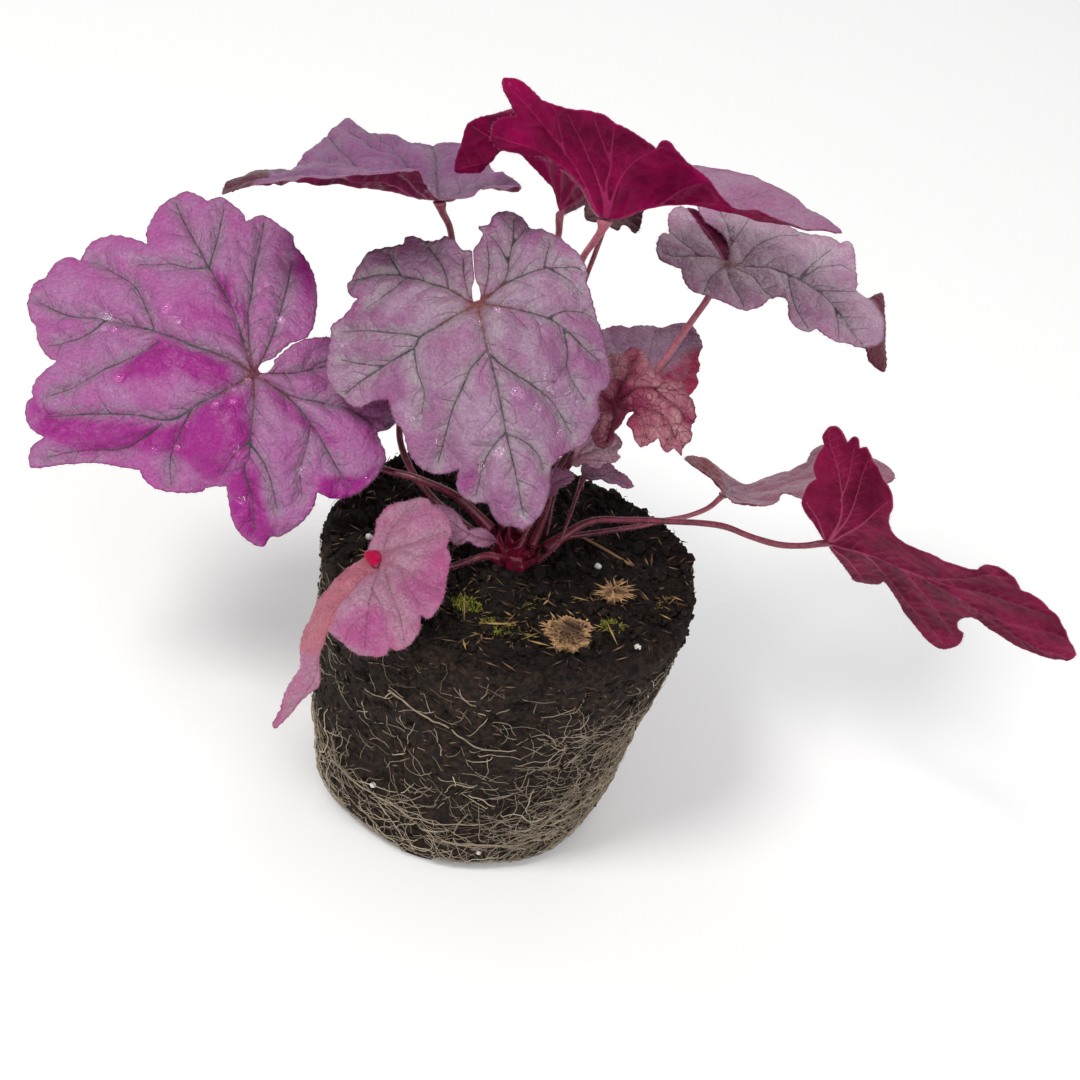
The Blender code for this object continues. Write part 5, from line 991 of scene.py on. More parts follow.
def under_skin(name, deep, bright, pale, gloss=0.36, shine=0.34):
    """The underside of a blade."""
    g = Graph(name, Specular_IOR_Level=shine, IOR=1.27, Specular_Tint=(1.0, 0.50, 0.70, 1.0))
    vd, hubd, rimd = (g.attr(k) for k in ("vein", "hub", "rim"))
    broad = g.noise(13.0, 3.0, 0.5, 0.3)
    mid = g.noise(3.2, 4.0, 0.6)
    fine = g.noise(0.8, 3.0, 0.6)
    colour = g.mix(g.span(broad, 0.34, 0.68), deep, bright)
    colour = g.mix(g.span(mid, 0.45, 0.75, 0.0, 0.35), colour, deep)
    cellw = g.net(3.4, warp=0.5)
    colour = g.mix(g.math("MULTIPLY", g.span(cellw, 0.06, 0.0), 0.06), colour, pale)
    line = g.math("MULTIPLY", g.span(vd, 1.5, 0.4), g.span(hubd, 60.0, 4.0, 0.28, 0.85))
    line = g.math("MAXIMUM", line, g.span(g.attr("twig"), 1.8, 0.3, 0.0, 0.16))
    colour = g.mix(line, colour, pale)
    colour = g.mix(g.math("MULTIPLY", g.span(rimd, 0.5, 0.0), 0.5), colour, pale)
    colour = g.node("HueSaturation", {"Color": colour, "Value": g.span(fine, 0.3, 0.7, 0.9, 1.08)}).outputs["Color"]
    rough = g.span(mid, 0.25, 0.75, gloss - 0.05, gloss + 0.10)
    height = g.math("ADD", g.math("MULTIPLY", g.span(cellw, 0.25, 0.0), 0.6), g.math("MULTIPLY", fine, 0.3))
    return g.done(colour, rough, height, 0.12, 0.6)


def stalk_skin(name, dark, light, base):
    g = Graph(name, Specular_IOR_Level=0.5, Sheen_Weight=0.15, Sheen_Roughness=0.4, Sheen_Tint=(1.0, 0.7, 0.75, 1.0))
    along = g.attr("along")
    round_ = g.attr("round")
    streak = g.noise(1.4, 3.0, 0.6)
    mid = g.noise(4.0, 3.0, 0.6)
    colour = g.mix(g.span(streak, 0.35, 0.7), dark, light)
    colour = g.mix(g.math("MULTIPLY", g.span(round_, 0.5, 1.0), 0.45), colour, light)
    colour = g.mix(g.span(along, 0.22, 0.0), colour, base)
    colour = g.mix(g.span(mid, 0.5, 0.8, 0.0, 0.35), colour, dark)
    paling = g.math("MULTIPLY", g.attr("pale"), g.span(along, 0.30, 0.80))
    colour = g.mix(g.math("MULTIPLY", paling, g.span(streak, 0.3, 0.7, 0.6, 1.0)), colour, lin(192, 104, 122))
    fine = g.noise(0.5, 3.0, 0.6)
    return g.done(colour, g.span(mid, 0.2, 0.8, 0.30, 0.46), fine, 0.06, 0.5)


def plain_skin(name, a, b, c, size, rough=(0.7, 0.9), depth=0.15, spec=0.3, key=None, grain=0.25):
    """A mottled matt surface of three tones."""
    g = Graph(name, Specular_IOR_Level=spec)
    big, mid, fine = g.noise(size, 3.0, 0.6), g.noise(size * grain, 4.0, 0.65), g.noise(size * grain * 0.3, 3.0, 0.6)
    colour = g.mix(g.span(big, 0.35, 0.65), a, b)
    colour = g.mix(g.span(mid, 0.48, 0.72), colour, c)
    if key:
        colour = g.mix(g.attr(key), colour, c)
    return g.done(colour, g.span(mid, 0.3, 0.7, *rough), g.math("ADD", mid, g.math("MULTIPLY", fine, 0.5)), depth, 0.8)


def soil_skin():
    g = Graph("soil", Specular_IOR_Level=0.25)
    big, mid, fine = g.noise(14.0, 3.0, 0.6), g.noise(1.8, 5.0, 0.7), g.noise(0.45, 3.0, 0.7)
    wall, deep = g.attr("wall"), g.attr("deep")
    colour = g.mix(g.span(mid, 0.35, 0.7), lin(9, 7, 7), lin(42, 31, 26))
    brown = g.mix(g.span(mid, 0.38, 0.66), lin(11, 8, 7), lin(64, 46, 36))
    colour = g.mix(g.math("MULTIPLY", wall, g.span(big, 0.3, 0.7, 0.45, 0.95)), colour, brown)
    colour = g.mix(g.span(fine, 0.63, 0.78, 0.0, 0.55), colour, lin(112, 90, 72))
    # painted shade: the colour goes almost black where the surface sinks into hollows and cracks (the deep attribute)
    colour = g.mix(g.math("MULTIPLY", deep, 0.85), colour, lin(8, 6, 6))
    return g.done(colour, g.span(mid, 0.3, 0.7, 0.78, 0.98), g.math("ADD", mid, g.math("MULTIPLY", fine, 0.6)), 0.5, 0.9)


def fibre_skin(name, a, b):
    g = Graph(name, Specular_IOR_Level=0.35)
    tone = g.attr("tone")
    mid, fine = g.noise(3.0, 4.0, 0.6), g.noise(0.5, 3.0, 0.6)
    colour = g.mix(tone, a, b)
    colour = g.mix(g.span(mid, 0.5, 0.8, 0.0, 0.5), colour, a)
    return g.done(colour, g.span(mid, 0.3, 0.7, 0.55, 0.8), fine, 0.05, 0.6)


def water_skin():
    g = Graph("water", Specular_IOR_Level=0.5, IOR=1.33, Transmission_Weight=1.0, Roughness=0.02)
    tint = g.mix(g.span(g.noise(1.5), 0.3, 0.7), (0.98, 0.95, 1.0, 1), (1.0, 1.0, 1.0, 1))
    return g.done(tint)


# ---------------------------------------------------------------- blades
# zones are the more saturated patches of a blade, outlined as the blade is laid out
ZONES = {
    "leaf_1": [([(158, 342), (195, 350), (232, 367), (241, 384), (215, 391), (195, 389), (172, 377), (150, 379),
                 (125, 385), (112, 378), (140, 355)], 0.95, 3.0),
               ([(249, 389), (253, 428), (247, 455), (238, 470), (220, 481), (188, 462), (150, 452), (112, 452),
                 (80, 452), (38, 432), (28, 410), (34, 398), (60, 414), (86, 416), (134, 417), (166, 430), (198, 411), (230, 392)], 0.92, 3.5),
               ([(228, 478), (246, 452), (258, 470), (266, 500), (272, 532), (260, 545), (240, 530), (230, 505)], 0.95, 3.0),
               ([(319, 481), (345, 480), (362, 480), (376, 470), (366, 486), (350, 496), (330, 498), (318, 490)], 1.0, 2.0),
               ([(260, 388), (295, 405), (318, 426), (332, 450), (322, 446), (300, 428), (276, 408)], 0.75, 3.0),
               ([(212, 272), (230, 278), (245, 308), (244, 332), (231, 312), (217, 290)], 0.85, 3.5),
               ([(188, 301), (230, 321), (243, 346), (214, 340), (186, 322)], 0.5, 4.0),
               ([(289, 254), (306, 262), (315, 285), (310, 300), (298, 280)], 0.8, 3.0),
               ([(343, 400), (376, 416), (390, 430), (374, 442), (350, 420)], 0.55, 4.0),
               ([(28, 400), (40, 396), (50, 420), (44, 440), (30, 430)], 0.7, 4.0)],
    "leaf_2": [([(440, 338), (462, 322), (474, 322), (478, 344), (468, 356), (444, 358), (432, 350)], 0.45, 5.0),
               ([(479, 356), (488, 366), (494, 396), (486, 398), (476, 380)], 0.5, 4.0),
               ([(470, 470), (478, 462), (482, 478), (470, 492), (462, 484)], 0.8, 4.0),
               ([(560, 336), (586, 352), (604, 372), (592, 384), (570, 366)], 0.5, 5.0),
               ([(500, 310), (530, 322), (546, 332), (520, 330)], 0.5, 4.0),
               ([(545, 290), (575, 300), (590, 330), (570, 325), (548, 308)], 0.35, 5.0),
               ([(392, 402), (404, 420), (406, 436), (398, 420)], 0.5, 4.0),
               ([(340, 385), (380, 380), (400, 392), (360, 404), (342, 400)], 0.25, 5.0)],
    "leaf_9": [([(338, 618), (360, 606), (388, 612), (392, 640), (370, 655), (345, 645)], 0.75, 4.0),
               ([(400, 590), (430, 560), (448, 548), (450, 575), (438, 605), (424, 616)], 0.6, 4.0),
               ([(404, 520), (430, 512), (446, 530), (420, 536)], 0.3, 4.0)],
    "leaf_3": [([(330, 150), (360, 140), (400, 150), (440, 168), (400, 176), (350, 172)], 0.45, 5.0)],
    "leaf_10": [([(630, 376), (660, 372), (690, 352), (706, 346), (704, 384), (690, 408), (650, 420), (630, 400)], 0.95, 4.0)],
    "leaf_6": [([(780, 290), (820, 310), (840, 335), (800, 325)], 0.25, 5.0)],
}
# a flap whose underside shows
FLAPS = {"leaf_6": [(865, 299), (872, 290), (886, 292), (886, 378), (872, 372), (857, 349), (871, 345), (878, 338), (879, 322),
                    (875, 311)],
         "leaf_7": [(678, 453), (700, 454), (712, 461), (718, 474), (725, 487), (723, 494), (712, 485), (700, 477), (688, 470)],
         "leaf_3": [(214, 200), (220, 188), (232, 179), (254, 168), (266, 166), (271, 178), (266, 188), (250, 208), (234, 206)],
         "leaf_9": [(364, 548), (376, 567), (361, 582), (346, 600), (334, 630), (320, 656), (298, 650), (306, 612), (330, 580),
                    (346, 564)]}
SINUS = {"leaf_2": ((472.8, 253), (473.7, 266), (475.0, 280))}
# drops of water, where they lie in the blade's own layout, and their size in mm
DROPS = {"leaf_1": [(109, 318, 1.7), (104, 332, 1.2), (115, 334, 1.0), (170, 313, 1.8), (180, 322, 1.2), (122, 381, 1.7),
                    (265, 286, 1.0), (281, 322, 1.2), (216, 408, 1.1), (234, 403, 1.0), (155, 447, 1.0), (179, 447, .9),
                    (234, 448, 1.4), (302, 469, 1.6), (247, 381, 1.0), (260, 379, 1.0), (241, 498, 1.3), (363, 478, 1.0),
                    (190, 424, .8), (236, 391, .7), (283, 530, 1.0), (309, 505, .9)],
         "leaf_2": [(497, 314, 1.1), (479, 323, .8), (516, 394, 1.6), (540, 374, 1.0), (548, 388, 1.1), (564, 392, 1.4),
                    (532, 408, 1.1), (554, 433, 1.2), (500, 452, 1.8), (485, 468, 1.9), (422, 418, .9), (414, 419, .8),
                    (437, 439, .8), (485, 488, 1.0), (505, 503, .8), (575, 400, .8), (520, 512, 1.2), (345, 346, .7),
                    (583, 268, .8), (450, 461, .8), (551, 372, .6), (524, 427, .7)]}

WEAR = {  # how deeply the veins sink, how much the blade swells between them, and its ripples
    "leaf_1": (1.2, 2.5, 1.3), "leaf_2": (1.0, 2.2, 1.2), "leaf_3": (0.9, 1.9, 1.2), "leaf_4": (0.5, 0.9, 0.6),
    "leaf_5": (0.5, 1.0, 0.7), "leaf_6": (0.9, 1.8, 1.0), "leaf_7": (0.5, 0.9, 0.8), "leaf_8": (0.4, 0.55, 0.5),
    "leaf_9": (0.7, 1.7, 1.1), "leaf_10": (0.5, 1.0, 0.7), "leaf_11": (1.2, 2.8, 1.8), "leaf_12": (0.4, 0.9, 0.7),
    "leaf_13": (0.3, 0.5, 0.4), "leaf_14": (0.4, 0.9, 0.7), "leaf_15": (0.7, 1.4, 1.0), "leaf_16": (0.4, 0.9, 0.6)}


def field_of(polygon, soft, uv):
    """1 inside a polygon of the layout, falling to 0 over soft units past its edge."""
    poly = np.array([(x, -y) for x, y in polygon], float)
    d = min_dist(uv, poly, np.roll(poly, -1, 0))
    d = np.where(inside(poly, uv), d, -d)
    return ease(-soft, soft, d)


def shut(leaf, line):
    """Draws the two margins of a deep notch together along a line."""
    ys, xs = [q[1] for q in line], [q[0] for q in line]
    edge = []
    for q in leaf["edge"]:
        x, y = q[0], -q[1]
        mid = float(np.interp(y, ys, xs))
        if ys[0] - 2 < y < ys[-1] + 2 and abs(x - mid) < 4:
            x = mid + (0.45 if x > mid else -0.45)
        edge.append((x, q[1]) + tuple(q[2:]))
    leaf["edge"] = edge
    leaf["shut"] = (xs, ys)


def toothed(leaf, gap, deep):
    """The blade's outline with small uneven teeth, each ending in a point."""
    scale = np.array(pitch(leaf))
    q = margin(leaf["edge"], 8) * scale
    seg = np.linalg.norm(np.roll(q, -1, 0) - q, axis=1)
    at = np.concatenate([[0], np.cumsum(seg)])
    s = np.linspace(0, at[-1], int(at[-1] / 0.36), endpoint=False)
    ring = np.vstack([q, q[:1]])
    q = np.stack([np.interp(s, at, ring[:, k]) for k in range(2)], -1)
    x, y = q[:, 0], q[:, 1]
    turn = np.sign((x * np.roll(y, -1) - np.roll(x, -1) * y).sum())
    run = unit(np.roll(q, -2, 0) - np.roll(q, 2, 0))
    out = turn * np.stack([run[:, 1], -run[:, 0]], -1)
    key = np.stack([s / (gap * 2.6), s * 0 + leaf["seed"], s * 0], -1)
    phase = s / gap + 0.55 * smooth_noise(key, 61)
    f = phase - np.floor(phase)
    tooth = np.abs(np.sin(pi * f)) ** 0.55 + 0.75 * np.exp(-((f - 0.5) / 0.075) ** 2)
    size = deep * (0.75 + 0.45 * smooth_noise(key * 1.7 + 9.0, 62))
    far = ease(2.5, 8.0, np.linalg.norm(q - np.array(leaf["origin"]) * scale, axis=1))
    if "shut" in leaf:
        xs, ys = leaf["shut"]
        u, v = q[:, 0] / scale[0], -q[:, 1] / scale[1]
        far = far * np.where((np.abs(u - np.interp(v, ys, xs)) < 3) & (v > ys[0] - 8) & (v < ys[-1] + 14), 0.0, 1.0)
    q = q + out * ((tooth - 0.8) * size * far)[:, None]
    leaf["edge"] = [tuple(p) for p in q / scale]


def twigs(leaf, rng, gap):
    """Side veins: each leaves its parent at a slant and bends forward until it meets the
    margin or another vein; then smaller ones from those."""
    scale = np.array(pitch(leaf))
    poly = np.array([(p[0], p[1]) for p in leaf["edge"]]) * scale
    poly_b = np.roll(poly, -1, 0)
    parents = [(spline(line, 8) * scale, w, 0) for line, w in leaf["veins"]]
    taken = np.vstack([p for p, _, _ in parents])
    owner = np.concatenate([np.full(len(p), i) for i, (p, _, _) in enumerate(parents)])
    queue = list(range(len(parents)))
    for i in queue:
        line, w, depth = parents[i]
        seg = np.linalg.norm(line[1:] - line[:-1], axis=1)
        at = np.concatenate([[0], np.cumsum(seg)])
        total, space = at[-1], gap * (1.0 if depth == 0 else 0.8)
        s, hand = space * rng.uniform(0.5, 0.9) + (2.0 if depth == 0 else 0), rng.choice((-1, 1))
        while s < total - 0.8:
            p = np.array([np.interp(s, at, line[:, k]) for k in range(2)])
            e = np.array([np.interp(min(s + 0.6, total), at, line[:, k]) for k in range(2)]) - p
            head = math.atan2(e[1], e[0]) + hand * radians(rng.uniform(40, 66))
            reach = gap * 2.3 * (0.45 + 0.55 * w) * rng.uniform(0.55, 1.15) * (1 - 0.4 * s / total)
            curl = rng.uniform(0.5, 3.6)
            pts = [p]
            while 0.75 * len(pts) < reach:
                head += radians(-hand * curl + rng.gauss(0, 7))
                step_ = pts[-1] + 0.75 * np.array((cos(head), sin(head)))
                if not inside(poly, step_[None])[0] or min_dist(step_[None], poly, poly_b)[0] < 0.7:
                    break
                d = np.hypot(*(taken - step_).T)
                own = owner == i
                if (d[~own] < 1.0).any() or (len(pts) > 2 and (d[own] < 0.7).any()):
                    break
                pts.append(step_)
            if len(pts) > 2:
                pts = np.array(pts)
                parents.append((pts, 0.40 * w, depth + 1))
                taken = np.vstack([taken, pts[1:]])
                owner = np.concatenate([owner, np.full(len(pts) - 1, len(parents) - 1)])
            hand = -hand
            s += space * rng.uniform(0.6, 1.0)
    return [(p / scale, max(w, 0.13)) for p, w, d in parents if d]


def blade(name, leaf, step, mats, flip):
    big = step >= 0.85
    if name in SINUS:
        shut(leaf, SINUS[name])
    toothed(leaf, 2.9 if big else 2.0, 0.17 if name in ("leaf_3", "leaf_4", "leaf_5", "leaf_7", "leaf_8") else 0.27)
    leaf["main"] = list(leaf["veins"])
    small = twigs(leaf, random.Random(leaf["seed"] * 31), 5.2 if big else 3.4)
    main_ = [(spline(line, 4), w) for line, w in leaf["main"]]
    # the mesh follows every vein, but a side vein only from a little off its parent
    leaf["veins"] = main_ + [(line[1:], w) for line, w in small]
    uv, tri, mid = grow(leaf, step, 1)
    leaf["veins"] = main_ + small
    n = normals(mid, tri)
    side = -1.0 if flip else 1.0
    sunk, swell, ripple = WEAR[name]
    # veins as lines in space, thinner towards their tips
    a, b, wa, weight, thick_ = [], [], [], [], []
    for i, (line, w) in enumerate(leaf["veins"]):
        main = i < len(leaf["main"])
        p = lay(leaf, np.asarray(line))
        seg = np.linalg.norm(p[1:] - p[:-1], axis=1)
        at = np.concatenate([[0], np.cumsum(seg)]) / max(seg.sum(), 1e-9)
        a.append(p[:-1]); b.append(p[1:])
        taper = 1 - 0.75 * at[:-1] ** 0.8
        wa.append(0.44 * w * taper + 0.075)
        weight.append(w * (1 - 0.6 * at[:-1]))
        thick_.append(np.full(len(seg), main))
    a, b = np.vstack(a), np.vstack(b)
    wa, weight, main = np.concatenate(wa), np.concatenate(weight), np.concatenate(thick_)
    vein = np.empty(len(mid)); twig = np.empty(len(mid)); near = np.empty(len(mid)); close = np.empty(len(mid))
    crease = np.empty(len(mid)); ridge = np.empty(len(mid))
    soft_a, soft_b = 0.6 + 1.2 * weight, 0.30 + 0.5 * weight
    for i in range(0, len(mid), 500):
        k = slice(i, i + 500)
        # only the segments near this run of points matter
        lo, hi = mid[k].min(0) - 21, mid[k].max(0) + 21
        use = ((np.maximum(a, b) > lo) & (np.minimum(a, b) < hi)).all(1)
        d = gap_to(mid[k], a[use], b[use])
        weight_, soft1, soft2, wa_, main_ = weight[use], soft_a[use], soft_b[use], wa[use], main[use]
        ratio = d / wa_
        vein[k] = np.minimum(ratio[:, main_].min(1), 14) if main_.any() else 14
        twig[k] = np.minimum(ratio[:, ~main_].min(1), 14) if (~main_).any() else 14
        near[k] = np.minimum(d[:, main_].min(1), 20) if main_.any() else 20
        close[k] = np.minimum(d.min(1), 20)
        crease[k] = (weight_ * np.exp(-(d / soft1) ** 2)).max(1)
        ridge[k] = (weight_ * np.exp(-(d / soft2) ** 2)).max(1)
    ring = lay(leaf, np.array([(p[0], p[1]) for p in leaf["edge"]]))
    rim = min_dist(mid, ring, np.roll(ring, -1, 0), 900)
    base = lay(leaf, [leaf["origin"]])[0]
    hub = np.linalg.norm(mid - base, axis=1)
    seed = leaf["seed"] * 10
    warp = np.stack([uv[:, 0] + 5 * smooth_noise(mid / 7, seed), uv[:, 1] + 5 * smooth_noise(mid / 7, seed + 5)], -1)
    patch = np.zeros(len(mid))
    for polygon, k, soft in ZONES.get(name, ()):
        patch = np.maximum(patch, k * field_of(polygon, soft * 2, warp))
    flap = field_of(FLAPS[name], 4.5 if name == "leaf_9" else 1.3, uv) if name in FLAPS else np.zeros(len(mid))
    loose = ease(0, 6, hub)
    edge = np.exp(-rim / 5.0)
    lift_ = (-0.85 * sunk * crease + swell * 0.75 * (1 - np.exp(-(near / 3.2) ** 1.4)) * (1 - 0.6 * edge)
             + swell * 0.30 * (1 - np.exp(-(close / 1.2) ** 1.6))
             + ripple * 0.9 * smooth_noise(mid / 11.0, seed + 1) * (0.35 + edge)
             + ripple * 0.45 * smooth_noise(mid / 4.5, seed + 2) + 0.16 * fbm(mid / 1.6, 2, seed + 3))
    lift_ = lift_ * loose
    half = 0.20 + 0.05 * np.exp(-rim / 0.8) * 0 - 0.08 * np.exp(-rim / 0.5)
    up = mid + (side * (lift_ + half))[:, None] * n
    low = mid + (side * (lift_ - half - 0.42 * ridge * loose))[:, None] * n
    count = len(mid)
    edges = {}
    for x, y, z in tri:
        edges[(x, y)] = edges[(y, z)] = edges[(z, x)] = True
    border = np.array([(x, y) for x, y in edges if (y, x) not in edges])
    x, y = border[:, 0], border[:, 1]
    rimt = np.vstack([np.stack([y, x, x + count], -1), np.stack([y, x + count, y + count], -1)])
    if side > 0:
        tris = np.vstack([tri, tri[:, ::-1] + count, rimt])
    else:
        tris = np.vstack([tri[:, ::-1], tri + count, rimt[:, ::-1]])
    which = np.concatenate([np.zeros(len(tri)), np.ones(len(tri)), np.zeros(len(rimt))])
    points = np.vstack([up, low])
    fields = {k: np.concatenate([v, v]) for k, v in
              (("vein", vein), ("twig", twig), ("near", near), ("rim", rim), ("hub", hub), ("patch", patch), ("flap", flap))}
    # short hairs along the margin
    rng = random.Random(seed + 7)
    hp, ht, base_i = [], [], len(points)
    out = {}
    for u, v in border:
        d = unit(np.cross(mid[v] - mid[u], n[u]))
        out[u] = d
    for u, v in border:
        if rng.random() > 0.42:
            continue
        t = rng.random()
        root = mid[u] * (1 - t) + mid[v] * t + side * lift_[u] * n[u]
        tip_dir = unit(out[u] + 0.5 * np.array([rng.uniform(-1, 1) for _ in range(3)]))
        length = rng.uniform(0.5, 1.35)
        w = 0.045
        along = unit(mid[v] - mid[u])
        hp += [root - along * w - out[u] * 0.15, root + along * w - out[u] * 0.15, root + n[u] * w * 1.5 - out[u] * 0.15,
               root + tip_dir * length]
        ht += [(base_i, base_i + 2, base_i + 1), (base_i, base_i + 1, base_i + 3), (base_i + 1, base_i + 2, base_i + 3),
               (base_i + 2, base_i, base_i + 3)]
        base_i += 4
    if hp:
        points = np.vstack([points, hp])
        tris = np.vstack([tris, ht])
        which = np.concatenate([which, np.full(len(ht), 2)])
        for k in fields:
            fields[k] = np.concatenate([fields[k], np.zeros(len(hp))])
    obj = solid(name + "_blade", points, tris, mats, which, fields)
    ride(obj, SLOTS[name], *([name] if name in LEAVES else []))
    nn = side * n
    leaf["fine"] = (uv, up, nn, base, n[np.argmin(hub)] * side)
    return obj


SLOTS = {m["node"]: m["material_slot"] for m in frame["record"]["subparts"]}
hair = fibre_skin("hair", lin(200, 150, 165), lin(235, 205, 215))
rose_under = under_skin("under_rose", lin(84, 14, 46), lin(116, 28, 70), lin(160, 80, 112), 0.42)
wine_under = under_skin("under_wine", lin(94, 0, 44), lin(134, 2, 66), lin(158, 40, 90), 0.36)
matt_under = under_skin("under_matt", lin(96, 14, 46), lin(134, 26, 68), lin(172, 74, 108), 0.50, 0.08)
SKINS = {
    "leaf_1": top_skin("top_1", lin(164, 84, 146), lin(160, 108, 152), lin(168, 52, 138), lin(150, 0, 124),
                       lin(58, 54, 58), lin(92, 30, 40), lin(120, 34, 96), 1.0, 0.10, veil=lin(142, 122, 138)),
    "leaf_2": top_skin("top_2", lin(146, 92, 132), lin(164, 136, 158), lin(150, 76, 128), lin(146, 40, 122),
                       lin(50, 52, 52), lin(112, 50, 40), lin(112, 50, 84), 1.0, 0.10, veil=lin(152, 142, 146)),
    "leaf_3": top_skin("top_3", lin(128, 70, 120), lin(148, 106, 142), lin(134, 46, 116), lin(132, 36, 120),
                       lin(62, 44, 60), lin(86, 24, 48), lin(150, 96, 126), 0.9, 0.12, flap=lin(88, 34, 52), veil=lin(128, 108, 124)),
    "leaf_4": top_skin("top_4", lin(100, 44, 80), lin(112, 68, 96), lin(104, 30, 74), lin(100, 30, 80),
                       lin(50, 28, 42), lin(76, 18, 40), lin(90, 34, 64), 0.8, 0.12),
    "leaf_5": top_skin("top_5", lin(150, 84, 128), lin(158, 116, 144), lin(148, 62, 118), lin(140, 40, 112),
                       lin(84, 50, 74), lin(96, 26, 54), lin(122, 46, 92), 0.6, 0.10),
    "leaf_6": top_skin("top_6", lin(164, 118, 148), lin(188, 158, 178), lin(162, 92, 138), lin(156, 66, 132),
                       lin(52, 38, 50), lin(112, 52, 58), lin(110, 46, 84), 0.85, 0.12, flap=lin(88, 0, 36), veil=lin(174, 158, 168)),
    "leaf_7": top_skin("top_7", lin(146, 82, 108), lin(160, 116, 136), lin(146, 56, 92), lin(140, 44, 96),
                       lin(82, 44, 60), lin(96, 22, 46), lin(110, 28, 60), 0.6, 0.10, flap=lin(132, 2, 44)),
    "leaf_8": top_skin("top_8", lin(140, 78, 114), lin(150, 106, 130), lin(140, 58, 104), lin(130, 40, 96),
                       lin(70, 42, 58), lin(90, 22, 46), lin(110, 34, 72), 0.8, 0.12),
    "leaf_9": top_skin("top_9", lin(168, 98, 134), lin(166, 126, 148), lin(170, 66, 122), lin(164, 52, 124),
                       lin(124, 56, 88), lin(148, 84, 104), lin(150, 76, 108), 0.62, 0.08, spots=0.7, flap=lin(170, 96, 112), veil=lin(162, 128, 142)),
    "leaf_10": top_skin("top_10", lin(144, 98, 132), lin(172, 138, 162), lin(132, 52, 92), lin(158, 10, 62),
                        lin(92, 58, 78), lin(96, 28, 50), lin(110, 40, 72), 0.6, 0.12),
    "leaf_11": top_skin("top_11", lin(142, 42, 80), lin(190, 142, 146), lin(146, 32, 78), lin(120, 20, 60),
                        lin(88, 4, 42), lin(112, 18, 52), lin(98, 10, 48), 1.0, 0.85),
    "leaf_12": top_skin("top_12", lin(196, 148, 166), lin(208, 174, 186), lin(184, 118, 146), lin(176, 96, 132),
                        lin(120, 78, 104), lin(130, 54, 84), lin(140, 80, 108), 0.6, 0.10),
    "leaf_15": top_skin("top_15", lin(84, 36, 54), lin(112, 78, 84), lin(76, 24, 44), lin(76, 22, 40),
                        lin(44, 22, 30), lin(76, 22, 36), lin(62, 18, 36), 0.8, 0.3),
    "leaf_16": top_skin("top_16", lin(150, 94, 130), lin(168, 124, 150), lin(150, 70, 118), lin(138, 54, 108),
                        lin(80, 42, 66), lin(98, 32, 60), lin(108, 46, 80), 0.7, 0.10),
}
SKINS["leaf_13"] = SKINS["leaf_16"]
SKINS["leaf_14"] = SKINS["leaf_16"]

prepare()
ALL = list(LEAVES)
for name, leaf in LEAVES.items():
    big = name in ("leaf_1", "leaf_2", "leaf_3", "leaf_5", "leaf_6", "leaf_8", "leaf_7", "leaf_9")
    step = (0.95 if name in ("leaf_1", "leaf_2") else 1.15) if big else (0.9 if name in ("leaf_4", "leaf_10", "leaf_11") else 0.6)
    under = wine_under if name in ("leaf_4", "leaf_5", "leaf_15") else matt_under if name in ("leaf_7", "leaf_8") else rose_under
    blade(name, leaf, step, [SKINS[name], under, hair], leaf.get("flip", False))

# the near lobe of one blade stands up behind its own hub and shows its underside
fold = dict(LEAVES["leaf_6"], seed=26, base=(727, 264), lines=[([(724, 260), (710, 236), (694, 218)], .5)],
            out=[(686, 211), (694, 211), (703, 214), (712, 218, 1), (720, 224), (729, 235), (735, 250), (730, 266), (722, 264),
                 (710, 252), (698, 240), (689, 226)],
            depth=[(q[0], q[1], q[2] - 1.6) for q in LEAVES["leaf_6"]["depth"]])
lay_out(fold)
WEAR["leaf_6_fold"] = (0.3, 0.6, 0.5)
SLOTS["leaf_6_fold"] = "leaf_silver"
blade("leaf_6_fold", fold, 0.7, [rose_under, rose_under, hair], False)

# beside the hub of the low blade its margin curls back and shows crimson
u, v = np.meshgrid(np.linspace(0, 1, 15), np.linspace(0, 1, 13), indexing="ij")
corner = [np.array(q, float) for q in ((361, 553), (378, 548.5), (383, 560), (373, 569))]
ru, rv = 0.5 + (u - 0.5) * (1 - 0.30 * (2 * v - 1) ** 4), 0.5 + (v - 0.5) * (1 - 0.34 * (2 * u - 1) ** 4 + 0.10 * np.sin(7 * u))
flat = ((1 - ru) * (1 - rv))[..., None] * corner[0] + (ru * (1 - rv))[..., None] * corner[1] \
    + (ru * rv)[..., None] * corner[2] + ((1 - ru) * rv)[..., None] * corner[3]
deep_ = LEAVES["leaf_9"]["warp"](np.stack([flat[..., 0].ravel(), -flat[..., 1].ravel()], -1))[:, 2].reshape(u.shape)
deep_ = deep_ + 1.3 + 1.6 * np.sin(pi * u) * np.sin(pi * v) - 1.0 * u ** 4 + 0.25 * smooth_noise(np.stack([u.ravel() * 4, v.ravel() * 4, v.ravel() * 0], -1), 8).reshape(u.shape)
curl = world(flat[..., 0], flat[..., 1], deep_)
nr, nc = u.shape
idx = np.arange(nr * nc).reshape(nr, nc)
a, b, c, d = idx[:-1, :-1].ravel(), idx[:-1, 1:].ravel(), idx[1:, 1:].ravel(), idx[1:, :-1].ravel()
tri = np.vstack([np.stack([a, b, c], -1), np.stack([a, c, d], -1)])
p = curl.reshape(-1, 3)
n = normals(p, tri)
ring = np.concatenate([idx[0, :-1], idx[:-1, -1], idx[-1, :0:-1], idx[:0:-1, 0]])
nxt = np.roll(ring, -1)
rimt = np.vstack([np.stack([nxt, ring, ring + len(p)], -1), np.stack([nxt, ring + len(p), nxt + len(p)], -1)])
rim = np.minimum(np.minimum(u, 1 - u) * 6, np.minimum(v, 1 - v) * 5).ravel()
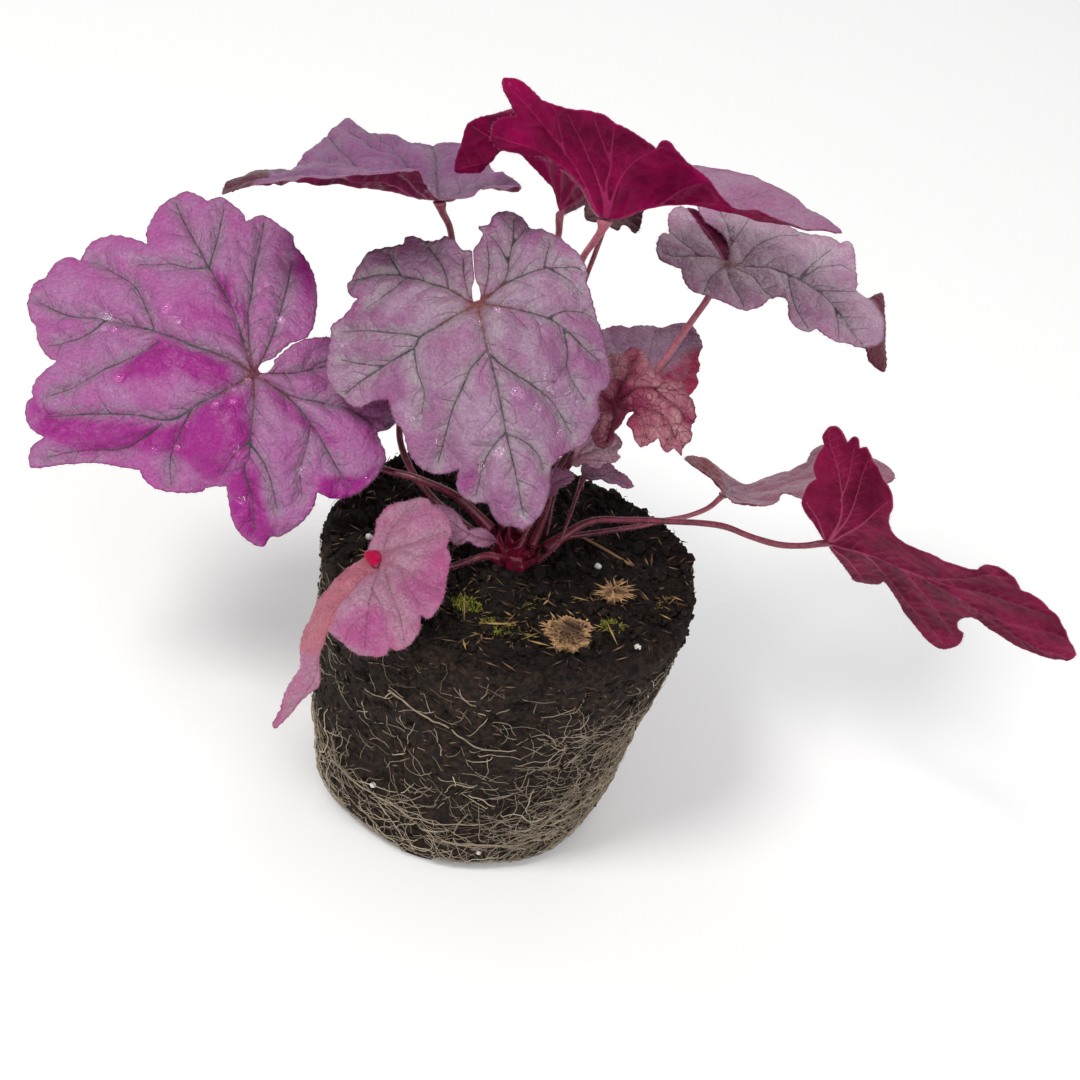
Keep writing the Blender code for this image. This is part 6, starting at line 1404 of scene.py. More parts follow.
crimson = under_skin("under_crimson", lin(136, 4, 50), lin(174, 10, 66), lin(206, 110, 140), 0.42)
obj = solid("leaf_9_curl", np.vstack([p + 0.2 * n, p - 0.2 * n]), np.vstack([tri, tri[:, ::-1] + len(p), rimt]), [crimson],
            fields={"vein": np.full(2 * len(p), 14.0), "twig": np.full(2 * len(p), 14.0), "hub": np.full(2 * len(p), 30.0),
                    "rim": np.concatenate([rim, rim])})
ride(obj, SLOTS["leaf_9"])

# ---------------------------------------------------------------- drops of water
water = water_skin()
dv, dt = ball_mesh(3)
for name, drops in DROPS.items():
    uv, up, nn, _, _ = LEAVES[name]["fine"]
    pile = Pile()
    for i, (x, y, size) in enumerate(drops):
        k = np.argmin(((uv - (x, -y)) ** 2).sum(1))
        normal = unit(nn[k])
        side = unit(np.cross(normal, (0.3, 0.2, 1.0)))
        third = np.cross(normal, side)
        r = size * 1.12
        q = dv.copy()
        q[:, 2] = np.where(q[:, 2] < 0, q[:, 2] * 0.22, q[:, 2] * 0.85)
        stretch = 1 + 0.25 * sin(3.7 * i)
        pts = up[k] + normal * 0.02 + r * (q[:, :1] * side * stretch + q[:, 1:2] * third + q[:, 2:3] * normal)
        pile.add(pts, dt)
    obj = pile.piece("drops_on_" + name, [water])
    obj.visible_shadow = False
    ride(obj, "leaf_rose")

# ---------------------------------------------------------------- stalks
stalk_mat = stalk_skin("stalk", lin(72, 10, 32), lin(126, 40, 62), lin(104, 8, 40))
PALE = {"stalk_2": 0.35, "stalk_3": 0.30, "stalk_4": 0.75, "stalk_5": 0.85, "stalk_6": 1.0, "stalk_7": 0.6, "stalk_8": 0.25,
        "stalk_9": 0.5, "stalk_15": 0.3}
for name in STALKS:
    leafname = STALKS[name][0]
    line, radii, at = route(name, 24)
    _, _, _, base, normal = LEAVES[leafname]["fine"]
    total = at[-1]
    end = total - 0.1
    marks = np.linspace(0, end, max(16, int(end / 1.1)))
    path = np.stack([np.interp(marks, at, line[:, k]) for k in range(3)], -1)
    r0, r1 = STALKS[name][3], STALKS[name][4]
    # a wider sheath at the crown, a slender middle and a flare into the blade
    thin = r1 * 1.02
    r = thin + (r0 * 1.05 - thin) * np.exp(-(marks / (9.0 if r0 > 1.3 else 4.0)) ** 1.3)
    spread = np.exp(-((total - marks) / 2.6) ** 2)
    r = r * (1 + 0.9 * spread + 0.25 * np.exp(-((total - marks) / 6.0) ** 2))
    r = r * (1 + 0.05 * smooth_noise(np.stack([marks / 5, marks * 0 + len(name) * 3.1, marks * 0], -1), 5))
    path = path + 0.18 * np.stack([smooth_noise(np.stack([marks / 9, marks * 0 + 1.7 * k, marks * 0 + at[-1]], -1), 9 + k)
                                   for k in range(3)], -1) * ease(0, 6, marks)[:, None] * ease(0, 6, total - marks)[:, None]
    path = path - (spread * 0.35)[:, None] * normal
    sides = 14
    pts, tris = rod(path, r, sides, flat=0.92, groove=0.10 if r0 > 1.3 else 0.05)
    # the flare lies flat against the blade
    w = np.concatenate([np.repeat(spread, sides), [0, 0]])
    mid_ = np.vstack([np.repeat(path, sides, axis=0), path[:1], path[-1:]])
    off = pts - mid_
    pts = pts - normal * ((off @ normal) * 0.75 * w)[:, None]
    along = np.concatenate([np.repeat(marks / total, sides), [0, 1]])
    round_ = np.concatenate([np.tile(0.5 + 0.5 * np.sin(2 * pi * np.arange(sides) / sides), len(path)), [0.5, 0.5]])
    # fine hairs that stand out from the stalk
    rng = random.Random(int(total * 10))
    k0 = len(pts)
    hp, ht = [], []
    run = unit(np.gradient(path, axis=0))
    for _ in range(int(total * 2.2)):
        i = rng.randrange(2, len(path) - 1)
        out = unit(np.cross(run[i], [rng.uniform(-1, 1) for _ in range(3)]))
        root = path[i] + out * r[i] * 0.85
        tip = root + unit(out + 0.3 * run[i] * rng.uniform(-1, 1)) * rng.uniform(0.5, 1.1)
        s2 = unit(np.cross(out, run[i]))
        w = 0.035
        hp += [root + run[i] * w, root - run[i] * w + s2 * w, root - run[i] * w - s2 * w, tip]
        ht += [(k0, k0 + 2, k0 + 1), (k0, k0 + 1, k0 + 3), (k0 + 1, k0 + 2, k0 + 3), (k0 + 2, k0, k0 + 3)]
        k0 += 4
    which = np.concatenate([np.zeros(len(tris)), np.ones(len(ht))])
    pts = np.vstack([pts, hp])
    tris = np.vstack([tris, ht])
    fields = {"along": np.concatenate([along, np.zeros(len(hp))]), "round": np.concatenate([round_, np.zeros(len(hp))]),
              "tone": np.full(len(pts), 0.6), "pale": np.full(len(pts), PALE.get(name, 0.0))}
    obj = solid(name + "_fine", pts, tris, [stalk_mat, hair], which, fields)
    ride(obj, "stalk_maroon", name)


def sheet(grid, thick):
    """A closed thin shell over a grid of points (rows, columns, 3)."""
    r, c = grid.shape[:2]
    p = grid.reshape(-1, 3)
    idx = np.arange(r * c).reshape(r, c)
    a, b, d, e = idx[:-1, :-1].ravel(), idx[:-1, 1:].ravel(), idx[1:, 1:].ravel(), idx[1:, :-1].ravel()
    tri = np.vstack([np.stack([a, b, d], -1), np.stack([a, d, e], -1)])
    n = normals(p, tri)
    m = len(p)
    ring = np.concatenate([idx[0, :-1], idx[:-1, -1], idx[-1, :0:-1], idx[:0:-1, 0]])
    nxt = np.roll(ring, -1)
    rim = np.vstack([np.stack([nxt, ring, ring + m], -1), np.stack([nxt, ring + m, nxt + m], -1)])
    return np.vstack([p + n * thick / 2, p - n * thick / 2]), np.vstack([tri, tri[:, ::-1] + m, rim])


# ---------------------------------------------------------------- crown
crown_mat = stalk_skin("crown_skin", lin(92, 4, 34), lin(156, 14, 62), lin(84, 24, 34))
rng = random.Random(41)
pile = Pile()
level, around = 14, 48
core = []
for i in range(level):
    v = i / (level - 1)
    share = (1.0 - 0.55 * v ** 3) * (1 - ease(0.9, 1.0, np.array(v)) * 0.5)
    for j in range(around):
        a = 2 * pi * j / around
        r = 7.6 * share * (1 + 0.10 * sin(5 * a + 3 * v) + 0.05 * sin(11 * a))
        core.append((r * cos(a), r * sin(a), BALL_H - 0.6 + 6.4 * v))
core = np.array(core + [(0, 0, BALL_H - 0.6), (0, 0, BALL_H + 6.0)])
tris = []
for i in range(level - 1):
    for j in range(around):
        k = (j + 1) % around
        tris += [(i * around + j, i * around + k, (i + 1) * around + k), (i * around + j, (i + 1) * around + k, (i + 1) * around + j)]
for j in range(around):
    k = (j + 1) % around
    tris += [(level * around, k, j), (level * around + 1, (level - 1) * around + j, (level - 1) * around + k)]
pile.add(core, tris, along=0.2, round=0.4)
for i in range(74):
    ring = i % 3
    a = 2.4 * i + rng.uniform(-0.3, 0.3)
    r0 = (7.4, 5.6, 3.0)[ring] + rng.uniform(-0.5, 0.5)
    length = rng.uniform(4.5, 8.5) * (0.8, 1.0, 1.15)[ring]
    wide = rng.uniform(1.6, 2.9)
    lean = rng.uniform(0.05, 0.55) * (1.0, 0.7, 0.4)[ring]
    o, t = np.array((cos(a), sin(a), 0)), np.array((-sin(a), cos(a), 0))
    v, u = np.meshgrid(np.linspace(0, 1, 9), np.linspace(-1, 1, 7), indexing="ij")
    w = wide * (np.clip(1 - v ** 2.2, 0.002, 1) ** 0.7) * (0.75 + 0.35 * np.sin(pi * v))
    mid = o * r0 + np.array((0, 0, BALL_H - 0.5 + (0, 1.2, 2.4)[ring]))
    grid = (mid + (length * v)[..., None] * np.array((0, 0, 1.0)) + (lean * length * v ** 1.6)[..., None] * o
            + (u * w)[..., None] * t - (0.5 * u ** 2 * w)[..., None] * o + (0.15 * np.sin(5 * v + i))[..., None] * t)
    pts, tr = sheet(grid, 0.28)
    vv = np.concatenate([v.ravel(), v.ravel()])
    pile.add(pts, tr, along=vv * 0.6 + 0.05, round=rng.random())
obj = pile.piece("crown_scales", [crown_mat])
ride(obj, "crown_crimson", "crown")


# ---------------------------------------------------------------- root ball
NUBS, NUB_RISE, FOOT_R, ROOT_R, GAP = 8, 2.6, 30.0, 0.5, 0.35


def nub(phi):
    return np.clip((np.cos(NUBS * phi + 0.6) - 0.35) / 0.3, 0, 1)


def wall_bump(phi, z):
    return 0.45 * np.sin(3 * phi + 0.11 * z) + 0.35 * np.sin(7 * phi - 0.17 * z + 1.0)


def soil_bump(x, y):
    return 0.45 * np.sin(0.33 * x + 1.0) * np.cos(0.29 * y) + 0.3 * np.sin(0.21 * x - 0.4 * y)


def top_at(x, y):
    """Height of the plain soil surface over x, y."""
    phi = np.arctan2(y, x)
    k = np.hypot(x, y) / ball_radius(phi, 1.0)
    return soil(phi, np.minimum(k, 1)) + soil_bump(x, y) * np.clip((k - 0.17) / 0.2, 0, 1)


NA = 400
phi = 2 * pi * np.arange(NA) / NA
rings, kinds = [], []
for r in (6.0, 15.0, 22.0, 26.5, FOOT_R):
    rings.append(np.stack([r * np.cos(phi), r * np.sin(phi), 0 * phi], -1)); kinds.append(0)
for r in np.linspace(FOOT_R + 1.0, FOOT_R + 14.5, 12):
    rings.append(np.stack([r * np.cos(phi), r * np.sin(phi), NUB_RISE * (1 - nub(phi)) * ease(FOOT_R, FOOT_R + 4, r)], -1)); kinds.append(0.4)
low = NUB_RISE * (1 - nub(phi))
walls = 118
for i in range(walls + 1):
    k = i / walls
    r = ball_radius(phi, k)
    z = k * (BALL_H + lift(phi) * k)
    round_in = 1.6 * (1 - ease(0, 5, z)) + 2.6 * ease(BALL_H + lift(phi) - 4.5, BALL_H + lift(phi), z) ** 2
    r = r + wall_bump(phi, z) - round_in
    z = np.maximum(z, low + 0.6 * ease(0, 3, z)) - 0.9 * ease(BALL_H + lift(phi) - 4.5, BALL_H + lift(phi), z) ** 2
    rings.append(np.stack([r * np.cos(phi), r * np.sin(phi), z], -1)); kinds.append(1.0)
tops = 62
for i in range(1, tops):
    k = 0.955 * (1 - i / tops)
    r = k * ball_radius(phi, 1.0) + 0.0
    x, y = r * np.cos(phi), r * np.sin(phi)
    rings.append(np.stack([x, y, top_at(x, y) - 0.05], -1)); kinds.append(0.0 if k < 0.9 else 0.3)
grid = np.stack(rings)
R = len(rings)
p = np.vstack([grid.reshape(-1, 3), [(0, 0, 0), (0, 0, BALL_H)]])
j = np.arange(NA)
k = (j + 1) % NA
tris = [np.stack([np.full(NA, R * NA), k, j], -1), np.stack([np.full(NA, R * NA + 1), (R - 1) * NA + j, (R - 1) * NA + k], -1)]
for i in range(R - 1):
    tris.append(np.stack([i * NA + j, i * NA + k, (i + 1) * NA + k], -1))
    tris.append(np.stack([i * NA + j, (i + 1) * NA + k, (i + 1) * NA + j], -1))
tris = np.vstack(tris)
n = normals(p, tris)
wall = np.concatenate([np.repeat(kinds, NA), [0, 0]])
crumb, second = cells(p / 2.3, 3)
crumb2, _ = cells(p / 1.15, 9)
big = fbm(p / 9.0, 3, 21)
bulk = fbm(p / 3.0, 4, 31, 0.6)
push = 0.55 * big + 0.75 * bulk + 0.9 * (0.55 - crumb) + 0.45 * (0.5 - crumb2)
cracks = ease(0.28, 0.55, -fbm(p / 5.0, 3, 51))
push = push - 1.3 * cracks
free = np.where(wall > 0.35, 0.8, 1.0)
radius = np.hypot(p[:, 0], p[:, 1])
foot = (p[:, 2] < 0.05) & (radius < FOOT_R + 0.6)
free = np.where(foot, 0.0, free) * np.where((p[:, 2] < 5), 0.35 + 0.13 * np.clip(p[:, 2], 0, 5), 1)
free = free * np.where((p[:, 2] > BALL_H - 3) & (radius < 10), 0.4, 1)
moved = p + n * (push * free)[:, None]
moved[:, 2] = np.maximum(moved[:, 2], 0)
# deep: how far the surface sinks into hollows and cracks; the soil's colour uses it to paint shade there
deep = ease(0.1, 1.6, -(push * free))
obj = solid("soil_block", moved, tris, [soil_skin()], fields={"wall": np.clip(wall * 1.0, 0, 1), "deep": np.clip(deep, 0, 1)})
ride(obj, "soil_dark", "root_ball")
print("soil", len(tris))

# crumbs
c0, t0 = ball_mesh(1)
c1, t1 = ball_mesh(2)
nprng = np.random.default_rng(77)
pile = Pile()
crumbs = 5600
for i in range(crumbs):
    on_wall = nprng.random() < 0.40
    a = nprng.uniform(0, 2 * pi)
    size = min(2.3, 0.42 * (1 - nprng.random()) ** -0.42)
    if on_wall:
        kk = nprng.random() ** 0.6
        z = kk * (BALL_H + lift(a) * kk)
        r = ball_radius(a, kk) + wall_bump(a, z) + 0.1 - 2.6 * float(ease(BALL_H + lift(a) - 5, BALL_H + lift(a), z)) ** 2
        z -= 0.9 * float(ease(BALL_H + lift(a) - 5, BALL_H + lift(a), z))
        size = min(size, 1.1)
        at = np.array((r * cos(a), r * sin(a), z))
        if z < 3:
            continue
    else:
        share = nprng.uniform(0.03, 0.972 ** 2) ** 0.5
        rr = share * ball_radius(a, 1.0)
        x, y = rr * cos(a), rr * sin(a)
        low_ = float(1.5 * ease(0.925, 0.972, share))
        at = np.array((x, y, top_at(x, y) + size * 0.25 + nprng.uniform(-0.2, 0.5) * (1 - 0.5 * low_) - low_))
    v, t = (c1, t1) if size > 1.25 else (c0, t0)
    shape = v * (1 + 0.30 * nprng.uniform(-1, 1, (len(v), 1)))
    shape = shape * nprng.uniform(0.65, 1.15, 3) * size
    b, c = nprng.uniform(0, 2 * pi, 2)
    m = np.array([[cos(b), -sin(b), 0], [sin(b), cos(b), 0], [0, 0, 1]]) @ np.array([[1, 0, 0], [0, cos(c), -sin(c)], [0, sin(c), cos(c)]])
    pile.add(shape @ m.T + at, t, wall=0.9 if on_wall else nprng.choice([0.0, 0.15, 0.5, 1.0], p=[.45, .3, .15, .1]), deep=0.0)
obj = pile.piece("soil_crumbs", [bpy.data.materials["soil"]], smooth=False)
ride(obj, "soil_dark")
print("crumbs", sum(len(t) for t in pile.t))

# peat fibres and splinters lying on the soil
peat = fibre_skin("peat", lin(52, 36, 28), lin(148, 112, 82))
pile = Pile()
for i in range(520):
    a = nprng.uniform(0, 2 * pi)
    rr = nprng.uniform(0.04, 0.97) ** 0.5 * ball_radius(a, 1.0)
    x, y = rr * cos(a), rr * sin(a)
    ang, length = nprng.uniform(0, 2 * pi), nprng.uniform(1.6, 6.5)
    x2, y2 = x + length * cos(ang), y + length * sin(ang)
    p2 = math.atan2(y2, x2)
    if math.hypot(x2, y2) > ball_radius(p2, 1.0) - 0.5 or math.hypot(x2, y2) < 9:
        continue
    one = np.array((x, y, top_at(x, y) + nprng.uniform(0.3, 1.2)))
    two = np.array((x2, y2, top_at(x2, y2) + nprng.uniform(0.3, 1.9)))
    pts, tr = sliver(one, two, nprng.uniform(0.10, 0.42), nprng.uniform(0.06, 0.14), (0, 0, 1))
    pile.add(pts, tr, tone=float(nprng.random() ** 1.6))
for i in range(900):
    a, kk = nprng.uniform(0, 2 * pi), 0.06 + 0.93 * nprng.random() ** 0.7
    z = kk * (BALL_H + lift(a) * kk)
    ang, length = nprng.normal(0, 0.8), nprng.uniform(0.8, 4.0)
    a2, z2 = a + length * cos(ang) / 56, z + length * sin(ang)
    if not 2 < z2 < BALL_H + lift(a2) - 1.5:
        continue
    ends = [np.array(((ball_radius(q, zz / (BALL_H + lift(q) * kk)) + wall_bump(q, zz) + o) * cos(q),
                      (ball_radius(q, zz / (BALL_H + lift(q) * kk)) + wall_bump(q, zz) + o) * sin(q), zz))
            for q, zz, o in ((a, z, nprng.uniform(0.0, 0.4)), (a2, z2, nprng.uniform(0.2, 1.1)))]
    pts, tr = sliver(ends[0], ends[1], nprng.uniform(0.10, 0.34), nprng.uniform(0.06, 0.12), (cos(a), sin(a), 0))
    pile.add(pts, tr, tone=float(0.7 * nprng.random() ** 1.8))
obj = pile.piece("peat_fibres", [peat], smooth=False)
ride(obj, "bark_brown")

# ---------------------------------------------------------------- roots on the outside
root_mat = fibre_skin("roots", lin(86, 64, 46), lin(200, 185, 160))


def on_wall(a, z, out):
    kk = np.clip(z / (BALL_H + lift(a) * np.clip(z / BALL_H, 0, 1)), 0, 1)
    r = ball_radius(a, kk) + wall_bump(a, z) + out - 1.5 * (1 - ease(0, 4, z))
    return np.stack([r * np.cos(a), r * np.sin(a), z], -1)


SURFACE_ROOTS = [(-2.45, 18, 1.15, 6), (-1.5, 12, 0.95, 5), (-0.72, 24, 0.9, 26), (0.55, 14, 1.1, -4), (1.75, 20, 1.0, 12),
                 (2.9, 12, 0.8, 10), (-2.0, 66, 0.75, -5), (0.45, 60, 0.6, -14)]
for i, (start, height, sweep, climb) in enumerate(SURFACE_ROOTS, 1):
    t = np.linspace(0, 1, 60)
    a = start + sweep * t
    z = height + climb * t + 2.2 * np.sin(5.0 * t + i) + 0.8 * np.sin(13 * t + 2 * i)
    path = on_wall(a, z, GAP + ROOT_R + 0.1) + 0.35 * np.stack([smooth_noise(np.stack([t * 16, t * 0 + i, t * 0 + 5.0 * q], -1), 3 + q) for q in range(3)], -1)
    r = ROOT_R * 0.62 * (1 - 0.5 * t) * (1 + 0.18 * smooth_noise(np.stack([t * 20, t * 0 + i, t * 0], -1), 4))
    pts, tr = rod(path, r, 8)
    obj = solid("root_line_%d" % i, pts, tr, [root_mat], fields={"tone": np.full(len(pts), 0.45)})
    ride(obj, "root_tan", "root_%d" % i)

pile = Pile()
strands = 1800
for i in range(strands):
    pick = nprng.random()
    a0 = nprng.uniform(0, 2 * pi)
    if pick < 0.40:
        z0 = nprng.uniform(3.6, 22)
    elif pick < 0.60:
        z0, a0 = nprng.uniform(4, 66), nprng.normal(-0.62, 0.28)
    else:
        z0 = 18 + 66 * nprng.random() ** 1.1
    low_band = z0 < 24 or pick < 0.60
    steps = int(nprng.uniform(5, 30 if low_band else 16))
    heading = nprng.choice([0, pi]) + nprng.normal(0, 0.5 if low_band else 0.9)
    a, z = [a0], [z0]
    for s in range(steps):
        heading += nprng.normal(0, 0.24)
        a.append(a[-1] + 1.05 * cos(heading) / 55)
        z.append(float(np.clip(z[-1] + 1.05 * sin(heading), 3.4, BALL_H + lift(a[-1]) - 3.0)))
    a, z = np.array(a), np.array(z)
    size = nprng.uniform(0.06, 0.115) if nprng.random() < 0.84 else nprng.uniform(0.11, 0.24)
    t = np.linspace(0, 1, len(a))
    out = size * 0.4 + 0.55 * smooth_noise(np.stack([a * 14, z / 3.5, t * 0 + i], -1), 6) + 0.40
    out[0] = out[-1] = -0.4
    path = on_wall(a, z, out)
    pts, tr = rod(path, size * (1 - 0.5 * t) + 0.015, 3 if size < 0.10 else 4)
    pile.add(pts, tr, tone=float(np.clip(nprng.normal(0.66 if low_band else 0.60, 0.28), 0, 1)))
obj = pile.piece("fine_roots", [root_mat])
ride(obj, "root_tan")
print("strands", sum(len(t) for t in pile.t))


# ---------------------------------------------------------------- on the soil
def on_soil(px, py, h):
    z = BALL_H
    for _ in range(6):
        p = drop(px, py, z + h)
        phi = math.atan2(p[1], p[0])
        z = soil(phi, min(1.0, np.hypot(p[0], p[1]) / ball_radius(phi, 1.0)))
    return p


bark = fibre_skin("bark", lin(56, 30, 18), lin(200, 158, 112))


def chip(name, outline, front, back, thick, seed, shrink, splinters, longest):
    """A splintered chip: a rough slab with fibres breaking away from its edges."""
    ys = [q[1] for q in outline]
    lo, hi = min(ys), max(ys)
    ring = np.array([on_soil(x, y, front + (back - front) * (hi - y) / (hi - lo)) for x, y in outline])
    mid = ring.mean(0)
    up = sum(np.cross(a - mid, b - mid) for a, b in zip(ring, np.roll(ring, -1, 0)))
    up = unit(up) * (1 if up[2] > 0 else -1)
    ring = ring - np.outer((ring - mid) @ up, up)
    grain = unit(ring[len(ring) // 2] - ring[0])
    cross = np.cross(up, grain)
    flat = np.stack([(ring - mid) @ grain, (ring - mid) @ cross], -1)
    poly = spline(flat * shrink, 8, True)
    turn_ = 2 * pi * np.arange(len(poly)) / len(poly)
    uneven = smooth_noise(np.stack([2.2 * np.cos(turn_) + seed, 2.2 * np.sin(turn_), 0 * turn_], -1), seed + 4)
    poly = poly * (1 + 0.05 * np.sin(31 * turn_) + 0.30 * uneven)[:, None]
    gx, gy = np.meshgrid(np.arange(-15, 15, 0.45), np.arange(-15, 15, 0.45))
    g = np.stack([gx.ravel(), gy.ravel()], -1)
    g = g[inside(poly, g)]
    g = g[min_dist(g, poly, np.roll(poly, -1, 0)) > 0.25]
    verts = [Vector(q) for q in np.vstack([poly, g])]
    v, e, f = delaunay_2d_cdt(verts, [(i, (i + 1) % len(poly)) for i in range(len(poly))], [], 1, 1e-5, False)[:3]
    uv = np.array([tuple(q) for q in v])
    tri = np.array([q for q in f if len(q) == 3])
    keep = inside(poly, uv[tri].mean(1))
    tri = tri[keep]
    q = uv[tri]
    area = (q[:, 1, 0] - q[:, 0, 0]) * (q[:, 2, 1] - q[:, 0, 1]) - (q[:, 1, 1] - q[:, 0, 1]) * (q[:, 2, 0] - q[:, 0, 0])
    tri[area < 0] = tri[area < 0][:, ::-1]
    tri = tri[np.abs(area) > 1e-7]
    used = np.unique(tri)
    back_ = np.full(len(uv), -1)
    back_[used] = np.arange(len(used))
    uv, tri = uv[used], back_[tri]
    rimd = min_dist(uv, poly, np.roll(poly, -1, 0))
    lines = smooth_noise(np.stack([uv[:, 0] / 7, uv[:, 1] / 0.7, uv[:, 0] * 0 + seed], -1), seed)
    bumps = fbm(np.stack([uv[:, 0] / 3, uv[:, 1] / 1.5, uv[:, 0] * 0 + seed], -1), 3, seed + 1)
    rise = 0.35 * lines + 0.5 * bumps + 0.5 * ease(0, 2.5, rimd)
    base = mid + uv[:, :1] * grain + uv[:, 1:] * cross
    top, bot = base + rise[:, None] * up, base - (thick * 0.9 + 0.3 * bumps)[:, None] * up
    edges = {}
    for x, y, z in tri:
        edges[(x, y)] = edges[(y, z)] = edges[(z, x)] = True
    border = np.array([(x, y) for x, y in edges if (y, x) not in edges])
    x, y, m = border[:, 0], border[:, 1], len(uv)
    tris = np.vstack([tri, tri[:, ::-1] + m, np.stack([y, x, x + m], -1), np.stack([y, x + m, y + m], -1)])
    pile = Pile()
    tone = np.clip(0.14 + 0.35 * lines - 0.30 * ease(0, 4, rimd) + 0.6 * (1 - ease(0, 1.8, rimd)), 0, 1)
    pile.add(np.vstack([top, bot]), tris, tone=np.concatenate([tone, tone * 0.5]))
    r2 = random.Random(seed)
    clumps = [r2.uniform(0, len(poly)) for _ in range(11)]
    for _ in range(splinters):
        i = int(r2.choice(clumps) + r2.gauss(0, 2.2)) % len(poly) if r2.random() < 0.75 else r2.randrange(len(poly))
        s = r2.uniform(0.05, 1.0) ** 0.7
        a = poly[i] * s
        dirv = unit(0.7 * unit(a) + np.array([math.copysign(0.9, a[0]) * r2.random(), 0]) + np.array([r2.gauss(0, 0.45), r2.gauss(0, 0.45)]))
        b = a + dirv * r2.uniform(0.3, 1.0) ** 1.5 * longest * (0.5 + 0.5 * s)
        one = mid + a[0] * grain + a[1] * cross + up * r2.uniform(0.2, 0.9)
        two = mid + b[0] * grain + b[1] * cross + up * r2.uniform(-0.5, 1.8)
        pts, tr = sliver(one, two, r2.uniform(0.12, 0.36), r2.uniform(0.07, 0.16), up)
        pile.add(pts, tr, tone=min(1.0, 0.12 + 0.95 * s * r2.random() ** 0.4))
    obj = pile.piece(name + "_split", [bark], smooth=False)
    ride(obj, "bark_brown", name)


chip("bark_chip_large", [(549, 622), (560, 613), (577, 617), (593, 628), (590, 642), (575, 652), (556, 648), (547, 635)], 2.4, 4.2, 1.8, 5, 0.84, 250, 3.8)
chip("bark_chip_small", [(598, 590), (612, 580), (628, 584), (629, 597), (614, 605), (600, 601)], 2.2, 3.4, 1.4, 9, 0.55, 150, 6.0)

grit_mat = plain_skin("grit", lin(232, 228, 220), lin(214, 208, 200), lin(176, 166, 156), 3.0, (0.6, 0.85), 0.12)
g3, gt3 = ball_mesh(4)


def grit(name, at, radii, seed, *nodes):
    nearest, _ = cells(g3 * 1.6 + seed * 7.7, seed)
    r = 1 + 0.22 * fbm(g3 * 1.4 + seed * 3.1, 3, seed) - 0.16 * ease(0.25, 0.7, nearest)
    pts = at + g3 * r[:, None] * np.array(radii)
    obj = solid(name, pts, gt3, [grit_mat])
    ride(obj, "grit_white", *nodes)


for name, px, py, size, seed in (("grit_1", 369, 537, 1.35, 3), ("grit_2", 598, 566, 1.25, 5), ("grit_3", 638, 647, 1.2, 8)):
    grit(name + "_grain", on_soil(px, py, size * 0.8 + 0.6), (size, size * 0.85, size * 0.8), seed, name)
for i, (a, z, size) in enumerate(((-2.02, 24, 1.1), (-1.25, 9, 1.2), (0.4, 50, 0.9), (2.2, 62, 1.2), (1.2, 20, 1.0))):
    grit("grit_in_wall_%d" % (i + 1), on_wall(np.array([a]), np.array([float(z)]), 0.1)[0], (size, size * 0.8, size * 0.9), 20 + i)

moss_mat = fibre_skin("moss", lin(70, 84, 20), lin(178, 176, 70))
for name, px, py, wide, seed in (("moss_1", 466, 606, 4.6, 11), ("moss_2", 494, 628, 4.8, 12), ("moss_3", 612, 628, 3.6, 13)):
    r2 = random.Random(seed)
    at = on_soil(px, py, 0.4)
    pile = Pile()
    for _ in range(260):
        a, s = r2.uniform(0, 2 * pi), r2.random() ** 0.5
        foot_ = at + np.array((wide * s * cos(a), wide * 0.9 * s * sin(a), 0.3))
        d = unit(np.array((r2.uniform(-1, 1), r2.uniform(-1, 1), r2.uniform(0.3, 1.5))))
        tip = foot_ + d * r2.uniform(0.9, 2.6) * (1.1 - 0.5 * s)
        pts, tr = sliver(foot_, tip, r2.uniform(0.10, 0.26), 0.07, unit(np.cross(d, (r2.uniform(-1, 1), 1, 0.1))))
        pile.add(pts, tr, tone=r2.random())
    obj = pile.piece(name + "_tuft", [moss_mat], smooth=False)
    ride(obj, "moss_green", name)
# a few grass-like bits, yellowed and green
bits = Pile()
for (x0, y0, x1, y1, w, tone) in ((465, 589, 464, 623, .3, .45), (478, 623, 514, 624, .5, .95), (504, 611, 512, 616, .4, .7),
                                   (543, 605, 549, 599, .35, .8), (527, 640, 551, 646, .5, .85), (593, 624, 604, 628, .4, .6),
                                   (606, 620, 618, 646, .35, .95), (463, 639, 466, 650, .35, .9), (660, 614, 672, 620, .4, .9),
                                   (671, 596, 684, 601, .35, .9), (520, 640, 540, 632, .25, .5), (570, 596, 590, 601, .3, .75),
                                   (640, 590, 652, 604, .25, .6), (430, 600, 446, 612, .3, .35), (358, 548, 372, 556, .25, .6)):
    pts, tr = sliver(on_soil(x0, y0, 2.2), on_soil(x1, y1, 2.6), w, 0.12, (0, 0, 1))
    bits.add(pts, tr, tone=tone)
for cx, cy, count, spread_, lo_t in ((466, 604, 46, 13, .2), (496, 626, 60, 15, .45), (538, 604, 40, 12, .15), (520, 636, 36, 14, .5),
                                     (612, 628, 26, 9, .2), (560, 640, 24, 16, .5), (430, 560, 18, 14, .1), (664, 604, 22, 12, .4),
                                     (480, 580, 16, 20, .4), (600, 600, 20, 18, .5)):
    for _ in range(count):
        x0, y0 = cx + rng.gauss(0, spread_), cy + rng.gauss(0, spread_ * 0.5)
        ang, far = rng.uniform(0, 2 * pi), rng.uniform(3, 12)
        one = on_soil(x0, y0, rng.uniform(0.7, 1.6))
        two = on_soil(x0 + far * cos(ang), y0 + far * 0.55 * sin(ang), rng.uniform(0.9, 2.8))
        if max(np.hypot(*one[:2]), np.hypot(*two[:2])) > 57:
            continue
        if rng.random() < 0.3:
            continue
        pts, tr = sliver(one, two, rng.uniform(0.08, 0.26), 0.07, (0, 0, 1))
        bits.add(pts, tr, tone=min(1.0, max(0.0, lo_t - 0.25 + rng.random() * 0.75)))
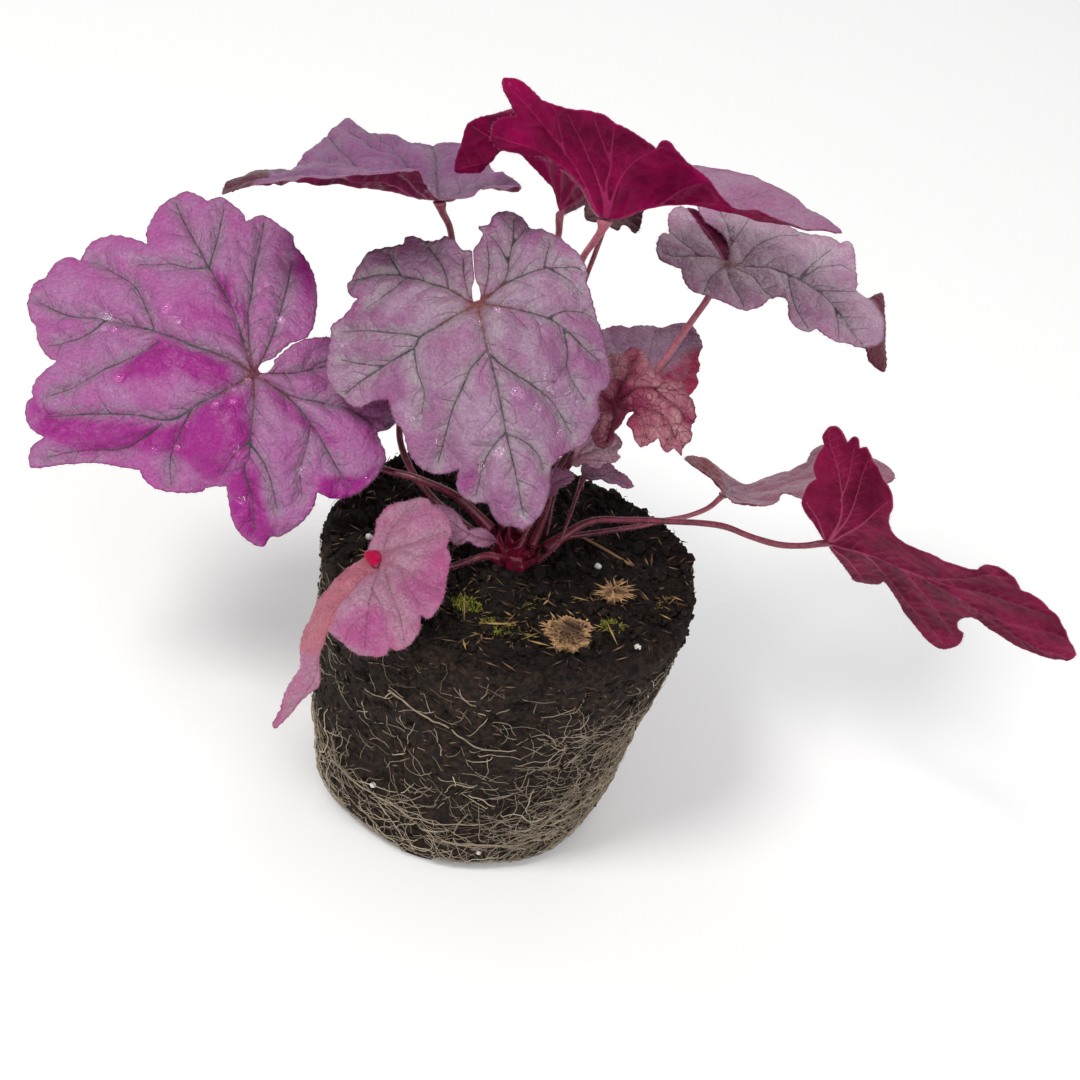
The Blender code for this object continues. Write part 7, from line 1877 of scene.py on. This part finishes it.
straw = fibre_skin("straw", lin(78, 82, 26), lin(176, 142, 86))
obj = bits.piece("straw_bits", [straw], smooth=False)
ride(obj, "bark_brown")

path = np.array([on_soil(px, py, h) for px, py, h in ((582, 537, 1.9), (593, 543, 1.8), (604, 549, 1.9), (616, 556, 2.0), (628, 563, 1.8))])
path = spline(path, 12)
t = np.linspace(0, 1, len(path))
r = np.interp(t, (0, .25, .5, .75, 1), (0.40, 0.52, 0.48, 0.45, 0.38)) * (1 + 0.12 * smooth_noise(np.stack([t * 14, t * 0, t * 0], -1), 2))
pile = Pile()
pts, tr = rod(path, r, 12, groove=0.2)
pile.add(pts, tr, tone=0.4)
r2 = random.Random(5)
for end, d in ((path[0], unit(path[0] - path[3])), (path[-1], unit(path[-1] - path[-4]))):
    for _ in range(10):
        o = np.array([r2.uniform(-1, 1) for _ in range(3)]) * 0.25
        pts, tr = sliver(end - d * 1.5 + o, end + d * r2.uniform(0.4, 2.4) + o * 1.5, 0.16, 0.08, (0, 0, 1))
        pile.add(pts, tr, tone=r2.uniform(0.6, 1.0))
obj = pile.piece("dry_stalk_split", [bark])
ride(obj, "bark_brown", "dry_stalk")

# ---------------------------------------------------------------- stage
mesh = bpy.data.meshes.new("floor")
bm = bmesh.new()
bmesh.ops.create_grid(bm, x_segments=2, y_segments=2, size=20.0)
bm.to_mesh(mesh)
bm.free()
floor = bpy.data.objects.new("floor", mesh)
bpy.context.scene.collection.objects.link(floor)
g = Graph("floor", Roughness=0.9, Specular_IOR_Level=0.1, Emission_Color=(1, 1, 1, 1), Emission_Strength=0.10)
mesh.materials.append(g.done(g.mix(g.noise(400.0), lin(250, 250, 250), lin(253, 253, 253))))

world_ = bpy.data.worlds.new("studio")
bpy.context.scene.world = world_
world_.use_nodes = True
world_.node_tree.nodes["Background"].inputs[0].default_value = (1.0, 1.0, 1.0, 1)
world_.node_tree.nodes["Background"].inputs[1].default_value = 0.50


def lamp(name, at, aim, size, power, tint=(1, 1, 1)):
    data = bpy.data.lights.new(name, "AREA")
    data.shape = "DISK"
    data.size, data.energy, data.color = size, power, tint
    obj = bpy.data.objects.new(name, data)
    obj.location = at
    obj.rotation_euler = (Vector(aim) - Vector(at)).to_track_quat("-Z", "Y").to_euler()
    bpy.context.scene.collection.objects.link(obj)


lamp("key", (-0.75, -0.75, 1.45), (0, 0, 0.12), 0.55, 15.6, (1.0, 0.985, 0.96))
lamp("fill", (1.1, -0.9, 0.9), (0, 0, 0.1), 1.2, 7.0, (0.97, 0.98, 1.0))
lamp("back", (0.2, 1.3, 1.2), (0, 0, 0.15), 1.0, 3.4)

data = bpy.data.cameras.new("view")
data.lens, data.sensor_width = 62.5, 36.0
data.clip_start, data.clip_end = 0.01, 20
data.dof.use_dof = False
cam = bpy.data.objects.new("view", data)
from mathutils import Matrix
turn = Matrix([[float(RIGHT[k]), float(UPV[k]), float(-FWD[k])] for k in range(3)])
cam.matrix_world = Matrix.Translation(Vector([float(c) * MM for c in EYE])) @ turn.to_4x4()
bpy.context.scene.collection.objects.link(cam)
bpy.context.scene.camera = cam
bpy.context.scene.view_settings.view_transform = "Standard"
